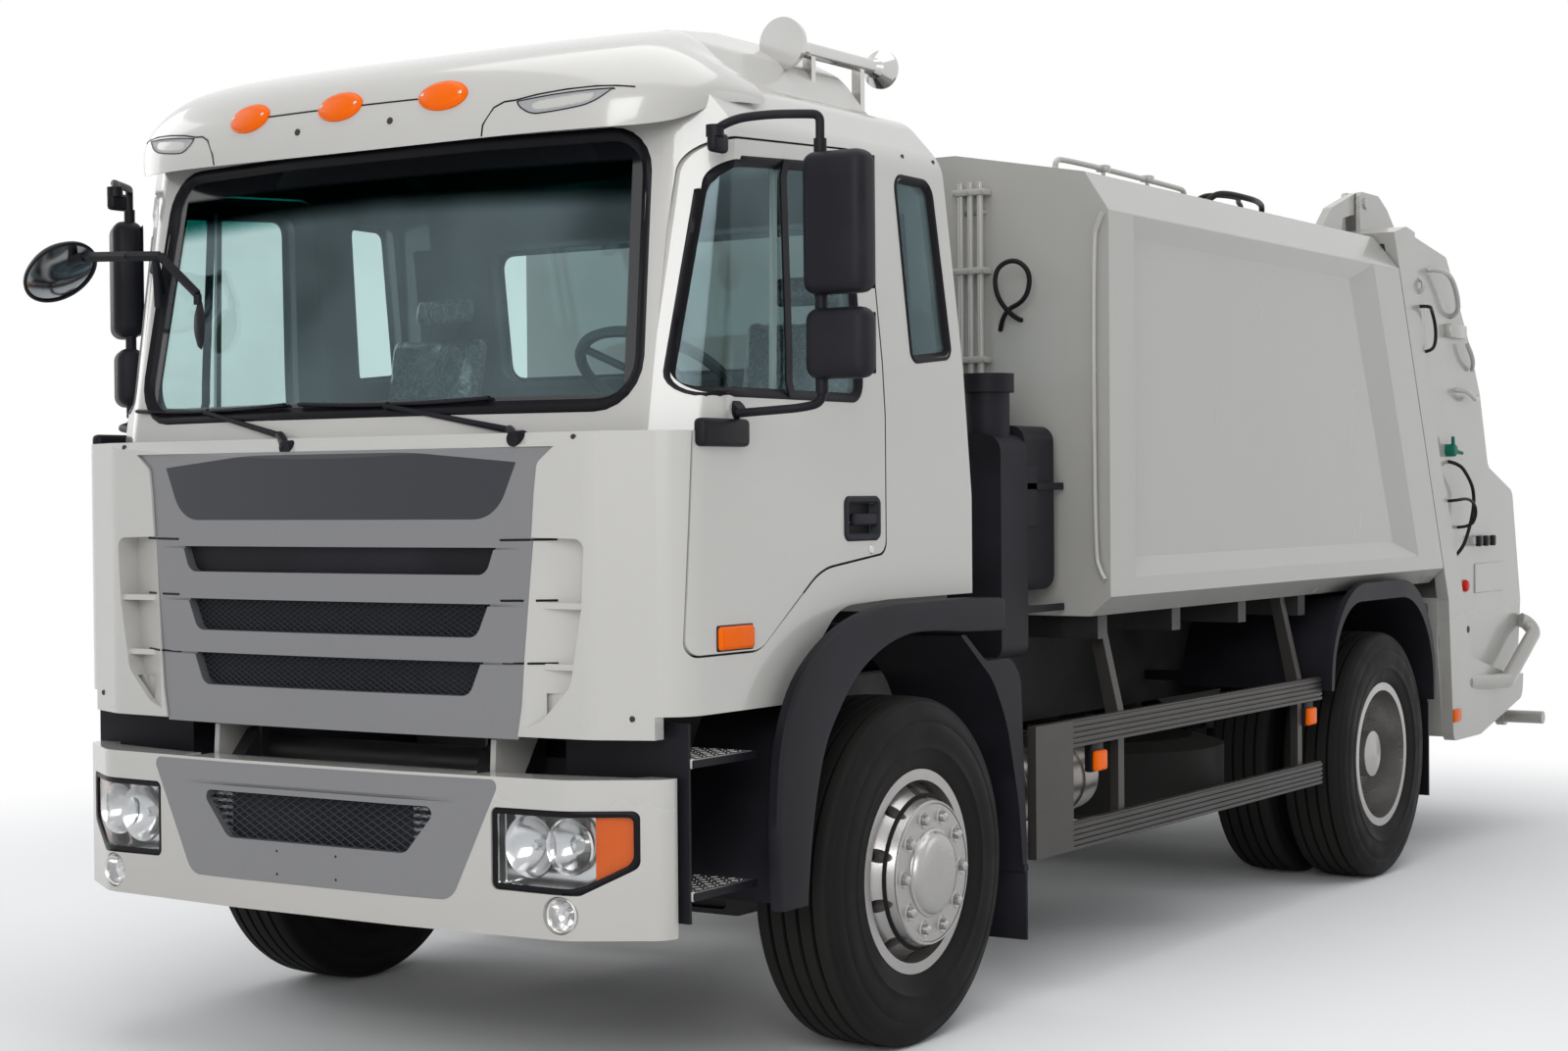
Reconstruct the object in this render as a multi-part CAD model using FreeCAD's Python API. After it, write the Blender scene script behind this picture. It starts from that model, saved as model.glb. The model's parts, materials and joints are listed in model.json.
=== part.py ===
import FreeCAD, Part
import math
import os

V = FreeCAD.Vector

# Rear-loading garbage truck. X points forward, Y to the truck's left, Z up.
# The origin lies on the ground under the middle of the truck. All sizes are in millimetres.

# Overall truck
overall_length = 7200.0
front_overhang = 1270.0
wheelbase = 3800.0
running_gap = 6.0
seat_gap = 0.3
front_x = overall_length / 2 - front_overhang
rear_x = front_x - wheelbase

# Wheels and tyres
tyre_radius = 510.0
tyre_width = 278.0
rim_radius = 298.0
bead_radius = 278.0
rim_width = 234.0
rim_wall = 12.0
disc_thickness = 16.0
front_track = 2118.0
twin_spacing = 310.0
rear_outer_track = 2166.0
hub_radius = 108.0
hub_proud = 50.0
hand_hole_radius = 20.0
hand_hole_count = 10
hand_hole_circle = 232.0

# Ladder frame
rail_spacing = 860.0
rail_height = 250.0
rail_flange = 75.0
rail_wall = 9.0
rail_top = 1000.0
rail_front = front_x + 1040.0
rail_rear = front_x - 4380.0
rail_y = rail_spacing / 2
bearer_count = 6

# Front axle and steering knuckles
kingpin_y = 885.0
kingpin_radius = 22.0
kingpin_boss = 46.0
kingpin_half_height = 52.0
beam_drop = 90.0
beam_height = 85.0
beam_width = 92.0
spindle_radius = 34.0
bearing_gap = 0.05

# Leaf springs
spring_half_length = 700.0
spring_width = 76.0
spring_stack = 70.0
front_spring_camber = 95.0
rear_spring_camber = 42.0

# Cab
cab_width = 2240.0
cab_half = cab_width / 2
past_cab = cab_half + 180.0
window_depth_y = cab_half - 220.0
door_depth_y = cab_half - 155.0
room_half = cab_half - 160.0
cab_wall = 55.0
cab_front = front_x + 1205.0
cab_rear = front_x - 440.0
cab_floor_z = 1040.0
cab_rear_floor_z = 1305.0
cab_waist_z = 1790.0
cab_roof_edge_z = 2640.0
cab_roof_z = 2962.0
tunnel_half_width = 400.0
tunnel_top_z = 1430.0
tilt_pivot_x = front_x + 1100.0
tilt_pivot_z = 790.0
tilt_pin_radius = 20.0
tilt_arm_y = 500.0
glass_thickness = 8.0
glass_inset = 12.0
door_gap = 6.0

# Front bumper
bumper_width = 2150.0
bumper_top_z = 880.0
bumper_bottom_z = 465.0
bumper_wall = 30.0
bumper_lip = 105.0
fog_y = bumper_width / 2 - 248.0
fog_z = 529.0
fog_radius = 50.0
plate_centre_y = -30.0
plate_centre_z = 602.0
plate_spacing_y = 220.0
plate_spacing_z = 64.0
plate_hole_radius = 4.0

# Refuse container
body_width = 2450.0
body_wall = 50.0
body_front = front_x - 1190.0
body_floor_z = 1200.0
body_side_low_z = 1265.0
body_side_high_z = 2540.0
body_shoulder_z = 2672.0
body_shoulder_in = 88.0
body_roof_z = 2760.0
floor_thickness = 60.0
recess_depth = 40.0
recess_margin = 190.0
seam_top_x = front_x - 3882.0
seam_top_z = 2720.0
seam_slope = 0.433

# Tailgate, packer and bin lift
tail_x = front_x - 3720.0
tail_gap = 10.0
tail_wall = 50.0
tail_inset = 30.0
hinge_x = front_x - 4060.0
hinge_z = 2835.0
hinge_pin_radius = 25.0
hinge_ear_y = 1000.0
blade_pivot_x = front_x - 4760.0
blade_pivot_z = 1400.0
blade_length = 770.0
blade_sweep_radius = 830.0
packer_half_width = 1110.0
lift_pivot_x = front_x - 5745.0
lift_pivot_z = 1075.0
lift_bar_drop = 565.0
lift_bar_radius = 30.0
lift_collar_y = 1060.0
lift_collar_width = 40.0
lift_bar_end_y = 1283.0

parts_folder = "parts"
os.makedirs(parts_folder, exist_ok=True)


def box(x0, x1, y0, y1, z0, z1):
    return Part.makeBox(x1 - x0, y1 - y0, z1 - z0, V(x0, y0, z0))


def corner_points(before, corner, after, radius):
    to_before = (before - corner).normalize()
    to_after = (after - corner).normalize()
    half = to_before.getAngle(to_after) / 2
    reach = radius / math.tan(half)
    middle = (to_before + to_after).normalize()
    top = corner + middle * (radius / math.sin(half) - radius)
    return corner + to_before * reach, top, corner + to_after * reach


def rounded_wire(points, radii, closed=True):
    """A wire of straight runs joined by tangent arcs."""
    count = len(points)
    edges = []
    start = None
    first = None
    for i in range(count):
        corner = points[i]
        ends = not closed and i in (0, count - 1)
        if radii[i] > 0 and not ends:
            a, top, b = corner_points(points[i - 1], corner, points[(i + 1) % count], radii[i])
        else:
            a, top, b = corner, None, corner
        if start is not None and start.distanceToPoint(a) > 1e-4:
            edges.append(Part.LineSegment(start, a).toShape())
        if start is None:
            first = a
        if top is not None:
            edges.append(Part.Arc(a, top, b).toShape())
        start = b
    if closed and start.distanceToPoint(first) > 1e-4:
        edges.append(Part.LineSegment(start, first).toShape())
    return Part.Wire(edges)


def outline(plane, points, level):
    """Corners given as (a, b) or (a, b, radius) in the xz, yz or xy plane."""
    radii = [p[2] if len(p) > 2 else 0 for p in points]
    if plane == "xz":
        corners = [V(p[0], level, p[1]) for p in points]
    elif plane == "yz":
        corners = [V(level, p[0], p[1]) for p in points]
    else:
        corners = [V(p[0], p[1], level) for p in points]
    return rounded_wire(corners, radii)


def slab(plane, points, start, end):
    """An outline pushed through from start to end along the plane's normal."""
    along = {"xz": V(0, 1, 0), "yz": V(1, 0, 0), "xy": V(0, 0, 1)}[plane]
    return Part.Face(outline(plane, points, start)).extrude(along * (end - start))


def oval_plate(half_width, half_height, depth, edge):
    """A plate facing +X from x = 0 to depth, oval in front view, its front edge rounded."""
    r = min(half_width, half_height) - 1
    corners = [
        (-half_width, -half_height, r),
        (half_width, -half_height, r),
        (half_width, half_height, r),
        (-half_width, half_height, r),
    ]
    plate = slab("yz", corners, 0, depth)
    front_edges = [e for e in plate.Edges if e.BoundBox.XMin > depth - 1]
    return plate.makeFillet(edge, front_edges)


def rod(a, b, radius):
    axis = b - a
    return Part.makeCylinder(radius, axis.Length, a, axis)


def bent_tube(points, radius, bend):
    """A round bar along straight runs joined by arcs."""
    radii = [bend] * len(points)
    path = rounded_wire(points, radii, closed=False)
    start = points[0]
    circle = Part.Wire(Part.makeCircle(radius, start, points[1] - points[0]))
    return path.makePipeShell([circle], True, False)


def spin(points, x, z):
    """A section of (y, r) corners turned about a cross axis through x, z."""
    radii = [p[2] if len(p) > 2 else 0 for p in points]
    corners = [V(x, p[0], z + p[1]) for p in points]
    face = Part.Face(rounded_wire(corners, radii))
    return face.revolve(V(x, 0, z), V(0, 1, 0), 360)


def spin_z(points, x, y):
    """A section of (r, z) corners turned about an upright axis through x, y."""
    radii = [p[2] if len(p) > 2 else 0 for p in points]
    corners = [V(x + p[0], y, p[1]) for p in points]
    face = Part.Face(rounded_wire(corners, radii))
    return face.revolve(V(x, y, 0), V(0, 0, 1), 360)


def mirrored(shape):
    return shape.mirror(V(0, 0, 0), V(0, 1, 0))


def both_sides(shape):
    return [shape, mirrored(shape)]


def mirrored_plan(right_points):
    left = [(p[0], -p[1]) + tuple(p[2:]) for p in reversed(right_points)]
    return right_points + left


def mirrored_view(right_points):
    left = [(-p[0], p[1]) + tuple(p[2:]) for p in reversed(right_points)]
    return right_points + left


def joined(shapes):
    shapes = list(shapes)
    return shapes[0].fuse(shapes[1:]).removeSplitter()


def less(shape, tools):
    return shape.cut(list(tools))


def save(name, shapes):
    solids = []
    for shape in shapes:
        solids.extend(shape.Solids)
    bad = [s for s in solids if not s.isValid() or s.Volume <= 0]
    compound = Part.makeCompound(solids)
    compound.exportStep(os.path.join(parts_folder, name + ".step"))
    note = " BAD" if bad or not solids else ""
    print(f"{name}: {len(solids)} solids, {compound.Volume / 1e9:.5f} m3{note}")


def side_name(stem, side):
    return stem + ("_left" if side > 0 else "_right")


def on_side(shape, side):
    return shape if side > 0 else mirrored(shape)


# Tyre section: beads, bulging side walls, square shoulders and a flat tread, inner side first.
def tyre(centre_y, x, z):
    half = tyre_width / 2
    bead_half = rim_width / 2 - rim_wall - 2
    bulge_radius = (bead_radius + tyre_radius) / 2
    outer_side = [
        (bead_half, bead_radius + seat_gap),
        (bead_half + 2, rim_radius + 14),
        (half, bulge_radius),
        (half - 8, tyre_radius - 42),
        (half - 30, tyre_radius),
    ]
    inner_side = [(-y, r) for y, r in reversed(outer_side)]
    return spin([(centre_y + y, r) for y, r in outer_side + inner_side], x, z)


def rim_barrel(centre_y, x, z):
    """The rolled rim band with its two flanges, ready for its disc."""
    half = rim_width / 2
    seat = bead_radius - rim_wall
    section = [
        (centre_y - half, seat),
        (centre_y - half, rim_radius),
        (centre_y - half + rim_wall, rim_radius),
        (centre_y - half + rim_wall, bead_radius),
        (centre_y + half - rim_wall, bead_radius),
        (centre_y + half - rim_wall, rim_radius),
        (centre_y + half, rim_radius),
        (centre_y + half, seat),
    ]
    return spin(section, x, z)


def hand_holes(x, z, y0, y1):
    holes = []
    for i in range(hand_hole_count):
        angle = 2 * math.pi * (i + 0.5) / hand_hole_count
        hx = x + hand_hole_circle * math.cos(angle)
        hz = z + hand_hole_circle * math.sin(angle)
        holes.append(rod(V(hx, y0, hz), V(hx, y1, hz), hand_hole_radius))
    return holes


# Front wheel: the disc bulges outwards past the rim and carries the hub.
front_wheel_y = front_track / 2
front_flange_y = front_wheel_y + rim_width / 2
front_disc_y = front_flange_y + hub_proud
bolt_face_radius = 168.0
disc_shoulder_radius = 205.0
spindle_bore = spindle_radius + bearing_gap
drum_radius = 205.0
drum_inner_y = kingpin_y + 75.0
seat_inner = bead_radius - rim_wall - seat_gap


def front_rim():
    z = tyre_radius
    band = rim_barrel(front_wheel_y, front_x, z)
    disc = spin(
        [
            (front_flange_y - 90, bead_radius - rim_wall + 4),
            (front_flange_y - 62, bead_radius - rim_wall + 4),
            (front_disc_y - 34, disc_shoulder_radius + 14),
            (front_disc_y - 6, disc_shoulder_radius + 4),
            (front_disc_y, disc_shoulder_radius - 6),
            (front_disc_y, spindle_bore),
            (drum_inner_y, spindle_bore),
            (drum_inner_y, drum_radius - 14),
            (front_disc_y - 50, drum_radius - 14),
        ],
        front_x,
        z,
    )
    hub_cap = spin(
        [
            (front_disc_y - 2, 0),
            (front_disc_y - 2, hub_radius),
            (front_disc_y + 12, hub_radius - 4),
            (front_disc_y + 24, 62),
            (front_disc_y + 28, 0),
        ],
        front_x,
        z,
    )
    wheel = joined([band, disc, hub_cap])
    return less(wheel, hand_holes(front_x, z, front_flange_y - 100, front_disc_y + 30))


# Rear twin wheel: two rims back to back, with a deep outer dish and the drum between.
rear_outer_y = rear_outer_track / 2
rear_inner_y = rear_outer_y - twin_spacing
rear_disc_y = (rear_outer_y + rear_inner_y) / 2
axle_tube_radius = 62.0
rear_hub_end_y = rear_outer_y + rim_width / 2 - 40.0


def rear_rims():
    z = tyre_radius
    outer_band = rim_barrel(rear_outer_y, rear_x, z)
    inner_band = rim_barrel(rear_inner_y, rear_x, z)
    barrel = bead_radius - rim_wall + 4
    outer_disc = spin(
        [
            (rear_outer_y - 105, barrel),
            (rear_outer_y - 70, barrel),
            (rear_disc_y + disc_thickness, disc_shoulder_radius + 6),
            (rear_disc_y + disc_thickness, hub_radius - 4),
            (rear_disc_y, hub_radius - 4),
            (rear_disc_y, disc_shoulder_radius + 10),
        ],
        rear_x,
        z,
    )
    inner_disc = spin(
        [
            (rear_inner_y + 105, barrel),
            (rear_inner_y + 70, barrel),
            (rear_disc_y - disc_thickness, disc_shoulder_radius + 6),
            (rear_disc_y - disc_thickness, hub_radius - 4),
            (rear_disc_y, hub_radius - 4),
            (rear_disc_y, disc_shoulder_radius + 10),
        ],
        rear_x,
        z,
    )
    hub = spin(
        [
            (rear_inner_y - 60, axle_tube_radius + bearing_gap),
            (rear_inner_y - 60, drum_radius),
            (rear_disc_y - 10, drum_radius - 10),
            (rear_disc_y + 60, hub_radius),
            (rear_hub_end_y, hub_radius - 14),
            (rear_hub_end_y + 12, 0),
            (rear_hub_end_y - 30, 0),
            (rear_hub_end_y - 30, axle_tube_radius + bearing_gap),
        ],
        rear_x,
        z,
    )
    wheels = joined([outer_band, inner_band, outer_disc, inner_disc, hub])
    return less(wheels, hand_holes(rear_x, z, rear_disc_y - 60, rear_disc_y + 60))


def build_wheels():
    front_tyre = tyre(front_wheel_y, front_x, tyre_radius)
    rear_pair = [tyre(rear_outer_y, rear_x, tyre_radius), tyre(rear_inner_y, rear_x, tyre_radius)]
    rim_front = front_rim()
    rim_rear = rear_rims()
    for side in (1, -1):
        save(side_name("front_tyre", side), [on_side(front_tyre, side)])
        save(side_name("front_rim", side), [on_side(rim_front, side)])
        save(side_name("rear_tyres", side), [on_side(t, side) for t in rear_pair])
        save(side_name("rear_rims", side), [on_side(rim_rear, side)])


# Front axle: a forged I-beam, dropped in the middle, with a kingpin eye at each end.
beam_low_z = tyre_radius - beam_drop - beam_height
spring_seat_z = tyre_radius - beam_drop


def build_front_axle():
    top = [
        (-kingpin_y, tyre_radius + 30),
        (-kingpin_y + 120, tyre_radius + 30, 60),
        (-rail_y - 110, spring_seat_z, 60),
        (rail_y + 110, spring_seat_z, 60),
        (kingpin_y - 120, tyre_radius + 30, 60),
        (kingpin_y, tyre_radius + 30),
    ]
    bottom = [
        (kingpin_y, tyre_radius - 40),
        (kingpin_y - 90, tyre_radius - 40, 60),
        (rail_y + 150, beam_low_z, 60),
        (-rail_y - 150, beam_low_z, 60),
        (-kingpin_y + 90, tyre_radius - 40, 60),
        (-kingpin_y, tyre_radius - 40),
    ]
    half = beam_width / 2
    beam = slab("yz", top + bottom, front_x - half, front_x + half)
    web_top = [(y, z - 16) for y, z in ((-rail_y - 100, spring_seat_z), (rail_y + 100, spring_seat_z))]
    web_low = [(y, z + 16) for y, z in ((rail_y + 100, beam_low_z), (-rail_y - 100, beam_low_z))]
    groove = [(p[0], p[1], 20) for p in web_top + web_low]
    cuts = [
        slab("yz", groove, front_x + 10, front_x + half + 1),
        slab("yz", groove, front_x - half - 1, front_x - 10),
    ]
    eyes = []
    bores = []
    for y in (kingpin_y, -kingpin_y):
        low = tyre_radius - kingpin_half_height
        high = tyre_radius + kingpin_half_height
        eyes.append(rod(V(front_x, y, low), V(front_x, y, high), kingpin_boss))
        bores.append(rod(V(front_x, y, low - 1), V(front_x, y, high + 1), kingpin_radius + bearing_gap))
    save("front_axle", [less(joined([beam] + eyes), cuts + bores)])


# Steering knuckle: a fork round the axle eye, its kingpin, the wheel spindle and an arm.
def build_knuckles():
    gap = 1.0
    eye_high = tyre_radius + kingpin_half_height + gap
    eye_low = tyre_radius - kingpin_half_height - gap
    ear = 24.0
    pin = rod(
        V(front_x, kingpin_y, eye_low - ear),
        V(front_x, kingpin_y, eye_high + ear),
        kingpin_radius,
    )
    upper = rod(V(front_x, kingpin_y, eye_high), V(front_x, kingpin_y, eye_high + ear), kingpin_boss)
    lower = rod(V(front_x, kingpin_y, eye_low - ear), V(front_x, kingpin_y, eye_low), kingpin_boss)
    yoke_y = kingpin_y + kingpin_boss + 4
    plates = [
        box(front_x - 40, front_x + 40, kingpin_y, yoke_y + 20, eye_high, eye_high + ear),
        box(front_x - 40, front_x + 40, kingpin_y, yoke_y + 20, eye_low - ear, eye_low),
        box(front_x - 40, front_x + 40, yoke_y, yoke_y + 20, eye_low - ear, eye_high + ear),
    ]
    spindle = rod(
        V(front_x, yoke_y, tyre_radius),
        V(front_x, front_disc_y - 8, tyre_radius),
        spindle_radius,
    )
    arm = slab(
        "xy",
        [
            (front_x - 30, kingpin_y - 30),
            (front_x - 30, kingpin_y + 40),
            (front_x - 190, kingpin_y - 30, 10),
            (front_x - 190, kingpin_y - 70, 10),
        ],
        eye_low - ear,
        eye_low,
    )
    knuckle = joined([pin, upper, lower, spindle, arm] + plates)
    for side in (1, -1):
        save(side_name("knuckle", side), [on_side(knuckle, side)])


# Rear axle: a banjo housing with tapered arms and a nose for the drive shaft.
diff_radius = 215.0
diff_half_width = 120.0


axle_taper = 18.0
taper_inner_y = rail_y - 90
taper_outer_y = rear_inner_y - 90


def build_rear_axle():
    end_y = rear_hub_end_y - 32
    section = [
        (-end_y, 0),
        (-end_y, axle_tube_radius),
        (-taper_outer_y, axle_tube_radius),
        (-taper_inner_y, axle_tube_radius + axle_taper),
        (-diff_half_width, diff_radius, 60),
        (diff_half_width, diff_radius, 60),
        (taper_inner_y, axle_tube_radius + axle_taper),
        (taper_outer_y, axle_tube_radius),
        (end_y, axle_tube_radius),
        (end_y, 0),
    ]
    housing = spin(section, rear_x, tyre_radius)
    nose = Part.makeCone(
        diff_radius - 60, 70, 190, V(rear_x + 130, 0, tyre_radius + 20), V(1, 0, 0.06)
    )
    save("rear_axle", [joined([housing, nose])])


def arc_band(centre_x, y0, y1, low_z, half_length, rise, depth):
    """A curved stack of leaves, lowest at its middle."""
    low = Part.Arc(
        V(centre_x - half_length, y0, low_z + rise + depth * 0.7),
        V(centre_x, y0, low_z),
        V(centre_x + half_length, y0, low_z + rise + depth * 0.7),
    )
    high = Part.Arc(
        V(centre_x - half_length, y0, low_z + rise + depth),
        V(centre_x, y0, low_z + depth),
        V(centre_x + half_length, y0, low_z + rise + depth),
    )
    wire = Part.Wire(
        [
            low.toShape(),
            Part.LineSegment(low.EndPoint, high.EndPoint).toShape(),
            high.toShape(),
            Part.LineSegment(high.StartPoint, low.StartPoint).toShape(),
        ]
    )
    return Part.Face(wire).extrude(V(0, y1 - y0, 0))


rear_spring_seat_z = tyre_radius + axle_tube_radius + 22
shackle_eye_radius = 30.0


def leaf_spring(centre_x, low_z, camber):
    y0 = rail_y - spring_width
    y1 = rail_y
    band = arc_band(centre_x, y0, y1, low_z, spring_half_length, camber, spring_stack)
    rail_low = rail_top - rail_height
    eyes = []
    for end in (-1, 1):
        x = centre_x + end * spring_half_length
        eye_z = low_z + camber + spring_stack
        eyes.append(rod(V(x, y0, eye_z), V(x, y1, eye_z), shackle_eye_radius))
        if rail_low - eye_z > 10:
            eyes.append(box(x - 22, x + 22, y0 + 10, y1 - 10, eye_z, rail_low))
    clamp = box(centre_x - 60, centre_x + 60, y0 - 8, y1 + 8, low_z, low_z + spring_stack + 18)
    return joined([band, clamp] + eyes)


def build_springs():
    front = leaf_spring(front_x, spring_seat_z, front_spring_camber)
    rear = leaf_spring(rear_x, rear_spring_seat_z, rear_spring_camber)
    saddle = box(
        rear_x - 60,
        rear_x + 60,
        rail_y - spring_width - 8,
        rail_y + 8,
        tyre_radius + 20,
        rear_spring_seat_z,
    )
    taper = Part.makeCone(
        axle_tube_radius + axle_taper + seat_gap,
        axle_tube_radius + seat_gap,
        taper_outer_y - taper_inner_y,
        V(rear_x, taper_inner_y, tyre_radius),
        V(0, 1, 0),
    )
    rear = joined([rear, saddle.cut(taper)])
    save("leaf_springs", both_sides(front) + both_sides(rear))


# Ladder frame: two open channels, tubular cross members and the cab's tilt brackets.
def channel(y_web, side, x0, x1):
    inner = y_web - side * rail_flange
    section = [
        (y_web, rail_top - rail_height),
        (y_web, rail_top),
        (inner, rail_top),
        (inner, rail_top - rail_wall),
        (y_web - side * rail_wall, rail_top - rail_wall),
        (y_web - side * rail_wall, rail_top - rail_height + rail_wall),
        (inner, rail_top - rail_height + rail_wall),
        (inner, rail_top - rail_height),
    ]
    return slab("yz", section, x0, x1)


def build_frame():
    rails = [channel(rail_y, 1, rail_rear, rail_front), channel(-rail_y, -1, rail_rear, rail_front)]
    cross = []
    cross_x = (rail_front - 70, front_x - 1250, front_x - 2250, rear_x + 620, rear_x - 380, rail_rear + 60)
    for x in cross_x:
        cross.append(
            rod(
                V(x, -rail_y + rail_wall / 2, rail_top - rail_height / 2),
                V(x, rail_y - rail_wall / 2, rail_top - rail_height / 2),
                45,
            )
        )
    brackets = []
    for side in (1, -1):
        plate = slab(
            "xz",
            [
                (rail_front - 190, rail_top - 20),
                (rail_front - 190, rail_top - rail_height),
                (tilt_pivot_x - 20, tilt_pivot_z - 45, 20),
                (tilt_pivot_x + 40, tilt_pivot_z - 45, 20),
                (tilt_pivot_x + 40, tilt_pivot_z + 40, 20),
                (rail_front, rail_top - 60),
            ],
            rail_y,
            tilt_arm_y - 20,
        )
        pin = rod(
            V(tilt_pivot_x, tilt_arm_y - 30, tilt_pivot_z),
            V(tilt_pivot_x, tilt_arm_y + 30, tilt_pivot_z),
            tilt_pin_radius,
        )
        brackets.append(on_side(joined([plate, pin]), side))
    body_bearers = []
    for side in (1, -1):
        y0, y1 = sorted((side * (rail_y - 80), side * rail_y))
        body_bearers.append(box(rail_rear + 40, body_front - 20, y0, y1, rail_top, body_floor_z))
    first = body_front - 120
    last = rail_rear + 120
    for i in range(bearer_count):
        x = first + (last - first) * i / (bearer_count - 1)
        reach = 590 if abs(x - rear_x) < 720 else half_body - 90
        body_bearers.append(box(x - 35, x + 35, -reach, reach, body_floor_z - 80, body_floor_z))
    save("chassis_frame", [joined(rails + cross + brackets + body_bearers)])


engine_half_width = 330.0
engine_front = front_x + 470.0
engine_rear = front_x - 560.0
engine_low_z = 610.0
engine_top_z = 1340.0
shaft_radius = 55.0
shaft_z = 640.0


def build_drive():
    engine = box(
        engine_rear, engine_front, -engine_half_width, engine_half_width, engine_low_z, engine_top_z
    )
    save("engine_block", [engine])
    gearbox_rear = engine_rear - 640
    gearbox = Part.makeLoft(
        [
            outline("yz", [(-210, 560, 60), (210, 560, 60), (210, 960, 60), (-210, 960, 60)], engine_rear),
            outline("yz", [(-150, 580, 60), (150, 580, 60), (150, 860, 60), (-150, 860, 60)], engine_rear - 300),
            outline("yz", [(-100, 600, 40), (100, 600, 40), (100, 760, 40), (-100, 760, 40)], gearbox_rear),
        ],
        True,
        True,
    )
    nose_x = rear_x + 130 + 190
    shaft = rod(
        V(gearbox_rear + 10, 0, shaft_z + 40),
        V(nose_x + 3, 0, tyre_radius + 20 + 190 * 0.06),
        shaft_radius,
    )
    save("gearbox_and_shaft", [joined([gearbox, shaft])])


# Tanks under the frame: air reservoir on the left, fuel tank on the right.
def build_tanks():
    air_z = 640.0
    air_y = 930.0
    air_front = front_x - 960
    air_rear = front_x - 1480
    air = rod(V(air_rear, air_y, air_z), V(air_front, air_y, air_z), 118)
    edges = [e for e in air.Edges if e.Closed]
    air = air.makeFillet(38, edges)
    strap_x = (air_rear + 120, air_front - 120)
    straps = []
    for x in strap_x:
        straps.append(box(x - 20, x + 20, rail_y, air_y, air_z + 100, air_z + 124))
        straps.append(
            rod(V(x - 20, air_y, air_z), V(x + 20, air_y, air_z), 124)
        )
    air = joined([air] + straps)
    fuel = slab(
        "yz",
        [(-640, 470, 60), (-1120, 470, 60), (-1120, 930, 60), (-640, 930, 60)],
        front_x - 2080,
        front_x - 1100,
    )
    saddle_x = (front_x - 1250, front_x - 1800)
    saddles = [box(x - 30, x + 30, -700, -rail_y, 760, 800) for x in saddle_x]
    fuel = joined([fuel] + saddles)
    save("tanks", [air, fuel])


spare_x = front_x - 2270.0
spare_y = 600.0
spare_z = 560.0


def build_spare_wheel():
    half = tyre_width / 2
    bead_half = rim_width / 2 - rim_wall
    section = [
        (bead_radius - 90, spare_z - 40),
        (bead_radius - 30, spare_z - bead_half + 20),
        (rim_radius + 14, spare_z - bead_half),
        ((bead_radius + tyre_radius) / 2, spare_z - half),
        (tyre_radius, spare_z - half + 30),
        (tyre_radius, spare_z + half - 30),
        ((bead_radius + tyre_radius) / 2, spare_z + half),
        (rim_radius + 14, spare_z + bead_half),
        (bead_radius - 30, spare_z + bead_half - 20),
        (bead_radius - 90, spare_z + 20),
    ]
    tyre_solid = spin_z(section, spare_x, spare_y)
    carrier_z = rail_top - rail_height
    plate = rod(V(spare_x, spare_y, spare_z - 24), V(spare_x, spare_y, spare_z + 10), bead_radius - 70)
    stem = rod(V(spare_x, spare_y, spare_z), V(spare_x, spare_y, carrier_z + 20), 24)
    arm = box(spare_x - 40, spare_x + 40, -rail_y + 60, spare_y + 60, carrier_z - 22, carrier_z)
    save("spare_wheel", [joined([tyre_solid, plate, stem, arm])])


def build_exhaust():
    muffler = spin(
        [(-1090, 0), (-1090, 115), (-1060, 150), (-730, 150), (-700, 115), (-700, 0)],
        front_x - 880,
        640,
    )
    hanger = box(front_x - 910, front_x - 850, -760, -rail_y, 770, 800)
    pipe = bent_tube(
        [
            V(front_x - 880, -720, 640),
            V(front_x - 880, -285, 640),
            V(front_x - 790, -280, 700),
            V(engine_rear - 90, -280, 790),
            V(engine_rear - seat_gap, -280, 790),
        ],
        42,
        45,
    )
    save("exhaust", [joined([muffler, hanger, pipe])])


# Ribbed side guards on posts that hang from the container floor.
guard_y = 1170.0
guard_depth = 30.0
guard_front = front_x - 960.0
guard_rear = front_x - 3130.0
guard_rail_height = 88.0
guard_upper_z = 787.0
guard_lower_z = 455.0
guard_post_front = front_x - 1375.0
guard_post_rear = front_x - 2970.0


def guard_rail(low_z):
    rib = guard_rail_height / 5
    outer = guard_y + guard_depth
    section = [(guard_y, low_z), (outer, low_z)]
    for i in range(5):
        z = low_z + i * rib
        section.append((outer, z + rib * 0.6))
        section.append((outer - 6, z + rib * 0.7))
        section.append((outer - 6, z + rib * 0.9))
        if i < 4:
            section.append((outer, z + rib))
    section.append((outer - 6, low_z + guard_rail_height))
    section.append((guard_y, low_z + guard_rail_height))
    return slab("yz", section, guard_rear, guard_front)


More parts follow.
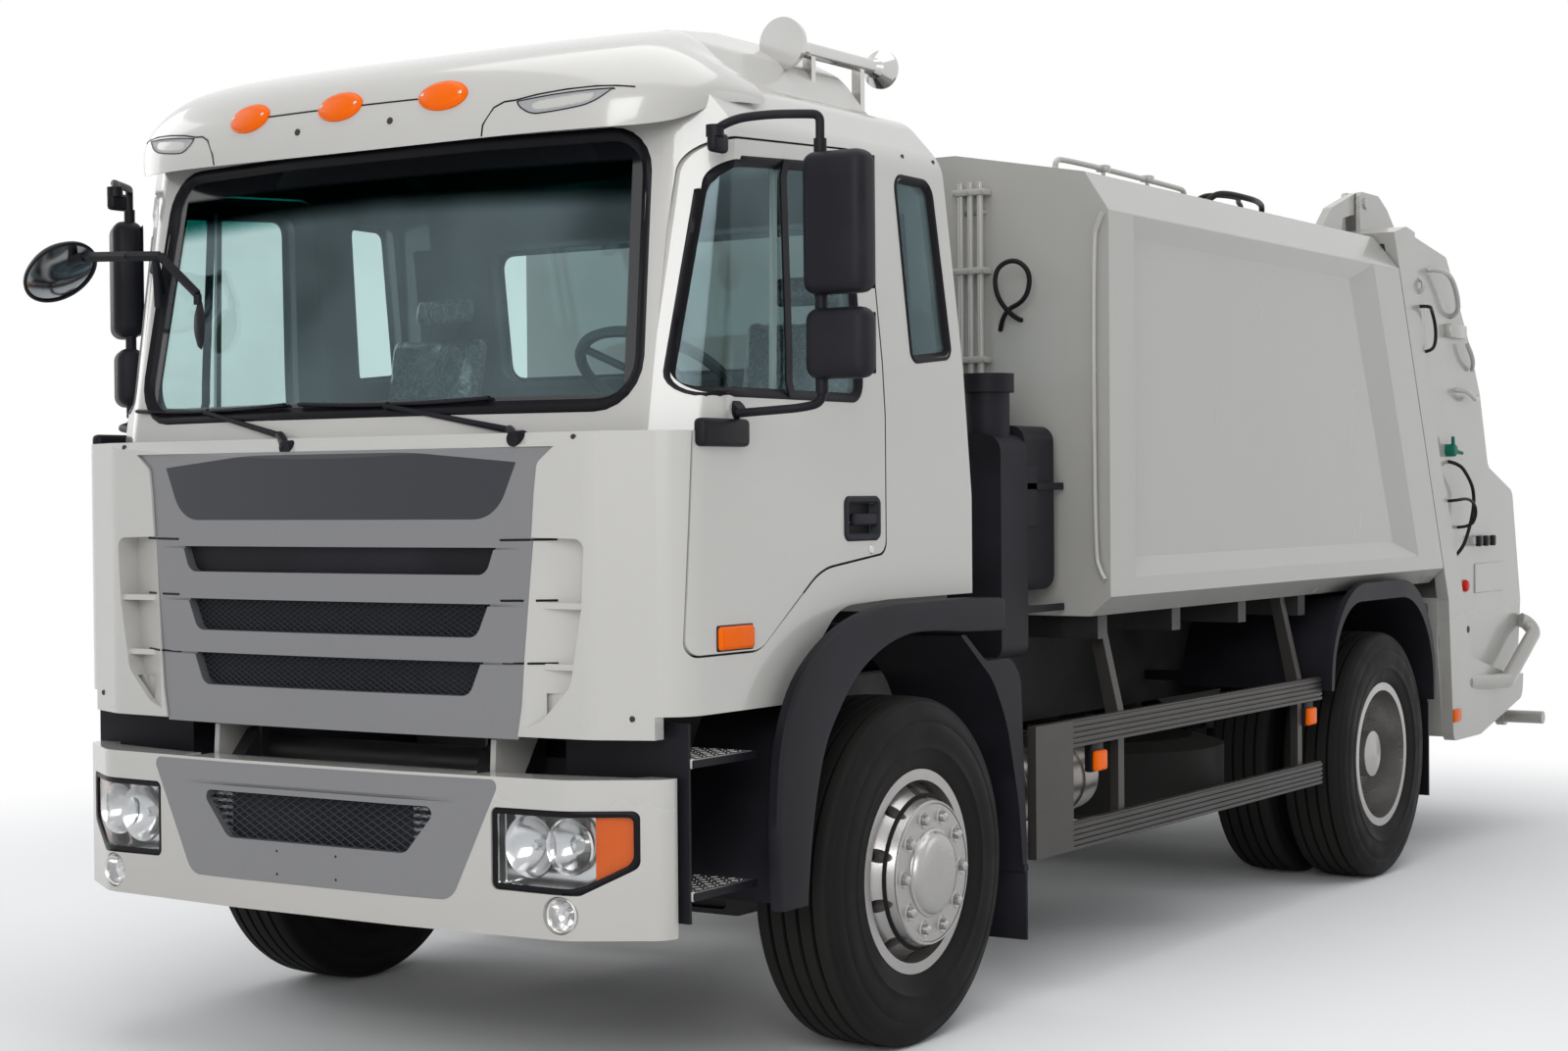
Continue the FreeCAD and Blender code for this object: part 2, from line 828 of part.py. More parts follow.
def build_side_guards():
    upper = guard_rail(guard_upper_z)
    lower = guard_rail(guard_lower_z)
    outer = guard_y + guard_depth
    panel = box(
        guard_front + seat_gap, front_x - 700, guard_y, outer, guard_lower_z, guard_upper_z + guard_rail_height
    )
    posts = []
    for x in (guard_post_front, guard_post_rear):
        posts.append(
            slab(
                "yz",
                [
                    (guard_y, guard_lower_z),
                    (guard_y, guard_upper_z + guard_rail_height),
                    (guard_y - 70, body_floor_z - 20, 20),
                    (guard_y - 70, body_floor_z),
                    (guard_y - 110, body_floor_z),
                    (guard_y - 110, body_floor_z - 30, 20),
                    (guard_y - 30, guard_upper_z, 20),
                    (guard_y - 30, guard_lower_z),
                ],
                x - 22,
                x + 22,
            )
        )
    brace = box(guard_front - 60, front_x - 720, guard_y - 24, guard_y, guard_upper_z + 20, guard_upper_z + 60)
    frame_arm = box(front_x - 860, front_x - 820, rail_y, guard_y - 24, guard_upper_z + 20, guard_upper_z + 60)
    side = joined([upper, lower, panel, brace, frame_arm] + posts)
    right_arm_room = box(front_x - 1040, front_x - 700, rail_y, 1130, 0, 2000)
    right = mirrored(joined([upper, lower, panel, brace] + posts).cut(right_arm_room))
    save("side_guards", [side, right])


# Bumper: a wrapped shell with a recess for the lamps and the silver centre.
bumper_front = overall_length / 2
bumper_half = bumper_width / 2
lamp_z0 = 585.0
lamp_z1 = 800.0
lamp_inner_y = bumper_half - 461.0
lamp_outer_y = bumper_half - 60.0
lamp_knee_y = bumper_half - 195.0
bumper_turn_y = bumper_half - 225.0
bumper_flat_y = bumper_half - 775.0
centre_top_y = bumper_half - 430.0
centre_low_y = bumper_half - 591.0
mouth_half = bumper_half - 632.0
centre_low_z = 545.0


def bumper_plan(inset):
    return [
        (bumper_front - 214, bumper_width / 2 - inset),
        (bumper_front - 170, bumper_width / 2 - inset, 60),
        (bumper_front - 32 - inset, bumper_turn_y, 160),
        (bumper_front - inset, bumper_flat_y, 900),
        (bumper_front - inset, -bumper_flat_y, 900),
        (bumper_front - 32 - inset, -bumper_turn_y, 160),
        (bumper_front - 170, -bumper_width / 2 + inset, 60),
        (bumper_front - 214, -bumper_width / 2 + inset),
    ]


def lamp_outline(margin):
    return [
        (lamp_inner_y - margin, lamp_z0 - margin, 20),
        (lamp_knee_y, lamp_z0 - 4 - margin, 30),
        (lamp_outer_y + margin, lamp_z0 + 70 - margin, 30),
        (lamp_outer_y + margin, lamp_z1 + margin, 20),
        (lamp_inner_y - margin, lamp_z1 + margin, 20),
    ]


def centre_outline(margin):
    return [
        (-centre_top_y + margin, bumper_top_z - 8 - margin, 20),
        (-centre_low_y + margin, centre_low_z + margin, 60),
        (centre_low_y - margin, centre_low_z + margin, 60),
        (centre_top_y - margin, bumper_top_z - 8 - margin, 20),
    ]


def build_bumper():
    outer = slab("xy", bumper_plan(0), bumper_bottom_z, bumper_top_z)
    inner = slab("xy", bumper_plan(bumper_wall), bumper_bottom_z - 1, bumper_top_z - bumper_wall)
    lip_plan = mirrored_plan(
        [
            (bumper_front - 215, bumper_width / 2 - 80),
            (bumper_front - 170, bumper_width / 2 - 100),
            (bumper_front - bumper_lip, bumper_half - 475),
        ]
    )
    lip_room = slab("xy", lip_plan, bumper_bottom_z, bumper_top_z + 1)
    shell = outer.cut(inner).cut(lip_room)
    lamp_hole = slab("yz", lamp_outline(seat_gap), bumper_front - 300, bumper_front + 5)
    centre_hole = slab("yz", centre_outline(0), bumper_front - 200, bumper_front + 5)
    fog = rod(V(bumper_front - 200, fog_y, fog_z), V(bumper_front + 5, fog_y, fog_z), fog_radius)
    arm_room = box(
        bumper_front - 200,
        bumper_front - bumper_wall - 8,
        tilt_arm_y - 4,
        tilt_arm_y + 40,
        bumper_top_z - 60,
        bumper_top_z + 5,
    )
    holes = [lamp_hole, mirrored(lamp_hole), centre_hole, fog, mirrored(fog)]
    shell = less(shell, holes + [arm_room, mirrored(arm_room)])
    save("bumper", [shell])
    centre = slab("xy", bumper_plan(seat_gap), bumper_bottom_z, bumper_top_z)
    centre = centre.cut(slab("xy", bumper_plan(bumper_wall + 6), bumper_bottom_z - 1, bumper_top_z + 1))
    centre = centre.common(slab("yz", centre_outline(seat_gap), bumper_front - 200, bumper_front + 5))
    mouth = slab(
        "yz",
        mirrored_view([(mouth_half - 113, 660, 40), (mouth_half, 790, 20)]),
        bumper_front - 200,
        bumper_front + 5,
    )
    plate_holes = []
    for dy in (-plate_spacing_y / 2, plate_spacing_y / 2):
        for dz in (-plate_spacing_z / 2, plate_spacing_z / 2):
            y = plate_centre_y + dy
            z = plate_centre_z + dz
            plate_holes.append(rod(V(bumper_front - 80, y, z), V(bumper_front + 5, y, z), plate_hole_radius))
    groove = slab(
        "yz",
        mirrored_view([(centre_top_y - 85, 806), (centre_top_y - 85, 815)]),
        bumper_front - 12,
        bumper_front + 5,
    )
    bars = []
    bar_half = mouth_half - 3
    for i in range(6):
        z = 680 + i * 19
        bars.append(box(bumper_front - bumper_wall - 5, bumper_front - bumper_wall, -bar_half, bar_half, z, z + 8))
    arms = []
    for side in (1, -1):
        arm = box(
            tilt_pivot_x + 40,
            bumper_front - bumper_wall - 4,
            rail_y + 2,
            rail_y + 32,
            tilt_pivot_z - 20,
            tilt_pivot_z + 16,
        )
        arms.append(on_side(arm, side))
    centre = less(centre, [mouth, groove] + plate_holes)
    save("bumper_centre", [joined([centre] + bars + arms)])
    lamp = slab("xy", bumper_plan(6), lamp_z0 - 40, lamp_z1 + 10)
    lamp = lamp.common(slab("yz", lamp_outline(0), bumper_front - 190, bumper_front))
    fog_lamp = rod(
        V(bumper_front - 120, fog_y, fog_z), V(bumper_front - 44, fog_y, fog_z), fog_radius - seat_gap
    )
    save("headlamps", both_sides(lamp) + both_sides(fog_lamp))


# Entry steps: a black well each side with two open treads.
def build_steps():
    well_front = front_x + 1030
    well_rear = front_x + 740
    side_plate = box(well_rear, well_front, 700, 712, 500, 1020)
    front_plate = box(well_front, well_front + 10, 700, 1100, 500, 1020)
    tread_low = box(well_rear, well_front, 712, 1110, 560, 580)
    tread_high = box(well_rear, well_front, 712, 1110, 905, 925)
    arm = box(well_rear + 10, well_rear + 50, rail_y, 700, 880, 940)
    side = joined([side_plate, front_plate, tread_low, tread_high, arm])
    save("cab_steps", both_sides(side))


# Wheel arch covers in black plastic, with a hanging flap behind each wheel.
fender_y = 1200.0
rear_fender_y = 1240.0


def build_front_fenders():
    outer = [
        (front_x + 748, 500),
        (front_x + 769, 720, 200),
        (front_x + 668, 1070, 160),
        (front_x + 400, 1278, 260),
        (front_x + 38, 1298, 200),
        (front_x - 470, 1298, 60),
        (front_x - 660, 1040, 60),
        (front_x - 668, 430),
    ]
    inner = [
        (front_x - 640, 430),
        (front_x - 632, 1020, 60),
        (front_x - 440, 1215, 60),
        (front_x + 38, 1215, 160),
        (front_x + 340, 1170, 160),
        (front_x + 560, 900, 160),
        (front_x + 622, 640, 160),
        (front_x + 640, 500),
    ]
    lip = slab("xz", outer + inner, fender_y - 30, fender_y)
    tray_outer = [
        (front_x + 668, 500),
        (front_x + 650, 640, 160),
        (front_x + 590, 910, 160),
        (front_x + 360, 1192, 160),
        (front_x + 38, 1237, 160),
        (front_x - 450, 1237, 60),
        (front_x - 655, 1030, 60),
        (front_x - 664, 430),
    ]
    tray = slab("xz", tray_outer + inner, 780, fender_y - 30)
    flap = box(front_x - 662, front_x - 650, 800, fender_y - 10, 210, 440)
    bracket = box(front_x - 664, front_x - 640, rail_y, 790, 900, 960)
    side = joined([lip, tray, flap, bracket])
    save("front_fenders", both_sides(side))


def build_rear_fenders():
    fender_top = 1233.0
    outer = [
        (rear_x + 668, 820),
        (rear_x + 640, fender_top, 390),
        (rear_x - 560, fender_top, 420),
        (rear_x - 556, 700),
    ]
    inner = [
        (rear_x - 536, 700),
        (rear_x - 530, fender_top - 73, 390),
        (rear_x + 600, fender_top - 73, 300),
        (rear_x + 640, 820),
    ]
    lip = slab("xz", outer + inner, rear_fender_y - 26, rear_fender_y)
    thin = [
        (rear_x + 662, 820),
        (rear_x + 625, fender_top - 50, 320),
        (rear_x - 552, fender_top - 50, 400),
        (rear_x - 550, 700),
    ]
    tray = slab("xz", thin + inner, 600, rear_fender_y - 26)
    arm = box(rear_x + 630, rear_x + 664, rail_y, 604, 840, 880)
    rear_arm = box(rear_x - 550, rear_x - 536, rail_y, 604, 760, 820)
    flap = box(rear_x - 562, rear_x - 550, 620, rear_fender_y - 30, 280, 700)
    flap_top = box(rear_x - 562, rear_x - 538, 620, rear_fender_y - 30, 690, 702)
    save("rear_fenders", both_sides(joined([lip, tray, arm, rear_arm, flap, flap_top])))


# Air intake behind the cab: stack with its cap, duct and filter box on the left.
def build_intake():
    stack = rod(V(front_x - 830, 960, 1700), V(front_x - 830, 960, 1935), 75)
    cap = rod(V(front_x - 830, 960, 1935), V(front_x - 830, 960, 1995), 90)
    duct = slab(
        "yz",
        [(860, 1080, 40), (1060, 1080, 40), (1060, 1800, 60), (860, 1800, 60)],
        front_x - 920,
        front_x - 740,
    )
    body = slab(
        "yz",
        [(640, 1290, 50), (1050, 1290, 50), (1050, 1830, 50), (640, 1830, 50)],
        front_x - 1125,
        front_x - 920,
    )
    bracket = box(body_front, front_x - 1120, 800, 980, 1340, 1380)
    bracket_high = box(body_front, front_x - 1120, 800, 980, 1740, 1780)
    save("air_intake", [joined([stack, cap, duct, body, bracket, bracket_high])])


def build_pipes():
    solids = []
    x = body_front + 36
    for i in range(3):
        y = 764 - i * 37
        run = rod(V(x, y, 1280), V(x, y, 2660), 11)
        foot = rod(V(body_front, y, 1320), V(x, y, 1320), 8)
        head = rod(V(body_front, y, 2560), V(x, y, 2560), 8)
        solids.append(joined([run, foot, head]))
    save("body_pipes", solids)


# Cab form: a plan outline pushed upwards, leaning back above the waist, then trimmed by
# the side profile and by the rounded front view. The same form moved inwards gives the room.
windscreen_lean = 0.171


def low_plan(inset):
    w = cab_width / 2 - inset
    return mirrored_plan(
        [
            (cab_rear + inset, w),
            (cab_front - 135 - inset * 0.4, w, 120),
            (cab_front - 34 - inset, cab_half - 240 - inset * 0.6, 120),
            (cab_front + 4 - inset, 300, 1200),
        ]
    )


def high_plan(inset):
    w = cab_width / 2 - inset
    return mirrored_plan(
        [
            (cab_rear - 40 + inset, w),
            (cab_front - 285 - inset * 0.4, w, 110),
            (cab_front - 180 - inset, cab_half - 160 - inset * 0.6, 110),
            (cab_front - 92 - inset, 330, 1200),
        ]
    )


def side_profile(inset):
    rear = cab_rear + inset
    return [
        (rear, 800),
        (cab_front + 60, 800),
        (cab_front + 60, 1650),
        (cab_front - 55 - inset, cab_waist_z),
        (cab_front - 55 - inset, 2400),
        (cab_front - 262 - inset, cab_roof_edge_z, 60),
        (cab_front - 390 - inset, 2800 - inset, 120),
        (cab_front - 560, 2905 - inset, 150),
        (cab_front - 950, cab_roof_z - inset, 300),
        (rear + 325, cab_roof_z - inset, 60),
        (rear + 205, 2860 - inset, 60),
        (rear + 130, 2640, 200),
        (rear, 1600, 300),
    ]


def front_view(inset):
    w = cab_width / 2 - inset
    return mirrored_view(
        [
            (w + 20, 800),
            (w + 4, 1900, 300),
            (w - 26, 2600, 120),
            (w - 130, 2735 - inset, 100),
            (w - 255, 2765 - inset, 50),
            (w - 330, 2885 - inset, 60),
            (w - 480, cab_roof_z + 14 - inset, 120),
        ]
    )


def cab_volume(inset, low):
    """The cab's outer form, or the same form moved inwards."""
    lower = slab("xy", low_plan(inset), low, cab_waist_z - 10)
    rise = cab_roof_z + 60 - (cab_waist_z - 10)
    leaning = Part.Face(outline("xy", high_plan(inset), cab_waist_z - 10))
    upper = leaning.extrude(V(-windscreen_lean * rise, 0, rise))
    rear_fill = box(cab_rear + inset, front_x, -cab_width / 2 + inset, cab_width / 2 - inset, 1500, 3000)
    form = lower.fuse([upper, rear_fill])
    form = form.common(slab("xz", side_profile(inset), -past_cab, past_cab))
    return form.common(slab("yz", front_view(inset), cab_rear - 100, cab_front + 100)).removeSplitter()


def floor_line(lift):
    """Everything above the cab's underside, which steps up over the wheel."""
    return [
        (cab_front + 60, cab_floor_z + lift),
        (front_x + 610, cab_floor_z + lift, 60),
        (front_x + 330, cab_rear_floor_z + lift - 10, 200),
        (front_x + 60, cab_rear_floor_z + lift, 60),
        (cab_rear - 60, cab_rear_floor_z + lift),
        (cab_rear - 60, cab_roof_z + 200),
        (cab_front + 60, cab_roof_z + 200),
    ]


door_outline = [
    (front_x + 1060, cab_floor_z + 150, 40),
    (front_x + 735, cab_floor_z + 150, 120),
    (front_x + 420, 1400, 260),
    (front_x + 68, 1437, 40),
    (front_x + 68, 1840, 200),
    (front_x + 140, 2600, 90),
    (front_x + 880, 2560, 120),
    (front_x + 1030, 1800, 200),
]


def shrunk(points, amount):
    """The outline's corners moved towards its middle, for a running gap."""
    cx = sum(p[0] for p in points) / len(points)
    cz = sum(p[1] for p in points) / len(points)
    moved = []
    for p in points:
        dx = math.copysign(min(amount, abs(p[0] - cx)), cx - p[0])
        dz = math.copysign(min(amount, abs(p[1] - cz)), cz - p[1])
        moved.append((p[0] + dx, p[1] + dz) + tuple(p[2:]))
    return moved


def windscreen_outline(margin):
    return mirrored_view(
        [
            (cab_half - 190 + margin, 1850 - margin, 130),
            (cab_half - 235 + margin, cab_roof_edge_z - 55 + margin, 110),
        ]
    )


def rear_side_outline(margin):
    return [
        (front_x - 90 + margin, 2003 - margin, 30),
        (front_x - 316 - margin, 2027 - margin, 30),
        (front_x - 236 - margin, 2537 + margin, 40),
        (front_x - 30 + margin, 2539 + margin, 40),
    ]


def back_outline(margin):
    return [
        (-640 - margin, 2000 - margin, 60),
        (640 + margin, 2000 - margin, 60),
        (640 + margin, 2440 + margin, 60),
        (-640 - margin, 2440 + margin, 60),
    ]


def door_window_outline(margin):
    return [
        (front_x + 985 + margin, 1880 - margin, 60),
        (front_x + 200 - margin, 1880 - margin, 50),
        (front_x + 240 - margin, 2540 + margin, 60),
        (front_x + 850 + margin, 2500 + margin, 80),
    ]


grille_low_z = 972.0
grille_seam_z = 1540.0
grille_top_z = 1742.0
nose_step = 4.0
wing_widening = 3.0
cab_low_z = cab_floor_z - 60.0



def grille_outline(margin):
    """The grille unit seen from the front: narrow at its foot, winged at its top."""
    return mirrored_view(
        [
            (652 + margin, grille_low_z - margin),
            (668 + margin, 1060),
            (712 + margin, 1620),
            (722 + margin, 1700, 30),
            (775 + wing_widening * margin, grille_top_z + margin),
        ]
    )


outer_cab = cab_volume(0, cab_low_z)
inner_cab = cab_volume(cab_wall, cab_low_z)


scoop_inner_y = cab_half - 452.0
scoop_outer_y = cab_half - 220.0
scoop_slope = 0.45


def scoop_floor(y):
    """How far back the corner scoop's sloping floor lies at a distance from the middle."""
    return cab_front - 16 - (y - scoop_inner_y) * scoop_slope


def build_cab_shell():
    nose_low = slab(
        "xz",
        [
            (cab_front + 60, cab_low_z),
            (cab_front - 140, cab_low_z),
            (cab_front - 140, cab_floor_z + 1),
            (cab_front + 60, cab_floor_z + 1),
        ],
        -cab_half + 80,
        cab_half - 80,
    )
    above = joined([slab("xz", floor_line(0), -past_cab, past_cab), nose_low])
    outer = outer_cab.common(above)
    tunnel_in = box(cab_rear - 10, front_x + 640, -tunnel_half_width, tunnel_half_width, 900, tunnel_top_z)
    wall = 50.0
    tunnel_out = box(
        cab_rear - 10,
        front_x + 640 + wall,
        -tunnel_half_width - wall,
        tunnel_half_width + wall,
        900,
        tunnel_top_z + wall,
    )
    room = inner_cab.common(slab("xz", floor_line(cab_wall), -past_cab, past_cab)).cut(tunnel_out)
    grille_room = slab("yz", grille_outline(seat_gap), cab_front - 125, cab_front + 80)
    grille_room = grille_room.fuse(box(cab_front - 125, cab_front + 80, -652, 652, 900, grille_low_z))
    under_nose = box(
        cab_front - 200,
        cab_front - 45,
        -window_depth_y,
        window_depth_y,
        900,
        cab_floor_z + cab_wall,
    )
    windows = [
        slab("yz", windscreen_outline(0), front_x + 600, cab_front + 60),
        slab("yz", back_outline(0), cab_rear - 60, front_x - 100),
    ]
    side_cuts = [
        slab("xz", door_outline, door_depth_y, past_cab),
        slab("xz", rear_side_outline(0), window_depth_y, past_cab),
    ]
    shell = less(outer, [room, tunnel_in, grille_room, under_nose] + windows)
    for cutter in side_cuts:
        shell = less(shell, [cutter, mirrored(cutter)])
    arms = []
    for side in (1, -1):
        arm = slab(
            "xz",
            [
                (tilt_pivot_x + 34, tilt_pivot_z - 34, 30),
                (tilt_pivot_x + 20, cab_floor_z - 80),
                (tilt_pivot_x - 110, cab_floor_z + 20),
                (tilt_pivot_x - 190, cab_floor_z + 20),
                (tilt_pivot_x - 190, cab_floor_z - 40),
                (tilt_pivot_x - 34, tilt_pivot_z - 34, 30),
            ],
            tilt_arm_y + 8,
            tilt_arm_y + 26,
        )
        bore = rod(
            V(tilt_pivot_x, tilt_arm_y, tilt_pivot_z),
            V(tilt_pivot_x, tilt_arm_y + 40, tilt_pivot_z),
            tilt_pin_radius + bearing_gap,
        )
        arms.append(on_side(arm.cut(bore), side))
    scoop_view = [
        (scoop_inner_y, 1000),
        (scoop_inner_y + 62, 1023, 60),
        (scoop_outer_y - 78, 1116, 60),
        (scoop_outer_y - 42, 1320, 100),
        (scoop_outer_y - 32, 1500, 30),
        (scoop_inner_y, 1505),
    ]
    scoop_back = slab(
        "xy",
        [
            (cab_front - 50, scoop_inner_y - 20),
            (cab_front - 100, scoop_inner_y - 20),
            (cab_front - 165, scoop_outer_y + 5),
            (cab_front - 75, scoop_outer_y + 5),
        ],
        cab_floor_z - 50,
        1530,
    )
    scoop_room = slab(
        "xy",
        [
            (cab_front + 60, scoop_inner_y),
            (scoop_floor(scoop_inner_y), scoop_inner_y),
            (scoop_floor(scoop_outer_y), scoop_outer_y),
            (cab_front + 60, scoop_outer_y),
        ],
        990,
        1520,
    )
    scoop_room = scoop_room.common(slab("yz", scoop_view, cab_front - 200, cab_front + 60))
    for fin_z in (1165.0, 1325.0):
        fin = slab(
            "xy",
            [
                (scoop_floor(scoop_inner_y + 57), scoop_inner_y + 57),
                (cab_front - 42, scoop_outer_y - 50),
                (cab_front - 48, scoop_outer_y),
                (scoop_floor(scoop_outer_y), scoop_outer_y),
            ],
            fin_z - 8,
            fin_z + 8,
        )
        scoop_room = scoop_room.cut(fin)
    backs = [b.common(outer_cab) for b in both_sides(scoop_back)]
    shell = less(joined([shell] + backs), both_sides(scoop_room) + [grille_room])
    shell = joined([shell] + arms)
    save("cab_shell", [shell])


def build_cab_glass():
    near = cab_volume(glass_inset, cab_low_z)
    far = cab_volume(glass_inset + glass_thickness, cab_low_z)
    sheet = near.cut(far)
    front = sheet.common(slab("yz", windscreen_outline(-seat_gap), front_x + 600, cab_front + 60))
    back = sheet.common(slab("yz", back_outline(-seat_gap), cab_rear - 60, front_x - 100))
    side = sheet.common(slab("xz", rear_side_outline(-seat_gap), window_depth_y, past_cab))
    save("cab_glass", [front, back] + both_sides(side))
    return sheet


handle_rear_x = front_x + 116.0
handle_front_x = front_x + 290.0
handle_z = 1541.0


def build_doors(sheet):
    leaf = shrunk(door_outline, door_gap)
    panel = outer_cab.common(slab("xz", leaf, door_depth_y, past_cab)).cut(inner_cab)
    window = slab("xz", door_window_outline(0), window_depth_y, past_cab)
    panel = panel.cut(window)
    handle_room = slab(
        "xz",
        [
            (handle_rear_x, handle_z - 55, 20),
            (handle_front_x, handle_z - 55, 20),
            (handle_front_x, handle_z + 55, 20),
            (handle_rear_x, handle_z + 55, 20),
        ],
        cab_width / 2 - 28,
        cab_width / 2 + 10,
    )
    grip = slab(
        "xz",
        [
            (handle_rear_x - 2, handle_z - 14, 6),
            (handle_front_x - 44, handle_z - 14, 6),
            (handle_front_x - 44, handle_z + 14, 6),
            (handle_rear_x - 2, handle_z + 14, 6),
        ],
        cab_width / 2 - 30,
        cab_width / 2 - 8,
    )
    panel = joined([panel.cut(handle_room), grip])
    glass = sheet.common(slab("xz", door_window_outline(-seat_gap), door_depth_y + 10, past_cab))
    bar_x = front_x + 575
    divider = slab(
        "xz",
        [(bar_x - 10, 1870), (bar_x + 10, 1870), (bar_x - 5, 2560), (bar_x - 25, 2560)],
        cab_width / 2 - cab_wall - 8,
        cab_width / 2 - cab_wall + 4,
    )
    panel = joined([panel, divider.common(outer_cab)])
    for side in (1, -1):
        save(side_name("door", side), [on_side(panel, side)])
        save(side_name("door_glass", side), [on_side(glass, side)])


# Door mirrors: two black housings on a bent tube arm, bolted to the door's front edge.
mirror_x = front_x + 790.0
mirror_y = cab_half + 300.0
mirror_tube_radius = 12.0
mirror_run = 60.0
folded_turn = 38.0
folded_shift = V(-81, -53, 0)


def build_mirrors():
    run_y = mirror_y - mirror_run
    heads = []
    for low, high, depth in ((2130, 2500, 55), (1910, 2095, 45)):
        heads.append(
            slab(
                "yz",
                [
                    (mirror_y - 95, low, 40),
                    (mirror_y + 95, low, 40),
                    (mirror_y + 95, high, 40),
                    (mirror_y - 95, high, 40),
                ],
                mirror_x - 40,
                mirror_x + depth,
            )
        )
    head_pair = joined(heads + [rod(V(mirror_x, run_y, 1880), V(mirror_x, run_y, 2560), mirror_tube_radius)])
    foot_y = cab_width / 2 - 10
    top_foot = box(front_x + 880, front_x + 960, foot_y - 8, foot_y + 34, 2500, 2560)
    low_foot = box(front_x + 800, front_x + 1030, foot_y - 20, foot_y + 40, 1735, 1815)
    for side in (1, -1):
        turned = head_pair.copy()
        shift = V(0, 0, 0)
        if side == -1:
            turned.rotate(V(mirror_x, run_y, 0), V(0, 0, 1), folded_turn)
            shift = folded_shift
            turned.translate(shift)
        run = V(mirror_x, run_y, 0) + shift
        tube = bent_tube(
            [
                V(front_x + 930, foot_y, 2545),
                V(front_x + 860, run.y - 40, 2600),
                run + V(0, 0, 2600),
                run + V(0, 0, 1850),
                V(front_x + 880, run.y - 80, 1830),
                V(front_x + 985, foot_y - 16, 1800),
            ],
            mirror_tube_radius,
            30,
        )
        mirror = joined([turned, tube, top_foot, low_foot]).cut(outer_cab)
        save(side_name("door_mirrors", side), [on_side(mirror, side)])


# Grille: a silver unit that bows forward, with three slots and a dark panel set in its top.
seam_groove = 6.0
slots = ((1404, 1477, 580, 553), (1237, 1327, 560, 520), (1081, 1173, 535, 495))


def bowed_strip(front_step, back_step, z0, z1):
    """A bowed strip across the nose, from front_step to back_step behind its face."""
    w = 790.0
    f0 = cab_front + nose_step - front_step
    f1 = cab_front + nose_step - back_step
    drop = 42.0
    edges = [
        Part.Arc(V(f0 - drop, w, z0), V(f0, 0, z0), V(f0 - drop, -w, z0)).toShape(),
        Part.LineSegment(V(f0 - drop, -w, z0), V(f1 - drop, -w, z0)).toShape(),
        Part.Arc(V(f1 - drop, -w, z0), V(f1, 0, z0), V(f1 - drop, w, z0)).toShape(),
        Part.LineSegment(V(f1 - drop, w, z0), V(f0 - drop, w, z0)).toShape(),
    ]
    return Part.Face(Part.Wire(edges)).extrude(V(0, 0, z1 - z0))


def emblem_outline(margin):
    return mirrored_view(
        [
            (585 - margin, 1552 + margin, 110),
            (652 - margin, 1702 - margin),
            (300, 1733 - margin, 1500),
        ]
    )


def build_grille():
    near = cab_front - 160
    far = cab_front + 60
    front_limit = slab("xz", side_profile(-nose_step), -past_cab, past_cab)
    unit_view = slab("yz", grille_outline(0), near, far)
    frame = bowed_strip(0, 30, grille_low_z, grille_top_z + 5).common(unit_view)
    cuts = [slab("yz", emblem_outline(-seat_gap), near, far)]
    for low, high, top_half, low_half in slots:
        cuts.append(
            slab(
                "yz",
                [(-top_half, high), (top_half, high), (low_half, low, 40), (-low_half, low, 40)],
                near,
                far,
            )
        )
        for side in (1, -1):
            y0, y1 = sorted((side * (top_half - 10), side * 800))
            groove = box(cab_front - 26, far, y0, y1, high - seam_groove, high)
            cuts.append(groove)
    backing = bowed_strip(30, 60, grille_seam_z - 10, grille_top_z + 5).common(unit_view)
    panel = bowed_strip(0, 30, grille_seam_z, grille_top_z + 5)
    panel = panel.common(slab("yz", emblem_outline(0), near, far))
    silver = joined([less(frame, cuts), backing]).common(front_limit)
    save("grille", [silver])
    mesh = bowed_strip(30, 44, grille_low_z + 40, grille_seam_z - 20)
    save("grille_mesh", [mesh.common(slab("yz", grille_outline(-20), near, far))])
    save("nose_panel", [panel.common(front_limit)])


# Roof visor above the windscreen, with its marker lamps.
marker_spacing = 361.0


def build_visor():
    profile = [
        (cab_front - 66, 2540),
        (cab_front - 40, 2690, 40),
        (cab_front - 150, 2802, 90),
        (cab_front - 400, 2880, 150),
        (cab_front - 620, 2920),
        (cab_front - 620, 2540),
    ]
    room_profile = [
        (cab_front - 90, 2500),
        (cab_front - 72, 2680, 30),
        (cab_front - 170, 2770, 80),
        (cab_front - 330, 2820),
        (cab_front - 330, 2500),
    ]
    plan = mirrored_plan(
        [
            (cab_front - 620, 1055),
            (cab_front - 330, 1050, 120),
            (cab_front - 143, 880, 160),
            (cab_front - 66, 450, 600),
            (cab_front - 40, 150, 1200),
        ]
    )
    view = mirrored_view(
        [
            (600, 2618, 900),
            (940, 2572, 200),
            (1080, 2560),
            (1075, 2700, 80),
            (930, 2762, 80),
            (800, 2880, 80),
            (600, 2930),
        ]
    )
    visor = slab("xz", profile, -1080, 1080).common(slab("xy", plan, 2500, 2960))
    visor = visor.common(slab("yz", view, front_x, cab_front + 60))
    room = slab("xz", room_profile, -900, 900)
    room = room.common(slab("xy", plan, 2400, 2960).translated(V(-32, 0, 0)))
    visor = visor.cut(room).cut(outer_cab)
    solids = sorted(visor.Solids, key=lambda solid: -solid.Volume)
    save("sun_visor", solids[:1])
    lamps = []
    for y in (-marker_spacing, 0.0, marker_spacing):
        lamp = oval_plate(68, 32, 44, 16)
        lamp.translate(V(cab_front - 54 - abs(y) * 0.03, y, 2697))
        lamps.append(lamp.cut(visor))
    save("marker_lamps", lamps)


horn_y = 800.0


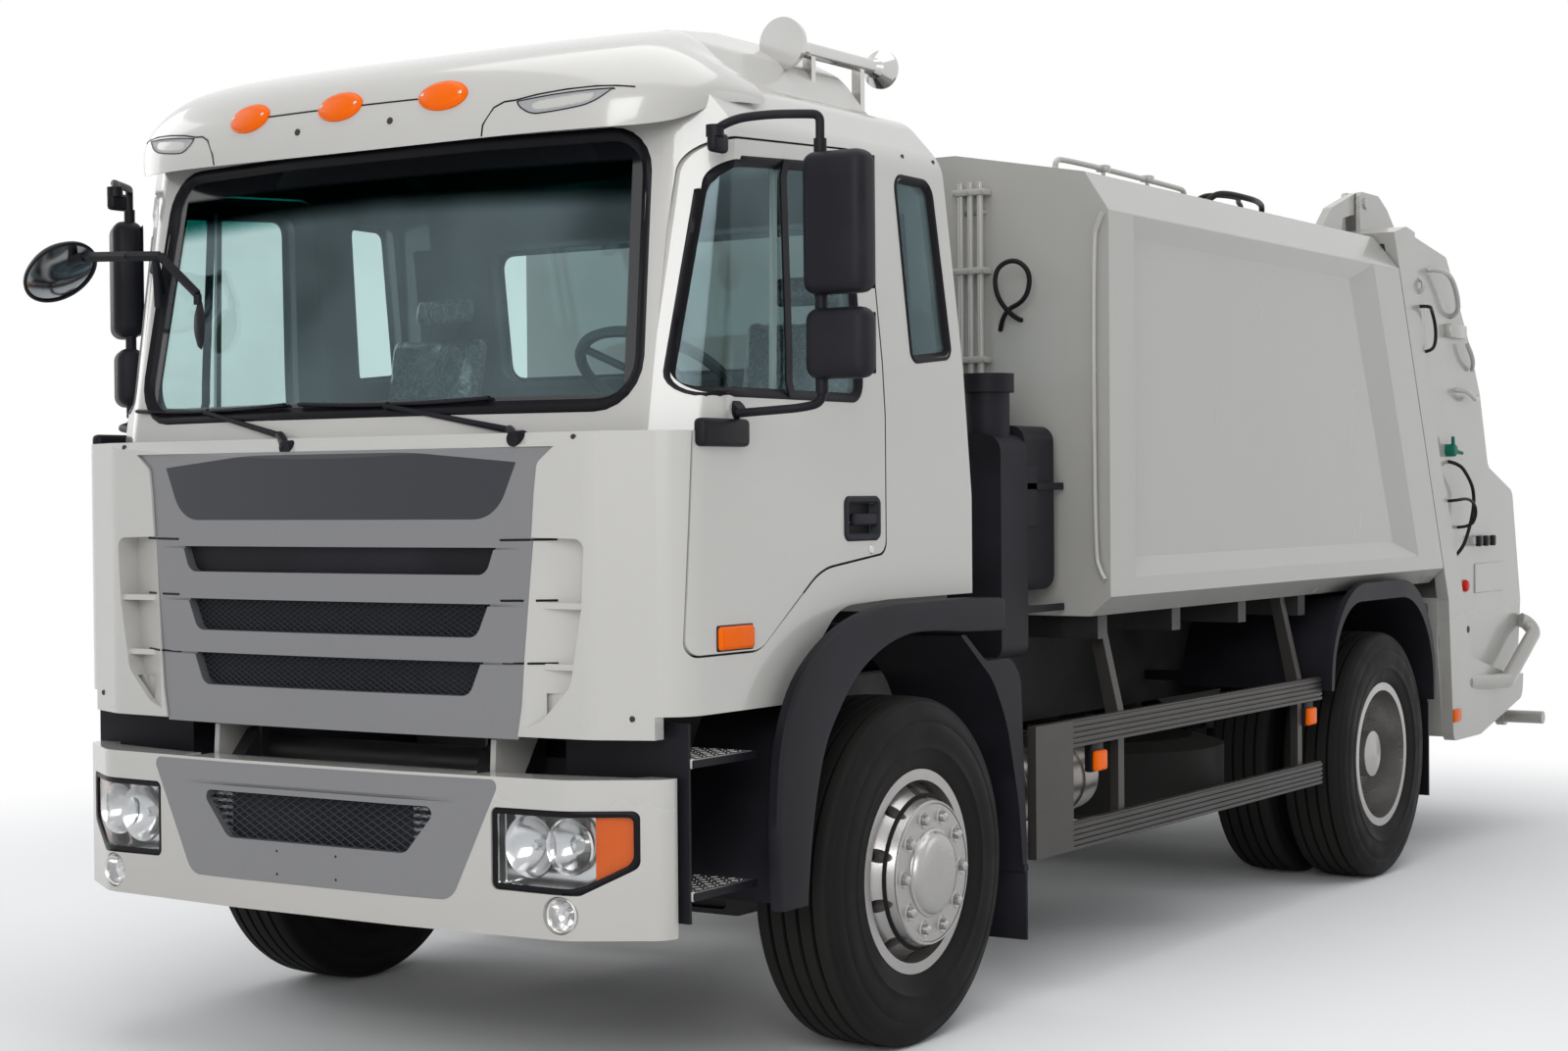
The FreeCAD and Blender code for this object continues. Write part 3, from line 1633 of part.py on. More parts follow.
def build_horns():
    x = front_x + 115
    z = 2938.0
    section = [
        (0, 0),
        (0, 78),
        (-24, 74),
        (-44, 34),
        (-120, 24),
        (-500, 24),
        (-530, 32),
        (-562, 60),
        (-574, 60),
        (-574, 0),
    ]
    corners = [V(x + p[0], 0, z + p[1]) for p in section]
    face = Part.Face(Part.makePolygon(corners + [corners[0]]))
    horn = face.revolve(V(x, 0, z), V(1, 0, 0), 360)
    horn.translate(V(0, horn_y, 0))
    feet = [box(fx - 12, fx + 12, horn_y - 16, horn_y + 16, 2760, z - 10) for fx in (x - 150, x - 430)]
    save("horns", [joined([horn] + feet).cut(outer_cab)])


def build_front_mirror():
    dish_centre = V(front_x + 1140, -cab_half - 10, 2310)
    arm = bent_tube(
        [
            V(front_x + 900, -cab_half + 180, 2130),
            V(front_x + 1000, -cab_half + 160, 2190),
            V(front_x + 1095, -cab_half + 110, 2290),
            dish_centre + V(-16, 40, 10),
        ],
        11,
        40,
    )
    dish = oval_plate(120, 95, 50, 30)
    dish.translate(V(-40, 0, 0))
    dish.rotate(V(0, 0, 0), V(0, 0, 1), -28)
    dish.translate(dish_centre)
    save("front_mirror", [joined([arm, dish]).cut(outer_cab)])


def build_wipers():
    solids = []
    for pivot_y, tip in ((-150.0, 720.0), (620.0, 720.0)):
        base = V(cab_front - 60, pivot_y, 1775)
        arm_end = V(cab_front - 72, pivot_y - 560, 1868)
        blade_a = V(cab_front - 76, pivot_y - 330, 1842)
        blade_b = V(cab_front - 84, pivot_y - 760, 1880)
        pieces = [
            rod(base, base + V(-60, 0, -10), 16),
            rod(base, arm_end, 8),
            rod(blade_a, blade_b, 9),
        ]
        solids.append(joined(pieces).cut(outer_cab))
    save("wipers", solids)


# Cab interior: seats on their boxes, dashboard, steering column and wheel.
seat_width = 480.0


def build_interior():
    seats = []
    floor = cab_rear_floor_z + cab_wall
    for y0, y1 in ((room_half - seat_width, room_half), (-room_half, seat_width - room_half)):
        cushion = slab(
            "xz",
            [
                (front_x + 430, floor + 270, 40),
                (front_x + 430, floor + 390, 60),
                (front_x - 60, floor + 370, 60),
                (front_x - 60, floor + 250, 40),
            ],
            y0,
            y1,
        )
        back = slab(
            "xz",
            [
                (front_x + 30, floor + 380, 30),
                (front_x - 90, floor + 940, 40),
                (front_x - 190, floor + 920, 40),
                (front_x - 70, floor + 320, 30),
            ],
            y0 + 10,
            y1 - 10,
        )
        pedestal = box(front_x + 10, front_x + 330, y0 + 80, y1 - 80, floor, floor + 300)
        seats.append(joined([cushion, back, pedestal]))
    save("seats", seats)
    dash = slab(
        "xz",
        [
            (cab_front - 200, 1500),
            (cab_front - 200, 1760, 40),
            (front_x + 790, 1800, 60),
            (front_x + 740, 1560, 60),
            (front_x + 860, 1480),
        ],
        -room_half,
        room_half,
    )
    dash = dash.common(cab_volume(cab_wall + 4, cab_low_z))
    leg = box(cab_front - 260, cab_front - 220, -800, 800, cab_floor_z + cab_wall, 1500)
    return joined([dash, leg])


wheel_centre = V(front_x + 640.0, room_half - seat_width / 2, 1940.0)
wheel_lean = 32.0
wheel_ring_radius = 225.0
column_radius = 22.0


ring_bar_radius = 16.0


def build_steering_wheel():
    ring_section = []
    for i in range(8):
        turn = math.radians(22.5 + 45 * i)
        ring_section.append((wheel_ring_radius + ring_bar_radius * math.cos(turn), ring_bar_radius * math.sin(turn)))
    ring = spin_z(ring_section, 0, 0)
    hub = Part.makeCylinder(52, 40, V(0, 0, -30))
    spokes = []
    for i in range(4):
        angle = math.radians(45 + 90 * i)
        tip = V(wheel_ring_radius * math.cos(angle), wheel_ring_radius * math.sin(angle), 0)
        spokes.append(rod(V(0, 0, -14), tip, 11))
    wheel = joined([ring, hub] + spokes)
    wheel.rotate(V(0, 0, 0), V(0, 1, 0), -wheel_lean)
    wheel.translate(wheel_centre)
    save("steering_wheel", [wheel])
    column = Part.makeCylinder(42, 330, V(0, 0, -361))
    column.rotate(V(0, 0, 0), V(0, 1, 0), -wheel_lean)
    column.translate(wheel_centre)
    return column


# Container: floor on a subframe, two recessed sides, crowned roof and front wall.
def seam_x(z, offset=0.0):
    """The slanted joint between container and tailgate at height z."""
    return seam_top_x - (seam_top_z - z) * seam_slope - offset


def forward_of_seam(offset):
    low = body_floor_z - 400
    high = seam_top_z + 400
    return slab(
        "xz",
        [
            (body_front + 10, low),
            (body_front + 10, high),
            (seam_x(high, offset), high),
            (seam_x(low, offset), low),
        ],
        -1400,
        1400,
    )


half_body = body_width / 2
far_rear = seam_x(body_floor_z) - 100


def section_outer():
    return mirrored_view(
        [
            (half_body - 75, body_floor_z),
            (half_body, body_side_low_z),
            (half_body, body_side_high_z),
            (half_body - body_shoulder_in, body_shoulder_z),
            (650, body_roof_z),
        ]
    )


def build_container():
    keep = forward_of_seam(0)
    wall_back = body_front - body_wall
    side_section = [
        (half_body - 75, body_floor_z),
        (half_body, body_side_low_z),
        (half_body, body_side_high_z),
        (half_body - body_wall, body_side_high_z),
        (half_body - body_wall, body_side_low_z),
        (half_body - 75, body_side_low_z),
    ]
    side = slab("yz", side_section, far_rear, wall_back).common(keep)
    recess_high = body_side_high_z - 4
    recess_low = body_side_low_z + 59
    recess_front = body_front - recess_margin
    recess_rear_high = seam_x(recess_high) + 300
    recess_rear_low = seam_x(recess_low) + 290
    slope = 68.0
    outer_wire = outline(
        "xz",
        [
            (recess_front, recess_low),
            (recess_front, recess_high),
            (recess_rear_high, recess_high),
            (recess_rear_low, recess_low),
        ],
        half_body + 0.5,
    )
    inner_wire = outline(
        "xz",
        [
            (recess_front - 8, recess_low + slope),
            (recess_front - 8, recess_high - slope),
            (recess_rear_high + 180, recess_high - slope),
            (recess_rear_low + 215, recess_low + slope),
        ],
        half_body - recess_depth,
    )
    side = side.cut(Part.makeLoft([outer_wire, inner_wire], True, True))
    for hand in (1, -1):
        save(side_name("body_side", hand), [on_side(side, hand)])
    roof_out = section_outer()[2:8]
    t = body_wall
    roof_in = [
        (-half_body + 60, body_side_high_z),
        (-half_body + body_shoulder_in + 40, body_shoulder_z - t),
        (-640, body_roof_z - t),
        (640, body_roof_z - t),
        (half_body - body_shoulder_in - 40, body_shoulder_z - t),
        (half_body - 60, body_side_high_z),
    ]
    roof = slab("yz", roof_out + roof_in, far_rear, wall_back).common(keep)
    ear_base = body_roof_z - 95
    ear = slab(
        "xz",
        [
            (hinge_x + 480, ear_base),
            (hinge_x + 330, body_roof_z + 30, 60),
            (hinge_x + 40, hinge_z + 44, 40),
            (hinge_x - 44, hinge_z + 44, 40),
            (hinge_x - 44, hinge_z - 44, 40),
            (hinge_x + 60, hinge_z - 50),
            (hinge_x + 200, body_roof_z - 2),
            (hinge_x + 225, ear_base),
        ],
        hinge_ear_y - 18,
        hinge_ear_y + 18,
    )
    ears = [ear]
    hinge_pin = rod(
        V(hinge_x, hinge_ear_y - 50, hinge_z), V(hinge_x, hinge_ear_y + 50, hinge_z), hinge_pin_radius
    )
    inner_section = slab("yz", roof_in, far_rear, wall_back)
    ears = [e.cut(inner_section) for e in ears + [hinge_pin]]
    ears = ears + [mirrored(e) for e in ears]
    save("body_roof", [joined([roof] + ears)])
    save("body_front_wall", [slab("yz", section_outer(), wall_back, body_front)])


def build_body_floor():
    keep = forward_of_seam(0)
    plate = slab(
        "yz",
        [
            (-half_body + 75, body_floor_z),
            (-half_body + 75, body_floor_z + floor_thickness),
            (half_body - 75, body_floor_z + floor_thickness),
            (half_body - 75, body_floor_z),
        ],
        far_rear,
        body_front - body_wall,
    ).common(keep)
    save("body_floor", [plate])


ejector_x = body_front - 420.0


def build_ejector():
    y = half_body - body_wall - 12
    z0 = body_side_low_z + 12
    plate = slab(
        "xz",
        [
            (ejector_x, z0),
            (ejector_x - 40, z0),
            (ejector_x - 60, 1900, 100),
            (ejector_x + 160, body_side_high_z - 20),
            (ejector_x + 200, body_side_high_z - 20),
            (ejector_x - 10, 1900, 100),
        ],
        -y,
        y,
    )
    skids = []
    for side in (1, -1):
        skid = box(
            ejector_x - 30,
            ejector_x + 300,
            side * 500 - 40,
            side * 500 + 40,
            body_floor_z + floor_thickness + seat_gap,
            z0 + 60,
        )
        skids.append(skid)
    brace = box(ejector_x - 20, ejector_x + 300, -540, 540, z0 + 20, z0 + 60)
    save("ejector_plate", [joined([plate, brace] + skids)])


# Tailgate: two side plates and the shell between them, hung from the roof ears.
def tail_outline():
    g = tail_gap
    s = tail_x
    return [
        (seam_x(seam_top_z - 30, g), seam_top_z - 30),
        (s - 330, seam_top_z + 5, 60),
        (s - 935, seam_top_z - 80, 40),
        (s - 1266, 2255, 150),
        (s - 1400, 2045, 150),
        (s - 1515, 1715, 60),
        (s - 1880, 1600, 60),
        (s - 2000, 1080, 60),
        (s - 1930, 620, 60),
        (s - 1300, 492, 60),
        (s - 925, 492, 40),
        (seam_x(1120, g), 1120, 20),
    ]


def build_tail_sides():
    y_in = half_body - tail_wall
    side = slab("xz", tail_outline(), y_in, half_body)
    flange = [(-4160, 2640), (-4289, 2184), (-4506, 1685), (-4737, 1244), (-4905, 850, 60)]
    rear = [(-5500, 730, 60), (-6100, 730), (-6100, 1900), (-5300, 2800), (-4160, 2800)]
    set_back = slab("xz", [(front_x + p[0],) + p[1:] for p in flange + rear], half_body - tail_inset, half_body + 5)
    guard = bent_tube(
        [
            V(front_x - 4900, half_body - 25, 735),
            V(front_x - 5290, half_body + 40, 720),
            V(front_x - 5735, half_body + 46, 950),
            V(front_x - 5670, half_body - 16, 985),
        ],
        guard_tube_radius,
        50,
    )
    side = side.cut(set_back)
    guides = []
    for offset in (-1, 1):
        centre = guide_line_offset + offset * (slide_shoe / 2 + seat_gap + 15)
        guides.append(
            slab(
                "xz",
                [
                    along_seam(250, centre - 15),
                    along_seam(250, centre + 15),
                    along_seam(1380, centre + 15),
                    along_seam(1380, centre - 15),
                ],
                y_in - 30,
                y_in,
            )
        )
    side = joined([side, guard] + guides)
    for hand in (1, -1):
        save(side_name("tail_side", hand), [on_side(side, hand)])


guide_line_offset = 260.0
guard_tube_radius = 34.0
slide_shoe = 70.0
seam_length = math.hypot(1.0, seam_slope)
seam_dir = (-seam_slope / seam_length, -1.0 / seam_length)
seam_normal = (-1.0 / seam_length, seam_slope / seam_length)


def along_seam(down, behind):
    """A point measured down the seam from its top and straight behind it."""
    x = seam_top_x + seam_dir[0] * down + seam_normal[0] * behind
    z = seam_top_z + seam_dir[1] * down + seam_normal[1] * behind
    return (x, z)


def build_tail_shell():
    y = half_body - tail_wall
    s = tail_x
    t = 45.0
    roof = slab(
        "xz",
        [
            (seam_x(seam_top_z - 30, tail_gap), seam_top_z - 30),
            (s - 330, seam_top_z + 5, 60),
            (s - 935, seam_top_z - 80, 40),
            (s - 1266, 2255, 150),
            (s - 1400, 2045),
            (s - 1400 + t, 2030),
            (s - 1266 + t, 2240, 110),
            (s - 910, seam_top_z - 80 - t, 20),
            (s - 330, seam_top_z + 5 - t, 60),
            (seam_x(seam_top_z - 30 - t, tail_gap), seam_top_z - 30 - t),
        ],
        -y,
        y,
    )
    bx = blade_pivot_x
    bz = blade_pivot_z
    r = blade_sweep_radius
    start_angle = math.radians(-84.5)
    end_angle = math.radians(-158)
    mid_angle = (start_angle + end_angle) / 2

    def on_sweep(angle, radius):
        return V(bx + radius * math.cos(angle), -y, bz + radius * math.sin(angle))

    a = on_sweep(start_angle, r)
    b = on_sweep(end_angle, r)
    sill_front = V(b.x, -y, b.z)
    sill_rear = V(s - 1985, -y, 1065)
    low_rear = V(s - 1915, -y, 640)
    low_front = V(s - 1300, -y, 510)
    toe = V(s - 925, -y, 510)
    knee = V(seam_x(1130, tail_gap) + 11, -y, 900)
    lip = V(seam_x(1130, tail_gap), -y, 1130)
    lip_back = V(seam_x(1130, tail_gap) - 22, -y, 1130)
    knee_back = V(seam_x(1130, tail_gap) - 17, -y, 930)
    edges = [
        Part.LineSegment(lip, lip_back).toShape(),
        Part.LineSegment(lip_back, knee_back).toShape(),
        Part.LineSegment(knee_back, a).toShape(),
        Part.Arc(a, on_sweep(mid_angle, r), b).toShape(),
        Part.LineSegment(b, sill_rear).toShape(),
        Part.LineSegment(sill_rear, low_rear).toShape(),
        Part.LineSegment(low_rear, low_front).toShape(),
        Part.LineSegment(low_front, toe).toShape(),
        Part.LineSegment(toe, knee).toShape(),
        Part.LineSegment(knee, lip).toShape(),
    ]
    hopper = Part.Face(Part.Wire(edges)).extrude(V(0, 2 * y, 0))
    under = slab(
        "xz",
        [
            (s - 1290, 400),
            (s - 1290, 560, 20),
            (s - 1475, 638, 60),
            (s - 1710, 830, 60),
            (s - 1815, 985, 60),
            (s - 1930, 1010, 20),
            (s - 1868, 400),
        ],
        -y + 60,
        y - 60,
    )
    hopper = hopper.cut(under)
    lug = slab(
        "xz",
        [
            (hinge_x + 62, 2690),
            (hinge_x + 62, hinge_z + 46, 24),
            (hinge_x - 160, hinge_z + 46, 70),
            (hinge_x - 270, hinge_z - 5, 60),
            (hinge_x - 500, 2648),
            (hinge_x - 490, 2625),
            (hinge_x - 250, 2660),
        ],
        hinge_ear_y - 42,
        hinge_ear_y - 24,
    )
    bore = rod(
        V(hinge_x, hinge_ear_y - 60, hinge_z),
        V(hinge_x, hinge_ear_y + 80, hinge_z),
        hinge_pin_radius + bearing_gap,
    )
    lug = lug.cut(bore)
    outer_lug = lug.translated(V(0, 66, 0))
    hinge_arms = both_sides(lug) + both_sides(outer_lug)
    lift_lugs = []
    for y_lug in (-700.0, 700.0):
        lug = slab(
            "xz",
            [
                (s - 1960, 1000),
                (s - 1900, 1060),
                (lift_pivot_x + 10, lift_pivot_z + 30, 20),
                (lift_pivot_x - 30, lift_pivot_z + 30, 20),
                (lift_pivot_x - 30, lift_pivot_z - 30, 20),
            ],
            y_lug - 15,
            y_lug + 15,
        )
        pin = rod(
            V(lift_pivot_x, y_lug - 45, lift_pivot_z), V(lift_pivot_x, y_lug + 45, lift_pivot_z), 16
        )
        lift_lugs.extend([lug, pin])
    save("tail_roof", [joined([roof] + hinge_arms)])
    save("hopper", [joined([hopper] + lift_lugs)])


# Packer: a slide on guides down the seam, and the blade hinged at its foot.
def build_packer():
    half = packer_half_width
    down = (seam_top_z - blade_pivot_z) * seam_length
    pivot_behind = (blade_pivot_x - seam_x(blade_pivot_z)) * seam_normal[0]
    foot = 1330.0
    plate = slab(
        "xz",
        [
            along_seam(620, guide_line_offset - 30),
            along_seam(620, guide_line_offset + 30),
            along_seam(foot + 120, guide_line_offset + 30),
            along_seam(foot + 120, guide_line_offset - 30),
        ],
        -half,
        half,
    )
    shoes = []
    for side in (1, -1):
        y0, y1 = sorted((side * half, side * (half_body - tail_wall - 2)))
        for d in (640, 1080):
            shoes.append(
                slab(
                    "xz",
                    [
                        along_seam(d, guide_line_offset - slide_shoe / 2),
                        along_seam(d, guide_line_offset + slide_shoe / 2),
                        along_seam(d + 160, guide_line_offset + slide_shoe / 2),
                        along_seam(d + 160, guide_line_offset - slide_shoe / 2),
                    ],
                    y0,
                    y1,
                )
            )
    ears = []
    for y in (-900.0, -300.0, 300.0, 900.0):
        ear = slab(
            "xz",
            [
                along_seam(foot, guide_line_offset - 30),
                along_seam(foot, guide_line_offset + 60),
                (blade_pivot_x - 50, blade_pivot_z + 30, 20),
                (blade_pivot_x - 50, blade_pivot_z - 45, 30),
                (blade_pivot_x + 50, blade_pivot_z - 45, 30),
            ],
            y - 16,
            y + 16,
        )
        ears.append(ear)
    bore = rod(V(blade_pivot_x, -1000, blade_pivot_z), V(blade_pivot_x, 1000, blade_pivot_z), 26 + bearing_gap)
    slide = joined([plate] + shoes + ears).cut(bore)
    save("packer_slide", [slide])
    blade = slab(
        "xz",
        [
            (blade_pivot_x + 34, blade_pivot_z - 60, 10),
            (blade_pivot_x - 34, blade_pivot_z - 60, 10),
            (blade_pivot_x - 60, blade_pivot_z - blade_length * 0.6, 150),
            (blade_pivot_x - 45, blade_pivot_z - blade_length, 10),
            (blade_pivot_x - 5, blade_pivot_z - blade_length, 10),
            (blade_pivot_x - 5, blade_pivot_z - blade_length * 0.6, 150),
        ],
        -half,
        half,
    )
    pins = []
    for y in (-900.0, -300.0, 300.0, 900.0):
        for step in (-1, 1):
            centre = y + step * 42
            pins.append(
                slab(
                    "xz",
                    [
                        (blade_pivot_x - 34, blade_pivot_z + 34, 30),
                        (blade_pivot_x - 34, blade_pivot_z - 70),
                        (blade_pivot_x + 34, blade_pivot_z - 70),
                        (blade_pivot_x + 34, blade_pivot_z + 34, 30),
                    ],
                    centre - 18,
                    centre + 18,
                )
            )
        pins.append(rod(V(blade_pivot_x, y - 60, blade_pivot_z), V(blade_pivot_x, y + 60, blade_pivot_z), 26))
    save("packer_blade", [joined([blade] + pins)])


lift_reach = 180.0


def build_bin_lift():
    arms = []
    x = lift_pivot_x
    z = lift_pivot_z
    for y in (-700.0, 700.0):
        for step in (-1, 1):
            centre = y + step * 30
            arm = slab(
                "xz",
                [
                    (x + 26, z + 30, 24),
                    (x + 26, z - 60),
                    (x - 14, z - lift_bar_drop - 36, 20),
                    (x - 76, z - lift_bar_drop - 36, 20),
                    (x - 60, z - 100, 60),
                    (x - 26, z + 30, 24),
                ],
                centre - 9,
                centre + 9,
            )
            bore = rod(V(x, centre - 20, z), V(x, centre + 20, z), 16 + bearing_gap)
            arms.append(arm.cut(bore))
    bar_x = x - 45
    bar_z = z - lift_bar_drop
    bar = rod(V(bar_x, -lift_bar_end_y, bar_z), V(bar_x, lift_bar_end_y, bar_z), lift_bar_radius)
    collar = rod(
        V(bar_x, lift_collar_y, bar_z),
        V(bar_x, lift_collar_y + lift_collar_width, bar_z),
        lift_bar_radius + 14,
    )
    upper_bar = box(x - 62, x - 32, -1040, 1040, z - 190, z - 110)
    hooks = []
    for i in range(9):
        y = -960 + i * 240
        hooks.append(
            slab(
                "xz",
                [
                    (x - 62, z - 190),
                    (x - 62, z - 120),
                    (x - lift_reach + 20, z - 50, 12),
                    (x - lift_reach, z - 90, 10),
                    (x - 120, z - 190, 20),
                ],
                y - 12,
                y + 12,
            )
        )
    save("bin_lift", [joined(arms + [bar, upper_bar] + both_sides(collar) + hooks)])


build_wheels()
build_front_axle()
build_knuckles()
build_rear_axle()
build_springs()
build_frame()
build_drive()
build_tanks()
build_spare_wheel()
build_exhaust()
build_side_guards()
build_bumper()
build_steps()
build_front_fenders()
build_rear_fenders()
build_intake()
build_pipes()
build_cab_shell()
glass_sheet = build_cab_glass()
build_doors(glass_sheet)
build_mirrors()
build_grille()
build_visor()
build_horns()
build_front_mirror()
build_wipers()
dash_solid = build_interior()
column_solid = build_steering_wheel()
save("dashboard", [joined([dash_solid, column_solid])])
build_container()
build_body_floor()
build_ejector()
build_tail_sides()
build_tail_shell()
build_packer()
build_bin_lift()
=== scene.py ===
import json
import math

import bmesh
import bpy
from mathutils import Matrix, Vector
from mathutils.bvhtree import BVHTree

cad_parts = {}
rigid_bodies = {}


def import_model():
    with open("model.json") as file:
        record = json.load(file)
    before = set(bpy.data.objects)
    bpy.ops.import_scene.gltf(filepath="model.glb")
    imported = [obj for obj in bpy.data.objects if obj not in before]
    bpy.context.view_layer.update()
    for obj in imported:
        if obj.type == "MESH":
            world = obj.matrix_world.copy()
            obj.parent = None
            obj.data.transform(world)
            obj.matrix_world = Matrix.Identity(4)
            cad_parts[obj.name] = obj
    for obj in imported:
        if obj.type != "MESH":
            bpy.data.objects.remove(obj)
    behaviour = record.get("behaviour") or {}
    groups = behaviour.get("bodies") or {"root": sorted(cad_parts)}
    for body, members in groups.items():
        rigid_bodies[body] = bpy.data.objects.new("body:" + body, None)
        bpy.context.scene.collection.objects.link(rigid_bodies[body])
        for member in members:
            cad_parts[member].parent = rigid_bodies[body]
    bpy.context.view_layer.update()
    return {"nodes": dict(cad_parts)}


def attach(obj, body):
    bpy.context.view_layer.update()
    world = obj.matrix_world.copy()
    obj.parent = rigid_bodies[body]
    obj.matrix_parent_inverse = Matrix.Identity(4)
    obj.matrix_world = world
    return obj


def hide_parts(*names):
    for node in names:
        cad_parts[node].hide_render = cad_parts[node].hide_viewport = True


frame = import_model()
scene = bpy.context.scene

# Camera: stands off the truck's left front corner at a walker's eye height, as in the
# photograph, with a long lens. The small shift only frames the truck as it is framed there.
lens = bpy.data.cameras.new("camera")
lens.lens = 58.318
lens.sensor_width = 36
lens.shift_x = -0.01725
lens.shift_y = 0.00754
lens.clip_end = 100
camera = bpy.data.objects.new("camera", lens)
camera.matrix_world = Matrix(
    (
        (-0.539389, -0.018556, 0.841852, 8.71763),
        (0.842018, -0.002267, 0.539445, 4.90891),
        (-0.008102, 0.999825, 0.016847, 1.61089),
        (0, 0, 0, 1),
    )
)
scene.collection.objects.link(camera)
scene.camera = camera
scene.view_settings.view_transform = "Standard"


# Loose cables: a black rubber-covered cable that stands in a loop from the body's front wall,
# behind the cab, and a short white hose at the left rear fender.
class Socket:
    """A shader socket. A sum written with it adds the Math nodes for it."""

    def __init__(self, finish, link):
        self.finish = finish
        self.link = link

    def maths(self, operation, first, second):
        return self.finish.node("ShaderNodeMath", {"operation": operation}, {0: first, 1: second})

    def __add__(self, other):
        return self.maths("ADD", self, other)

    def __sub__(self, other):
        return self.maths("SUBTRACT", self, other)

    def __rsub__(self, other):
        return self.maths("SUBTRACT", other, self)

    def __mul__(self, other):
        return self.maths("MULTIPLY", self, other)

    def __pow__(self, other):
        return self.maths("POWER", self, other)

    def __gt__(self, other):
        return self.maths("GREATER_THAN", self, other)

    def __lt__(self, other):
        return self.maths("LESS_THAN", self, other)

    __radd__ = __add__
    __rmul__ = __mul__


class Finish:
    """One material, put together node by node."""

    def __init__(self, name):
        self.material = bpy.data.materials.new(name)
        self.material.use_nodes = True
        self.tree = self.material.node_tree
        self.tree.nodes.clear()
        self.place = self.node("ShaderNodeTexCoord", out="Object")

    def node(self, kind, settings=None, sockets=None, out=0):
        made = self.tree.nodes.new(kind)
        for key, value in (settings or {}).items():
            if key == "stops":
                for stop, (position, colour) in zip(made.color_ramp.elements, value):
                    stop.position = position
                    stop.color = colour
            else:
                setattr(made, key, value)
        for key, value in (sockets or {}).items():
            if isinstance(value, Socket):
                self.tree.links.new(value.link, made.inputs[key])
            else:
                made.inputs[key].default_value = value
        return Socket(self, made.outputs[out])

    def scaled(self, x, y, z):
        return self.node("ShaderNodeMapping", sockets={"Vector": self.place, "Scale": (x, y, z)})

    def noise(self, scale, detail=2.0, place=None):
        where = {"Vector": place or self.place, "Scale": scale, "Detail": detail}
        return self.node("ShaderNodeTexNoise", sockets=where)

    def apart(self):
        """The place's x, y and z as three sockets."""
        split = self.tree.nodes.new("ShaderNodeSeparateXYZ")
        self.tree.links.new(self.place.link, split.inputs[0])
        return [Socket(self, out) for out in split.outputs]

    def ramp(self, value, low, high, at_low=0.0, at_high=1.0):
        """A smooth step from at_low to at_high while value goes from low to high."""
        ends = {0: value, 1: low, 2: high, 3: at_low, 4: at_high}
        return self.node("ShaderNodeMapRange", {"interpolation_type": "SMOOTHSTEP"}, ends)

    def mixed(self, share, first, second, blend="MIX"):
        ends = {0: share, 6: first, 7: second}
        return self.node("ShaderNodeMix", {"data_type": "RGBA", "blend_type": blend}, ends, out=2)

    def bump(self, height, strength, distance, under=None):
        ends = {"Height": height, "Strength": strength, "Distance": distance}
        if under:
            ends["Normal"] = under
        return self.node("ShaderNodeBump", sockets=ends)

    def shader(self, **values):
        named = {key.replace("_", " "): value for key, value in values.items()}
        return self.node("ShaderNodeBsdfPrincipled", sockets=named)

    def done(self, shader):
        end = self.tree.nodes.new("ShaderNodeOutputMaterial")
        self.tree.links.new(shader.link, end.inputs[0])
        return self.material


def colour(red, green, blue):
    return (red, green, blue, 1.0)


def linked(name, data, material, body):
    """A new piece in the scene, with its finish, riding on its body."""
    made = bpy.data.objects.new(name, data)
    scene.collection.objects.link(made)
    if material:
        data.materials.append(material)
    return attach(made, body)


def rubber(name, tone, roughness, grain):
    finish = Finish(name)
    patches = finish.noise(6.0, 4.0)
    fine = finish.noise(grain, 3.0)
    shade = finish.mixed(patches, colour(*[c * 0.75 for c in tone]), colour(*[c * 1.35 for c in tone]))
    worn = finish.ramp(patches, 0.3, 0.75, roughness - 0.07, roughness + 0.1)
    return finish.done(
        finish.shader(
            Base_Color=shade, Roughness=worn, Normal=finish.bump(fine, 0.25, 0.0006), Specular_IOR_Level=0.1
        )
    )


cable_black = rubber("cable_black", (0.012, 0.012, 0.013), 0.42, 900)
cable_white = rubber("cable_white", (0.62, 0.61, 0.57), 0.45, 900)


def curve_line(name, points, radius, material, body):
    """A round tube or wire on one smooth open line through the bends of its route."""
    line = bpy.data.curves.new(name, "CURVE")
    line.dimensions = "3D"
    line.bevel_depth = 1.0
    line.bevel_resolution = 4
    line.use_fill_caps = True
    spline = line.splines.new("NURBS")
    spline.points.add(len(points) - 1)
    for point, place in zip(spline.points, points):
        point.co = (*place, 1.0)
        point.radius = radius
    spline.order_u = 3
    spline.use_endpoint_u = True
    spline.resolution_u = 10
    return linked(name, line, material, body)


def line_length(piece):
    """How long the curve's own line is, without its thickness."""
    depth = piece.data.bevel_depth
    piece.data.bevel_depth = 0
    bpy.context.view_layer.update()
    copied = bpy.data.meshes.new_from_object(piece.evaluated_get(bpy.context.evaluated_depsgraph_get()))
    corners = [v.co.copy() for v in copied.vertices]
    piece.data.bevel_depth = depth
    bpy.data.meshes.remove(copied)
    return sum((b - a).length for a, b in zip(corners, corners[1:]))


def laid_cord(name, route, thickness, material, body):
    """A cable or hose along its route. The length of that route is worked out but not kept."""
    cord = curve_line(name, route, thickness / 2, material, body)
    line_length(cord)


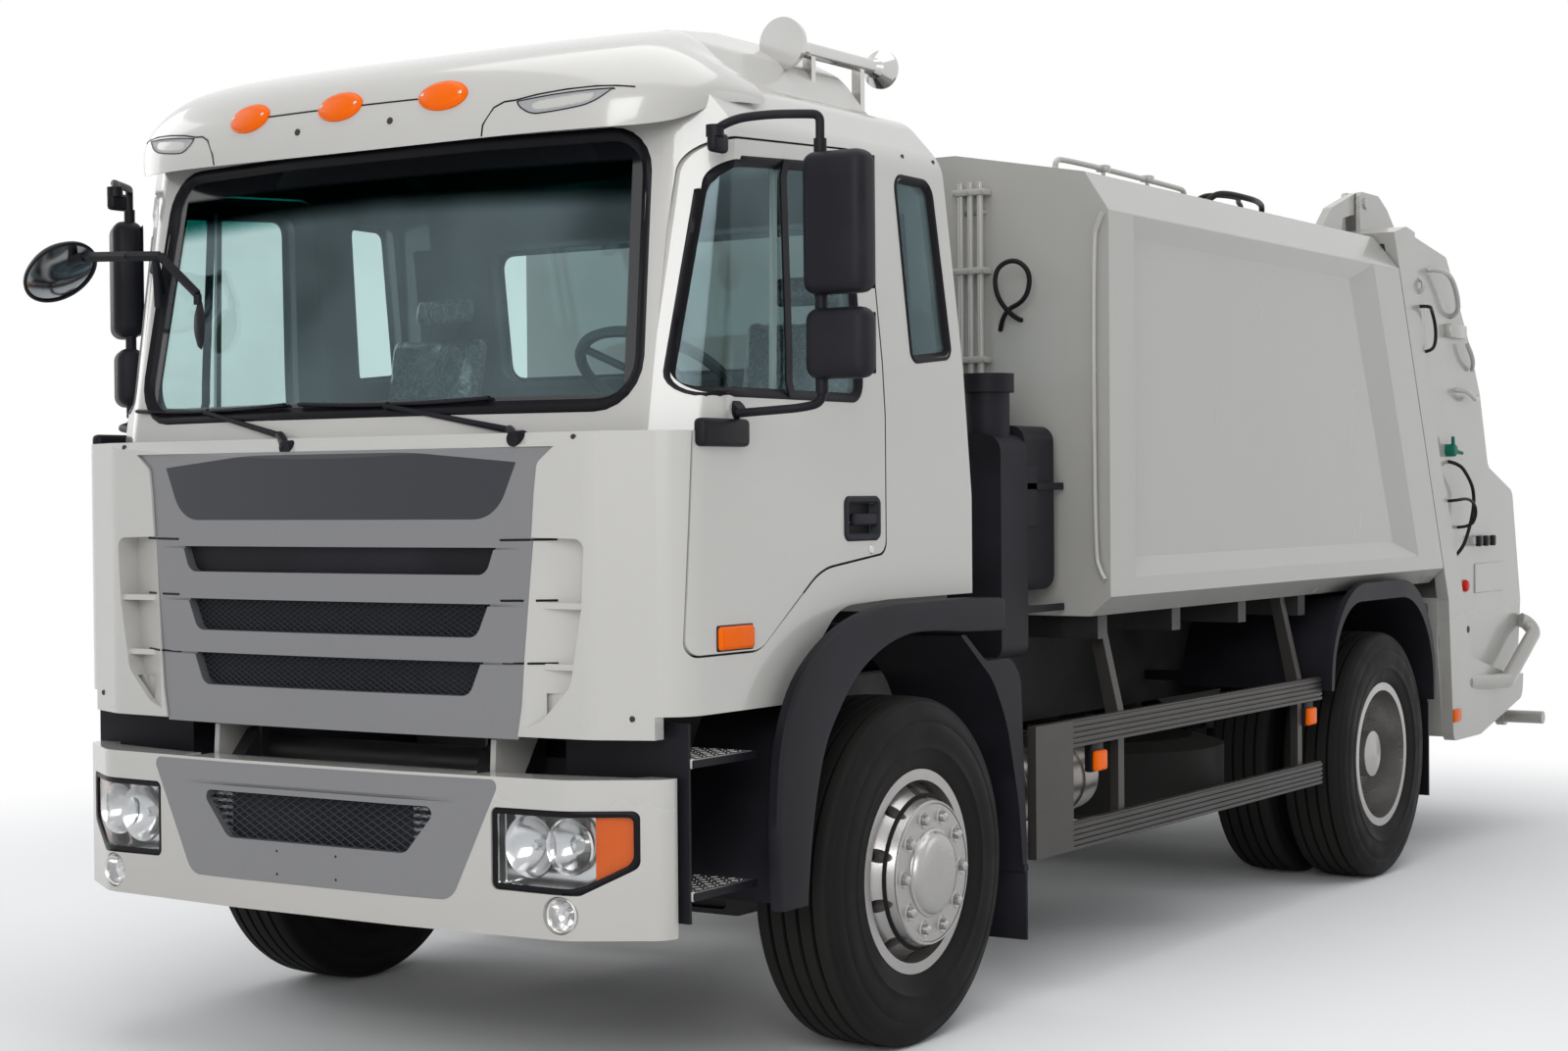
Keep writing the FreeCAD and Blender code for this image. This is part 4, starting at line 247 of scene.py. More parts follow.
laid_cord(
    "pump_cable",
    (
        (1.141, 0.90, 2.19), (1.19, 0.89, 2.20), (1.25, 0.86, 2.27), (1.25, 0.86, 2.36),
        (1.24, 0.93, 2.39), (1.22, 0.98, 2.34), (1.20, 0.95, 2.25), (1.18, 0.85, 2.22),
        (1.141, 0.82, 2.16),
    ),
    0.017, cable_black, "chassis",
)
laid_cord(
    "fender_hose",
    (
        (-1.66, 1.19, 1.225), (-1.70, 1.225, 1.222), (-1.76, 1.235, 1.20), (-1.81, 1.225, 1.16),
        (-1.85, 1.19, 1.13),
    ),
    0.012, cable_white, "chassis",
)


# Cab paint: two-coat pearl white over a primer, with a clear lacquer that shows faint
# orange peel, and road dust low down. It covers the shell, doors, visor and bumper.
def paint(name, clean, dusty, dust_top, roughness, lacquer, wave, streak, lined=False):
    """A sprayed finish. Where lined is set, what faces the cab's inside is dark trim."""
    finish = Finish(name)
    height = finish.apart()[2]
    clouds = finish.noise(1.7, 3.0)
    streaks = finish.noise(1.0, 4.0, finish.scaled(9.0, 9.0, 0.7))
    mottled = finish.mixed(clouds * 0.6, colour(*clean), colour(*[c * 0.93 for c in clean]))
    mottled = finish.mixed(streaks * streak, mottled, colour(*dusty))
    low = finish.ramp(height + clouds * 0.5, 0.5, dust_top, 0.55, 0.0)
    shade = finish.mixed(low, mottled, colour(*dusty))
    if lined:
        x, y, z = finish.apart()
        middle = {0: finish.place, 1: (2.60, 0.0, 1.95)}
        outward = finish.node("ShaderNodeVectorMath", {"operation": "SUBTRACT"}, middle)
        facing = {0: outward, 1: finish.node("ShaderNodeTexCoord", out="Normal")}
        inside = finish.node(
            "ShaderNodeVectorMath", {"operation": "DOT_PRODUCT"}, facing, out="Value"
        ) < -0.02
        room = (z > 1.34) * (x > 1.96) * (x < 3.42)
        grain = finish.noise(300.0, 2.0)
        trim = finish.mixed(grain, colour(0.050, 0.066, 0.068), colour(0.080, 0.100, 0.104))
        shade = finish.mixed(inside * room, shade, trim)
    peel = finish.bump(finish.noise(420.0, 1.0), 0.05, 0.0005)
    panel = finish.bump(finish.noise(2.6, 1.0), wave, 0.02, peel)
    return finish.done(
        finish.shader(
            Base_Color=shade,
            Roughness=low * 0.25 + streaks * 0.02 + roughness,
            Coat_Weight=lacquer,
            Coat_Roughness=0.06,
            Normal=panel,
        )
    )


def coat(material, *names):
    for name in names:
        data = frame["nodes"][name].data
        data.materials.clear()
        data.materials.append(material)


cab_paint = paint("cab_paint", (0.480, 0.470, 0.446), (0.39, 0.37, 0.335), 1.25, 0.24, 0.7, 0.05, 0.03, True)
coat(cab_paint, "cab_shell", "door_left", "door_right", "sun_visor", "bumper")

# Body paint: one-coat greyish white on rolled steel sheet. The sheet shows shallow waves
# between its welds, and rain has left dusty grey streaks down it.
body_paint = paint("body_paint", (0.385, 0.378, 0.358), (0.31, 0.295, 0.26), 1.35, 0.26, 0.5, 0.3, 0.15)
body_nodes = (
    "body_floor body_side_left body_side_right body_roof body_front_wall body_pipes ejector_plate "
    "hopper tail_roof tail_side_left tail_side_right packer_slide packer_blade bin_lift"
)
coat(body_paint, *body_nodes.split())

# Chassis paint: satin black sprayed over rolled and riveted rails, springs and brackets,
# dulled by dust where spray from the wheels dries on it.
chassis_finish = Finish("chassis_satin")
dust = chassis_finish.noise(3.0, 5.0)
chassis_satin = chassis_finish.done(
    chassis_finish.shader(
        Base_Color=chassis_finish.mixed(
            chassis_finish.ramp(dust, 0.45, 0.8), colour(0.008, 0.008, 0.009), colour(0.03, 0.028, 0.025)
        ),
        Roughness=chassis_finish.ramp(dust, 0.3, 0.7, 0.4, 0.7),
        Normal=chassis_finish.bump(chassis_finish.noise(160.0, 3.0), 0.2, 0.001),
    )
)
coat(chassis_satin, "chassis_frame", "leaf_springs")


# Black plastic: moulded polypropylene with a leather-like grain, for fenders, steps,
# mirror housings, the air intake and the mesh's backing.
def moulded(name, tone, roughness, grain):
    finish = Finish(name)
    cells = finish.node(
        "ShaderNodeTexVoronoi", {"feature": "DISTANCE_TO_EDGE"}, {"Vector": finish.place, "Scale": grain}
    )
    film = finish.noise(2.2, 4.0)
    shade = finish.mixed(finish.ramp(film, 0.4, 0.8), colour(*tone), colour(*[c * 1.8 + 0.004 for c in tone]))
    rough = finish.ramp(film, 0.3, 0.8, roughness, roughness + 0.14)
    relief = finish.bump(cells, 0.22, 0.0008)
    return finish.done(
        finish.shader(Base_Color=shade, Roughness=rough, Normal=relief, Specular_IOR_Level=0.12)
    )


black_plastic = moulded("black_plastic", (0.0095, 0.0095, 0.0125), 0.40, 420)
coat(black_plastic, "front_fenders", "rear_fenders", "cab_steps", "air_intake", "grille_mesh")
cab_plastic = moulded("cab_plastic", (0.040, 0.052, 0.054), 0.5, 380)
coat(cab_plastic, "dashboard", "steering_wheel")


# Silver trim: plastic sprayed with an aluminium-flake base coat under satin lacquer, for the
# grille unit and the bumper's centre; the panel at the grille's top is dark grey.
def flaked(name, tone, metal, roughness):
    finish = Finish(name)
    flakes = finish.node("ShaderNodeTexVoronoi", {}, {"Vector": finish.place, "Scale": 1500.0}, out="Color")
    broad = finish.noise(2.0, 2.0)
    shade = finish.mixed(0.12, colour(*tone), flakes, "OVERLAY")
    shade = finish.mixed(broad * 0.2, shade, colour(*[c * 0.8 for c in tone]))
    return finish.done(
        finish.shader(
            Base_Color=shade,
            Metallic=metal,
            Roughness=broad * 0.08 + roughness,
            Coat_Weight=0.25,
            Coat_Roughness=0.2,
            Normal=finish.bump(finish.noise(3.0, 1.0), 0.06, 0.01),
        )
    )


silver_trim = flaked("silver_trim", (0.205, 0.205, 0.213), 0.5, 0.33)
coat(silver_trim, "grille", "bumper_centre")
dark_trim = flaked("dark_trim", (0.018, 0.020, 0.027), 0.3, 0.34)
coat(dark_trim, "nose_panel")


# Bare and plated metals: cast iron under old black paint, brushed aluminium guards, rolled
# steel tanks and polished horns.
def metal(name, tone, metallic, roughness, stretch, relief):
    finish = Finish(name)
    drawn = finish.noise(1.0, 4.0, finish.scaled(*stretch))
    patches = finish.noise(5.0, 4.0)
    shade = finish.mixed(patches * 0.5, colour(*tone), colour(*[c * 0.6 for c in tone]))
    return finish.done(
        finish.shader(
            Base_Color=shade,
            Metallic=metallic,
            Roughness=drawn * 0.12 + patches * 0.1 + (roughness - 0.1),
            Normal=finish.bump(drawn, relief, 0.0008),
        )
    )


cast_iron = metal("cast_iron", (0.03, 0.028, 0.026), 0.3, 0.62, (140, 140, 140), 0.6)
coat(
    cast_iron, "front_axle", "rear_axle", "engine_block", "gearbox_and_shaft", "knuckle_left", "knuckle_right"
)
guard_aluminium = metal("guard_aluminium", (0.048, 0.044, 0.041), 0.4, 0.42, (3, 300, 300), 0.15)
coat(guard_aluminium, "side_guards")
tank_steel = metal("tank_steel", (0.30, 0.28, 0.26), 0.9, 0.3, (6, 160, 160), 0.12)
coat(tank_steel, "tanks", "exhaust")
chrome = metal("chrome", (0.66, 0.655, 0.64), 1.0, 0.14, (20, 20, 20), 0.03)
coat(chrome, "horns")


# Glass: laminated windscreen with a black ceramic border and a green shade band at its top,
# and tinted side windows set in rubber. Thin, so it tints what is behind it.
def window_glass(name, tint, bordered):
    finish = Finish(name)
    x, y, z = finish.apart()
    gloss = finish.node(
        "ShaderNodeBsdfGlossy", sockets={"Color": colour(0.50, 0.62, 0.68), "Roughness": 0.02}
    )
    through = finish.node("ShaderNodeBsdfTransparent", sockets={"Color": colour(*tint)})
    mirror = finish.node("ShaderNodeLayerWeight", sockets={"Blend": 0.5}, out="Facing") ** 4.0
    # The glossy share rises and falls in cloudy streaks: a painted reflection of clouds on the glass.
    cloud_reflection_streaks = finish.noise(1.2, 3.0)
    clear = finish.node(
        "ShaderNodeMixShader",
        sockets={0: finish.ramp(cloud_reflection_streaks, 0.35, 0.7, 0.02, 0.10) + mirror * 0.8, 1: through, 2: gloss}
    )
    if not bordered:
        return finish.done(clear)
    side = finish.node("ShaderNodeMath", {"operation": "ABSOLUTE"}, {0: y})
    front = x > 3.02
    edge = finish.ramp(side + (z - 1.85) * 0.061, 0.876, 0.882)
    band = finish.ramp(z, 2.505, 2.52) + finish.ramp(z, 1.885, 1.875) + edge
    border = finish.node("ShaderNodeMath", {"operation": "MINIMUM"}, {0: band * front, 1: 1.0})
    ceramic = finish.shader(Base_Color=colour(0.006, 0.007, 0.009), Roughness=0.12, Coat_Weight=0.6)
    shaded = finish.node("ShaderNodeBsdfTransparent", sockets={"Color": colour(0.05, 0.33, 0.30)})
    strip = finish.ramp(z + side * 0.03, 2.40, 2.47) * front
    tinted = finish.node("ShaderNodeMixShader", sockets={0: strip, 1: clear, 2: shaded})
    return finish.done(finish.node("ShaderNodeMixShader", sockets={0: border, 1: tinted, 2: ceramic}))


screen_glass = window_glass("screen_glass", (0.86, 0.93, 0.925), True)
coat(screen_glass, "cab_glass")
door_glass = window_glass("door_glass", (0.80, 0.87, 0.865), False)
coat(door_glass, "door_glass_left", "door_glass_right")


# Amber lenses: injection-moulded acrylic with fine prism ribs inside, on the visor, in the
# headlamps, on the doors and along the side guards.
def lens_plastic(name, tone, roughness):
    finish = Finish(name)
    ribs = finish.node(
        "ShaderNodeTexWave", {"bands_direction": "Y"},
        {"Vector": finish.place, "Scale": 90.0, "Distortion": 0.4}
    )
    shade = finish.mixed(ribs * 0.35, colour(*tone), colour(*[c * 0.55 for c in tone]))
    return finish.done(
        finish.shader(
            Base_Color=shade,
            Roughness=finish.noise(8.0) * 0.1 + roughness,
            Specular_IOR_Level=0.08,
            Coat_Weight=0.04,
            Coat_Roughness=0.05,
            Normal=finish.bump(ribs, 0.3, 0.0015),
        )
    )


amber_lens = lens_plastic("amber_lens", (0.92, 0.14, 0.0), 0.22)
red_lens = lens_plastic("red_lens", (0.62, 0.02, 0.012), 0.25)
coat(amber_lens, "marker_lamps")


# Tyres: radial truck tyres with four straight grooves, a raised ring on each side wall and a
# thick bead. Each is moulded as one round form, here spun from its own cross section.
def turned(shape, profile, centre, axis, steps, closed=False):
    """Spins a profile of (radius, along) points round the axis through centre."""
    along = Vector(axis)
    across = along.orthogonal().normalized()
    corners = [shape.verts.new(Vector(centre) + across * r + along * a) for r, a in profile]
    pairs = list(zip(corners, corners[1:]))
    if closed:
        pairs.append((corners[-1], corners[0]))
    edges = [shape.edges.new(pair) for pair in pairs]
    bmesh.ops.spin(
        shape, geom=corners + edges, cent=centre, axis=along, angle=2 * math.pi, steps=steps, use_merge=True
    )
    bmesh.ops.remove_doubles(shape, verts=shape.verts, dist=0.00001)
    bmesh.ops.recalc_face_normals(shape, faces=shape.faces)


def piece(name, shape, material, body, slot, crease=34.0):
    """Turns a finished shape into a piece, smooth but for its creases."""
    for face in shape.faces:
        face.smooth = True
    for edge in shape.edges:
        edge.smooth = len(edge.link_faces) == 2 and edge.calc_face_angle() < math.radians(crease)
    mesh = bpy.data.meshes.new(name)
    shape.to_mesh(mesh)
    shape.free()
    return linked(name, mesh, material, body)


def other_side(shape):
    """The same shape for the truck's right."""
    right = shape.copy()
    bmesh.ops.scale(right, vec=(1, -1, 1), verts=right.verts)
    bmesh.ops.reverse_faces(right, faces=right.faces)
    return right


def pair(name, shape, material, bodies, slot, crease=34.0):
    """A left and a right piece from the left one's shape."""
    right = other_side(shape)
    return [
        piece(name + "_left", shape, material, bodies[0], slot, crease),
        piece(name + "_right", right, material, bodies[1], slot, crease),
    ]


front_axle = 2.33
rear_axle = -1.47
axle_height = 0.51
leftward = (0, 1, 0)


def centred(finish):
    """How far a place is from its own wheel's axle."""
    x, _, z = finish.apart()
    forward = x - (x > (front_axle + rear_axle) / 2) * (front_axle - rear_axle) - rear_axle
    return (forward * forward + (z - axle_height) * (z - axle_height)) ** 0.5


tyre_half = [
    (0.510, 0.017), (0.4960, 0.0195), (0.4960, 0.0275), (0.5098, 0.030), (0.5090, 0.064),
    (0.4950, 0.0665), (0.4950, 0.0745), (0.5085, 0.077), (0.507, 0.100), (0.503, 0.110), (0.494, 0.1195),
    (0.484, 0.1245), (0.4815, 0.1240), (0.478, 0.1265), (0.462, 0.1315), (0.440, 0.1362), (0.4375, 0.1350),
    (0.434, 0.1372), (0.412, 0.1388), (0.388, 0.1382), (0.366, 0.1345), (0.3635, 0.1362), (0.3585, 0.1358),
    (0.356, 0.1330), (0.334, 0.1290), (0.316, 0.1225), (0.304, 0.1185), (0.296, 0.1120), (0.290, 0.1080),
]
tyre_profile = tyre_half + [(0.286, 0.0)] + [(r, -a) for r, a in reversed(tyre_half)]

tyre_finish = Finish("tyre_rubber")
from_hub = centred(tyre_finish)
tyre_dust = tyre_finish.noise(7.0, 4.0)
rings = tyre_finish.node(
    "ShaderNodeTexNoise", {"noise_dimensions": "1D"}, {"W": from_hub * 220.0, "Detail": 1.0}
)
road = tyre_finish.ramp(from_hub, 0.497, 0.505)
tyre_shade = tyre_finish.mixed(tyre_dust, colour(0.006, 0.006, 0.0065), colour(0.014, 0.0135, 0.013))
tyre_shade = tyre_finish.mixed(road * 0.5, tyre_shade, colour(0.026, 0.025, 0.023))
tyre_rubber = tyre_finish.done(
    tyre_finish.shader(
        Base_Color=tyre_shade,
        Roughness=tyre_finish.ramp(tyre_dust, 0.3, 0.7, 0.48, 0.66) + road * 0.15,
        Normal=tyre_finish.bump(rings + tyre_finish.noise(300.0) * 0.6, 0.12, 0.0012),
        Specular_IOR_Level=0.08,
    )
)
coat(tyre_rubber, "spare_wheel")
for stem, x, centres, body in (
    ("front_tyre", front_axle, (1.059,), "front_wheel"),
    ("rear_tyres", rear_axle, (1.083, 0.773), "rear_wheels"),
):
    casing = bmesh.new()
    for y in centres:
        turned(casing, tyre_profile, (x, y, axle_height), leftward, 112, closed=True)
    made = pair(stem + "_moulded", casing, tyre_rubber, (body + "_left", body + "_right"), "tyre", 48.0)
    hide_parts(stem + "_left")
    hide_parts(stem + "_right")


# Wheels: forged aluminium discs, turned and polished. Ten domed nut covers each sit in a
# dished ring, and a plain pressed cap closes the hub.
wheel_finish = Finish("polished_aluminium")
lathe = wheel_finish.node(
    "ShaderNodeTexNoise", {"noise_dimensions": "1D"}, {"W": centred(wheel_finish) * 900.0, "Detail": 2.0}
)
haze = wheel_finish.noise(9.0, 4.0)
polished = wheel_finish.done(
    wheel_finish.shader(
        Base_Color=wheel_finish.mixed(haze * 0.6, colour(0.44, 0.43, 0.425), colour(0.30, 0.285, 0.27)),
        Metallic=0.85,
        Roughness=haze * 0.12 + lathe * 0.06 + 0.19,
        Normal=wheel_finish.bump(lathe, 0.06, 0.0006),
    )
)
coat(polished, "front_rim_left", "front_rim_right", "rear_rims_left", "rear_rims_right")
nut_count = 10


def round_wheel(shape, profile, x, y, radius, count, steps):
    """Puts count turned parts on a circle round a wheel's axle."""
    for i in range(count):
        angle = 2 * math.pi * i / count
        spot = (x + radius * math.cos(angle), y, axle_height + radius * math.sin(angle))
        turned(shape, profile, spot, leftward, steps)


nut_profile = ((0.0155, 0.0), (0.0155, 0.010), (0.0135, 0.017), (0.008, 0.0215), (0.0, 0.023))
dish_profile = ((0.0158, 0.0008), (0.0195, 0.0008), (0.0225, 0.0030), (0.0245, 0.0012), (0.026, 0.0))
front_hub = (front_axle, 1.226, axle_height)
front_wheels = ("front_wheel_left", "front_wheel_right")
front_nuts = bmesh.new()
round_wheel(front_nuts, nut_profile, front_axle, 1.226, 0.166, nut_count, 16)
round_wheel(front_nuts, dish_profile, front_axle, 1.226, 0.166, nut_count, 24)
cap_profile = (
    (0.130, 0.0), (0.129, 0.003), (0.124, 0.004), (0.120, 0.006), (0.115, 0.016), (0.106, 0.0225),
    (0.090, 0.0262), (0.060, 0.0274), (0.0, 0.0278),
)
turned(front_nuts, cap_profile, front_hub, leftward, 64)
turned(
    front_nuts, ((0.206, -0.004), (0.209, -0.001), (0.206, 0.002), (0.201, 0.0015)), front_hub, leftward, 80
)
pair("front_wheel_fittings", front_nuts, polished, front_wheels, "aluminium")
# A thin black ring in the wheel's turned groove is a painted shadow.
front_groove_shadow = bmesh.new()
turned(front_groove_shadow, ((0.2285, -0.0345), (0.2205, -0.026), (0.2185, -0.0285)), front_hub, leftward, 80)
pair("front_wheel_shadow_ring", front_groove_shadow, tyre_rubber, front_wheels, "tyre")
rear_nuts = bmesh.new()
round_wheel(
    rear_nuts, ((0.0165, 0.0), (0.0165, 0.022), (0.012, 0.030), (0.0, 0.034)), rear_axle, 0.944, 0.140,
    nut_count, 12,
)
pair("rear_wheel_nuts", rear_nuts, polished, ("rear_wheels_left", "rear_wheels_right"), "aluminium")


# Windscreen and window seals: extruded black rubber channels, pushed on round each opening
# before the glass, and standing a few millimetres above the paint.
def thickened(shape, depth):
    """Makes a thin sheet solid."""
    bmesh.ops.solidify(shape, geom=shape.faces[:], thickness=depth)


def skin_of(*nodes):
    """The surface of these CAD nodes, to lay thin pieces on."""
    whole = bmesh.new()
    for node in nodes:
        whole.from_mesh(frame["nodes"][node].data)
    tree = BVHTree.FromBMesh(whole)
    whole.free()
    return tree


def laid_on(shape, skin, outward, level=None):
    """Moves every corner along outward on to the skin, and keeps its height above it."""
    out = Vector(outward)
    middle = sum((corner.co for corner in shape.verts), Vector()) / len(shape.verts)
    for corner in shape.verts:
        height = corner.co.dot(out)
        across = corner.co - out * height
        inward = middle - out * middle.dot(out) - across
        aim = Vector((across.x, across.y, level)) if level else across
        tries = [skin.ray_cast(aim + inward * (0.01 * step) + out * 20, -out)[0] for step in range(12)]
        hits = [hit for hit in tries if hit]
        if hits:
            corner.co = across + out * (hits[0].dot(out) + height)


def rounded_face(corners, radius, steps=6):
    """A flat face with rounded corners. Each corner may have its own radius."""
    shape = bmesh.new()
    made = [shape.verts.new(corner[:3]) for corner in corners]
    shape.faces.new(made)
    for corner, given in zip(made, corners):
        near = [v for v in shape.verts if (v.co - Vector(given[:3])).length < 0.00001]
        bmesh.ops.bevel(
            shape, geom=near, offset=given[3] if len(given) > 3 else radius, segments=steps, profile=0.5,
            affect="VERTICES", material=-1,
        )
    return shape


def faced(corners, radius, outward):
    """A flat face with rounded corners whose front looks along outward."""
    shape = rounded_face(corners, radius)
    bmesh.ops.recalc_face_normals(shape, faces=shape.faces)
    for face in shape.faces:
        if face.normal.dot(Vector(outward)) < 0:
            face.normal_flip()
    return shape


def sliced(shape, axis, low, high, step):
    """Cuts a flat shape across at every step, so that it can follow a curved surface."""
    normal = Vector(axis)
    count = max(1, round((high - low) / step))
    for i in range(1, count):
        whole = shape.verts[:] + shape.edges[:] + shape.faces[:]
        bmesh.ops.bisect_plane(
            shape, geom=whole, plane_co=normal * (low + (high - low) * i / count), plane_no=normal
        )


def ring_from(shape, width, rise):
    """Leaves only the outline's rim, width wide, with a raised middle."""
    faces = shape.faces[:]
    bmesh.ops.inset_region(shape, faces=faces, thickness=width, use_boundary=True, use_even_offset=True)
    bmesh.ops.delete(shape, geom=faces, context="FACES")
    bmesh.ops.inset_region(
        shape, faces=shape.faces[:], thickness=width * 0.28, depth=rise, use_boundary=True,
        use_even_offset=True
    )


seal_rubber = rubber("seal_rubber", (0.007, 0.007, 0.009), 0.36, 700)
ahead = (1, 0, 0)
upward = (0, 0, 1)


def seal(name, corners, across, outward, skin, body, width, rise=0.006, both=False):
    """A rubber frame round a window, cut along the axes in across so that it can bend."""
    shape = faced(corners, 0.05, outward)
    ring_from(shape, width, rise)
    spans = {0: [c[0] for c in corners], 1: [c[1] for c in corners], 2: [c[2] for c in corners]}
    for place in across:
        axis = [0, 0, 0]
        axis[place] = 1
        sliced(shape, axis, min(spans[place]), max(spans[place]), 0.05)
    laid_on(shape, skin, outward)
    if both:
        return pair(name, shape, seal_rubber, body, "plastic_black", 60.0)
    return [piece(name, shape, seal_rubber, body, "plastic_black", 60.0)]


cab_skin = skin_of("cab_shell", "cab_glass")
seal(
    "windscreen_seal",
    (
        (0, -0.946, 1.834, 0.145), (0, 0.946, 1.834, 0.145), (0, 0.901, 2.601, 0.125),
        (0, -0.901, 2.601, 0.125),
    ),
    (1, 2), ahead, cab_skin, "cab", 0.036, 0.008,
)
seal(
    "rear_window_seal",
    ((0, -0.65, 1.99, 0.07), (0, -0.65, 2.45, 0.07), (0, 0.65, 2.45, 0.07), (0, 0.65, 1.99, 0.07)),
    (1, 2), (-1, 0, 0), cab_skin, "cab", 0.026,
)
seal(
    "rear_side_seal",
    ((2.252, 0, 1.991, 0.04), (2.002, 0, 2.015, 0.04), (2.084, 0, 2.549, 0.05), (2.310, 0, 2.551, 0.05)),
    (0, 2), leftward, cab_skin, ("cab", "cab"), 0.026, 0.005, both=True,
)
door_skin = skin_of("door_left", "door_glass_left")
doors = ("left_door", "right_door")
seal(
    "door_window_seal",
    ((3.325, 0, 1.870, 0.07), (2.520, 0, 1.870, 0.06), (2.560, 0, 2.550, 0.07), (3.188, 0, 2.510, 0.09)),
    (0, 2), leftward, door_skin, doors, 0.028, 0.005, both=True,
)
divider = rounded_face(
    ((2.890, 0.004, 1.876), (2.920, 0.004, 1.876), (2.906, 0.004, 2.525), (2.876, 0.004, 2.525)), 0.002, 1
)
sliced(divider, upward, 1.87, 2.53, 0.05)
laid_on(divider, door_skin, leftward)
thickened(divider, 0.006)
pair("door_window_divider", divider, seal_rubber, doors, "plastic_black")


# Door handles: a black moulded surround with a pull-out paddle in a dark cup. A chromed key
# lock sits below, and an amber side lamp low at the door's front.
def block(shape, low, high, edge=0.0, steps=2, turn=None):
    """A box with rounded edges between two corners."""
    made = bmesh.ops.create_cube(shape, size=1.0)["verts"]
    low, high = Vector(low), Vector(high)
    bmesh.ops.scale(shape, vec=high - low, verts=made)
    bmesh.ops.translate(shape, vec=(low + high) / 2, verts=made)
    if turn:
        bmesh.ops.transform(shape, matrix=turn, verts=made)
    if edge:
        edges = list({e for v in made for e in v.link_edges})
        bmesh.ops.bevel(
            shape, geom=edges, offset=edge, segments=steps, profile=0.5, affect="EDGES", material=-1
        )


def moved(shape, x, y=0.0, z=0.0):
    """Moves the whole shape."""
    bmesh.ops.translate(shape, vec=(x, y, z), verts=shape.verts)


def drawn_out(shape, start, depth):
    """Gives a flat face a depth along Y, from start on."""
    made = bmesh.ops.extrude_face_region(shape, geom=shape.faces[:])["geom"]
    bmesh.ops.translate(
        shape, vec=(0, depth, 0), verts=[v for v in made if isinstance(v, bmesh.types.BMVert)]
    )
    moved(shape, 0, start)
    bmesh.ops.recalc_face_normals(shape, faces=shape.faces)


def bar(shape, start, end, radius, end_radius=None, sides=20):
    """A round bar, or a cone, between two points."""
    start, end = Vector(start), Vector(end)
    run = end - start
    stand = Matrix.Translation((start + end) / 2) @ run.to_track_quat("Z", "Y").to_matrix().to_4x4()
    bmesh.ops.create_cone(
        shape, cap_ends=True, segments=sides, radius1=radius, depth=run.length, matrix=stand,
        radius2=radius if end_radius is None else end_radius,
    )


surround = faced(
    ((2.435, 0, 1.477, 0.024), (2.632, 0, 1.477, 0.024), (2.632, 0, 1.606, 0.024), (2.435, 0, 1.606, 0.024)),
    0.02, leftward,
)
ring_from(surround, 0.022, 0.007)
moved(surround, 0, 1.1198)
block(surround, (2.452, 1.0925, 1.492), (2.616, 1.0945, 1.592))
block(surround, (2.438, 1.104, 1.522), (2.580, 1.124, 1.556), 0.007, 3)
pair("door_handle", surround, black_plastic, doors, "plastic_black")
lock = bmesh.new()
turned(
    lock, ((0.0125, -0.003), (0.0125, 0.003), (0.0105, 0.005), (0.0, 0.005)), (2.486, 1.119, 1.452), leftward,
    24,
)
pair("door_lock", lock, chrome, doors, "chrome")
side_lamp = bmesh.new()
block(side_lamp, (3.100, 1.108, 1.204), (3.262, 1.1335, 1.266), 0.011, 4)
pair("door_side_lamp", side_lamp, amber_lens, doors, "amber")
lamp_base = bmesh.new()
block(lamp_base, (3.094, 1.108, 1.199), (3.268, 1.1225, 1.271), 0.006, 2)
pair("door_side_lamp_base", lamp_base, black_plastic, doors, "plastic_black")


# Headlamps: a black bezel round a clear polycarbonate lens, two bright reflector bowls with
# their bulbs behind it, and an amber turn lamp outboard. Fog lamps sit below in the bumper.
lamp_corners = (
    (0, 0.614, 0.585, 0.02), (0, 0.880, 0.581, 0.03), (0, 1.015, 0.655, 0.03), (0, 1.015, 0.800, 0.03),
    (0, 0.614, 0.800, 0.02),
)
lamp_skin = skin_of("headlamps")
chassis_pair = ("chassis", "chassis")


def lamp_view(margin, inner=0.614, outer=1.015):
    """The headlamp's outline, smaller by margin, kept between two distances from the middle."""
    shape = faced(lamp_corners, 0.02, ahead)
    if margin:
        faces = shape.faces[:]
        bmesh.ops.inset_region(shape, faces=faces, thickness=margin, use_boundary=True, use_even_offset=True)
        rim = [f for f in shape.faces if f not in faces]
        bmesh.ops.delete(shape, geom=rim, context="FACES")
    for cut, outside in ((inner, -1), (outer, 1)):
        whole = shape.verts[:] + shape.edges[:] + shape.faces[:]
        bmesh.ops.bisect_plane(
            shape, geom=whole, plane_co=(0, cut, 0), plane_no=(0, outside, 0), clear_outer=True
        )
    sliced(shape, leftward, 0.62, 1.01, 0.02)
    return shape


bezel = faced(lamp_corners, 0.02, ahead)
ring_from(bezel, 0.017, 0.003)
sliced(bezel, leftward, 0.62, 1.01, 0.02)
laid_on(bezel, lamp_skin, ahead)
thickened(bezel, 0.004)
bezels = pair("headlamp_bezel", bezel, seal_rubber, chassis_pair, "plastic_black")

clear_finish = Finish("clear_lens")
clear_gloss = clear_finish.node("ShaderNodeBsdfGlossy", sockets={"Roughness": 0.03})
clear_through = clear_finish.node("ShaderNodeBsdfTransparent", sockets={"Color": colour(0.93, 0.94, 0.95)})
clear_edge = clear_finish.node("ShaderNodeLayerWeight", sockets={"Blend": 0.5}, out="Facing") ** 4.0
clear_lens = clear_finish.done(
    clear_finish.node(
        "ShaderNodeMixShader",
        sockets={
            0: clear_edge + clear_finish.ramp(clear_finish.noise(5.0), 0.4, 0.7, 0.02, 0.07),
            1: clear_through, 2: clear_gloss,
        },
    )
)
lens_cover = lamp_view(0.014)
laid_on(lens_cover, lamp_skin, ahead)
moved(lens_cover, -0.003)
thickened(lens_cover, 0.003)
pair("headlamp_lens", lens_cover, clear_lens, chassis_pair, "lamp")

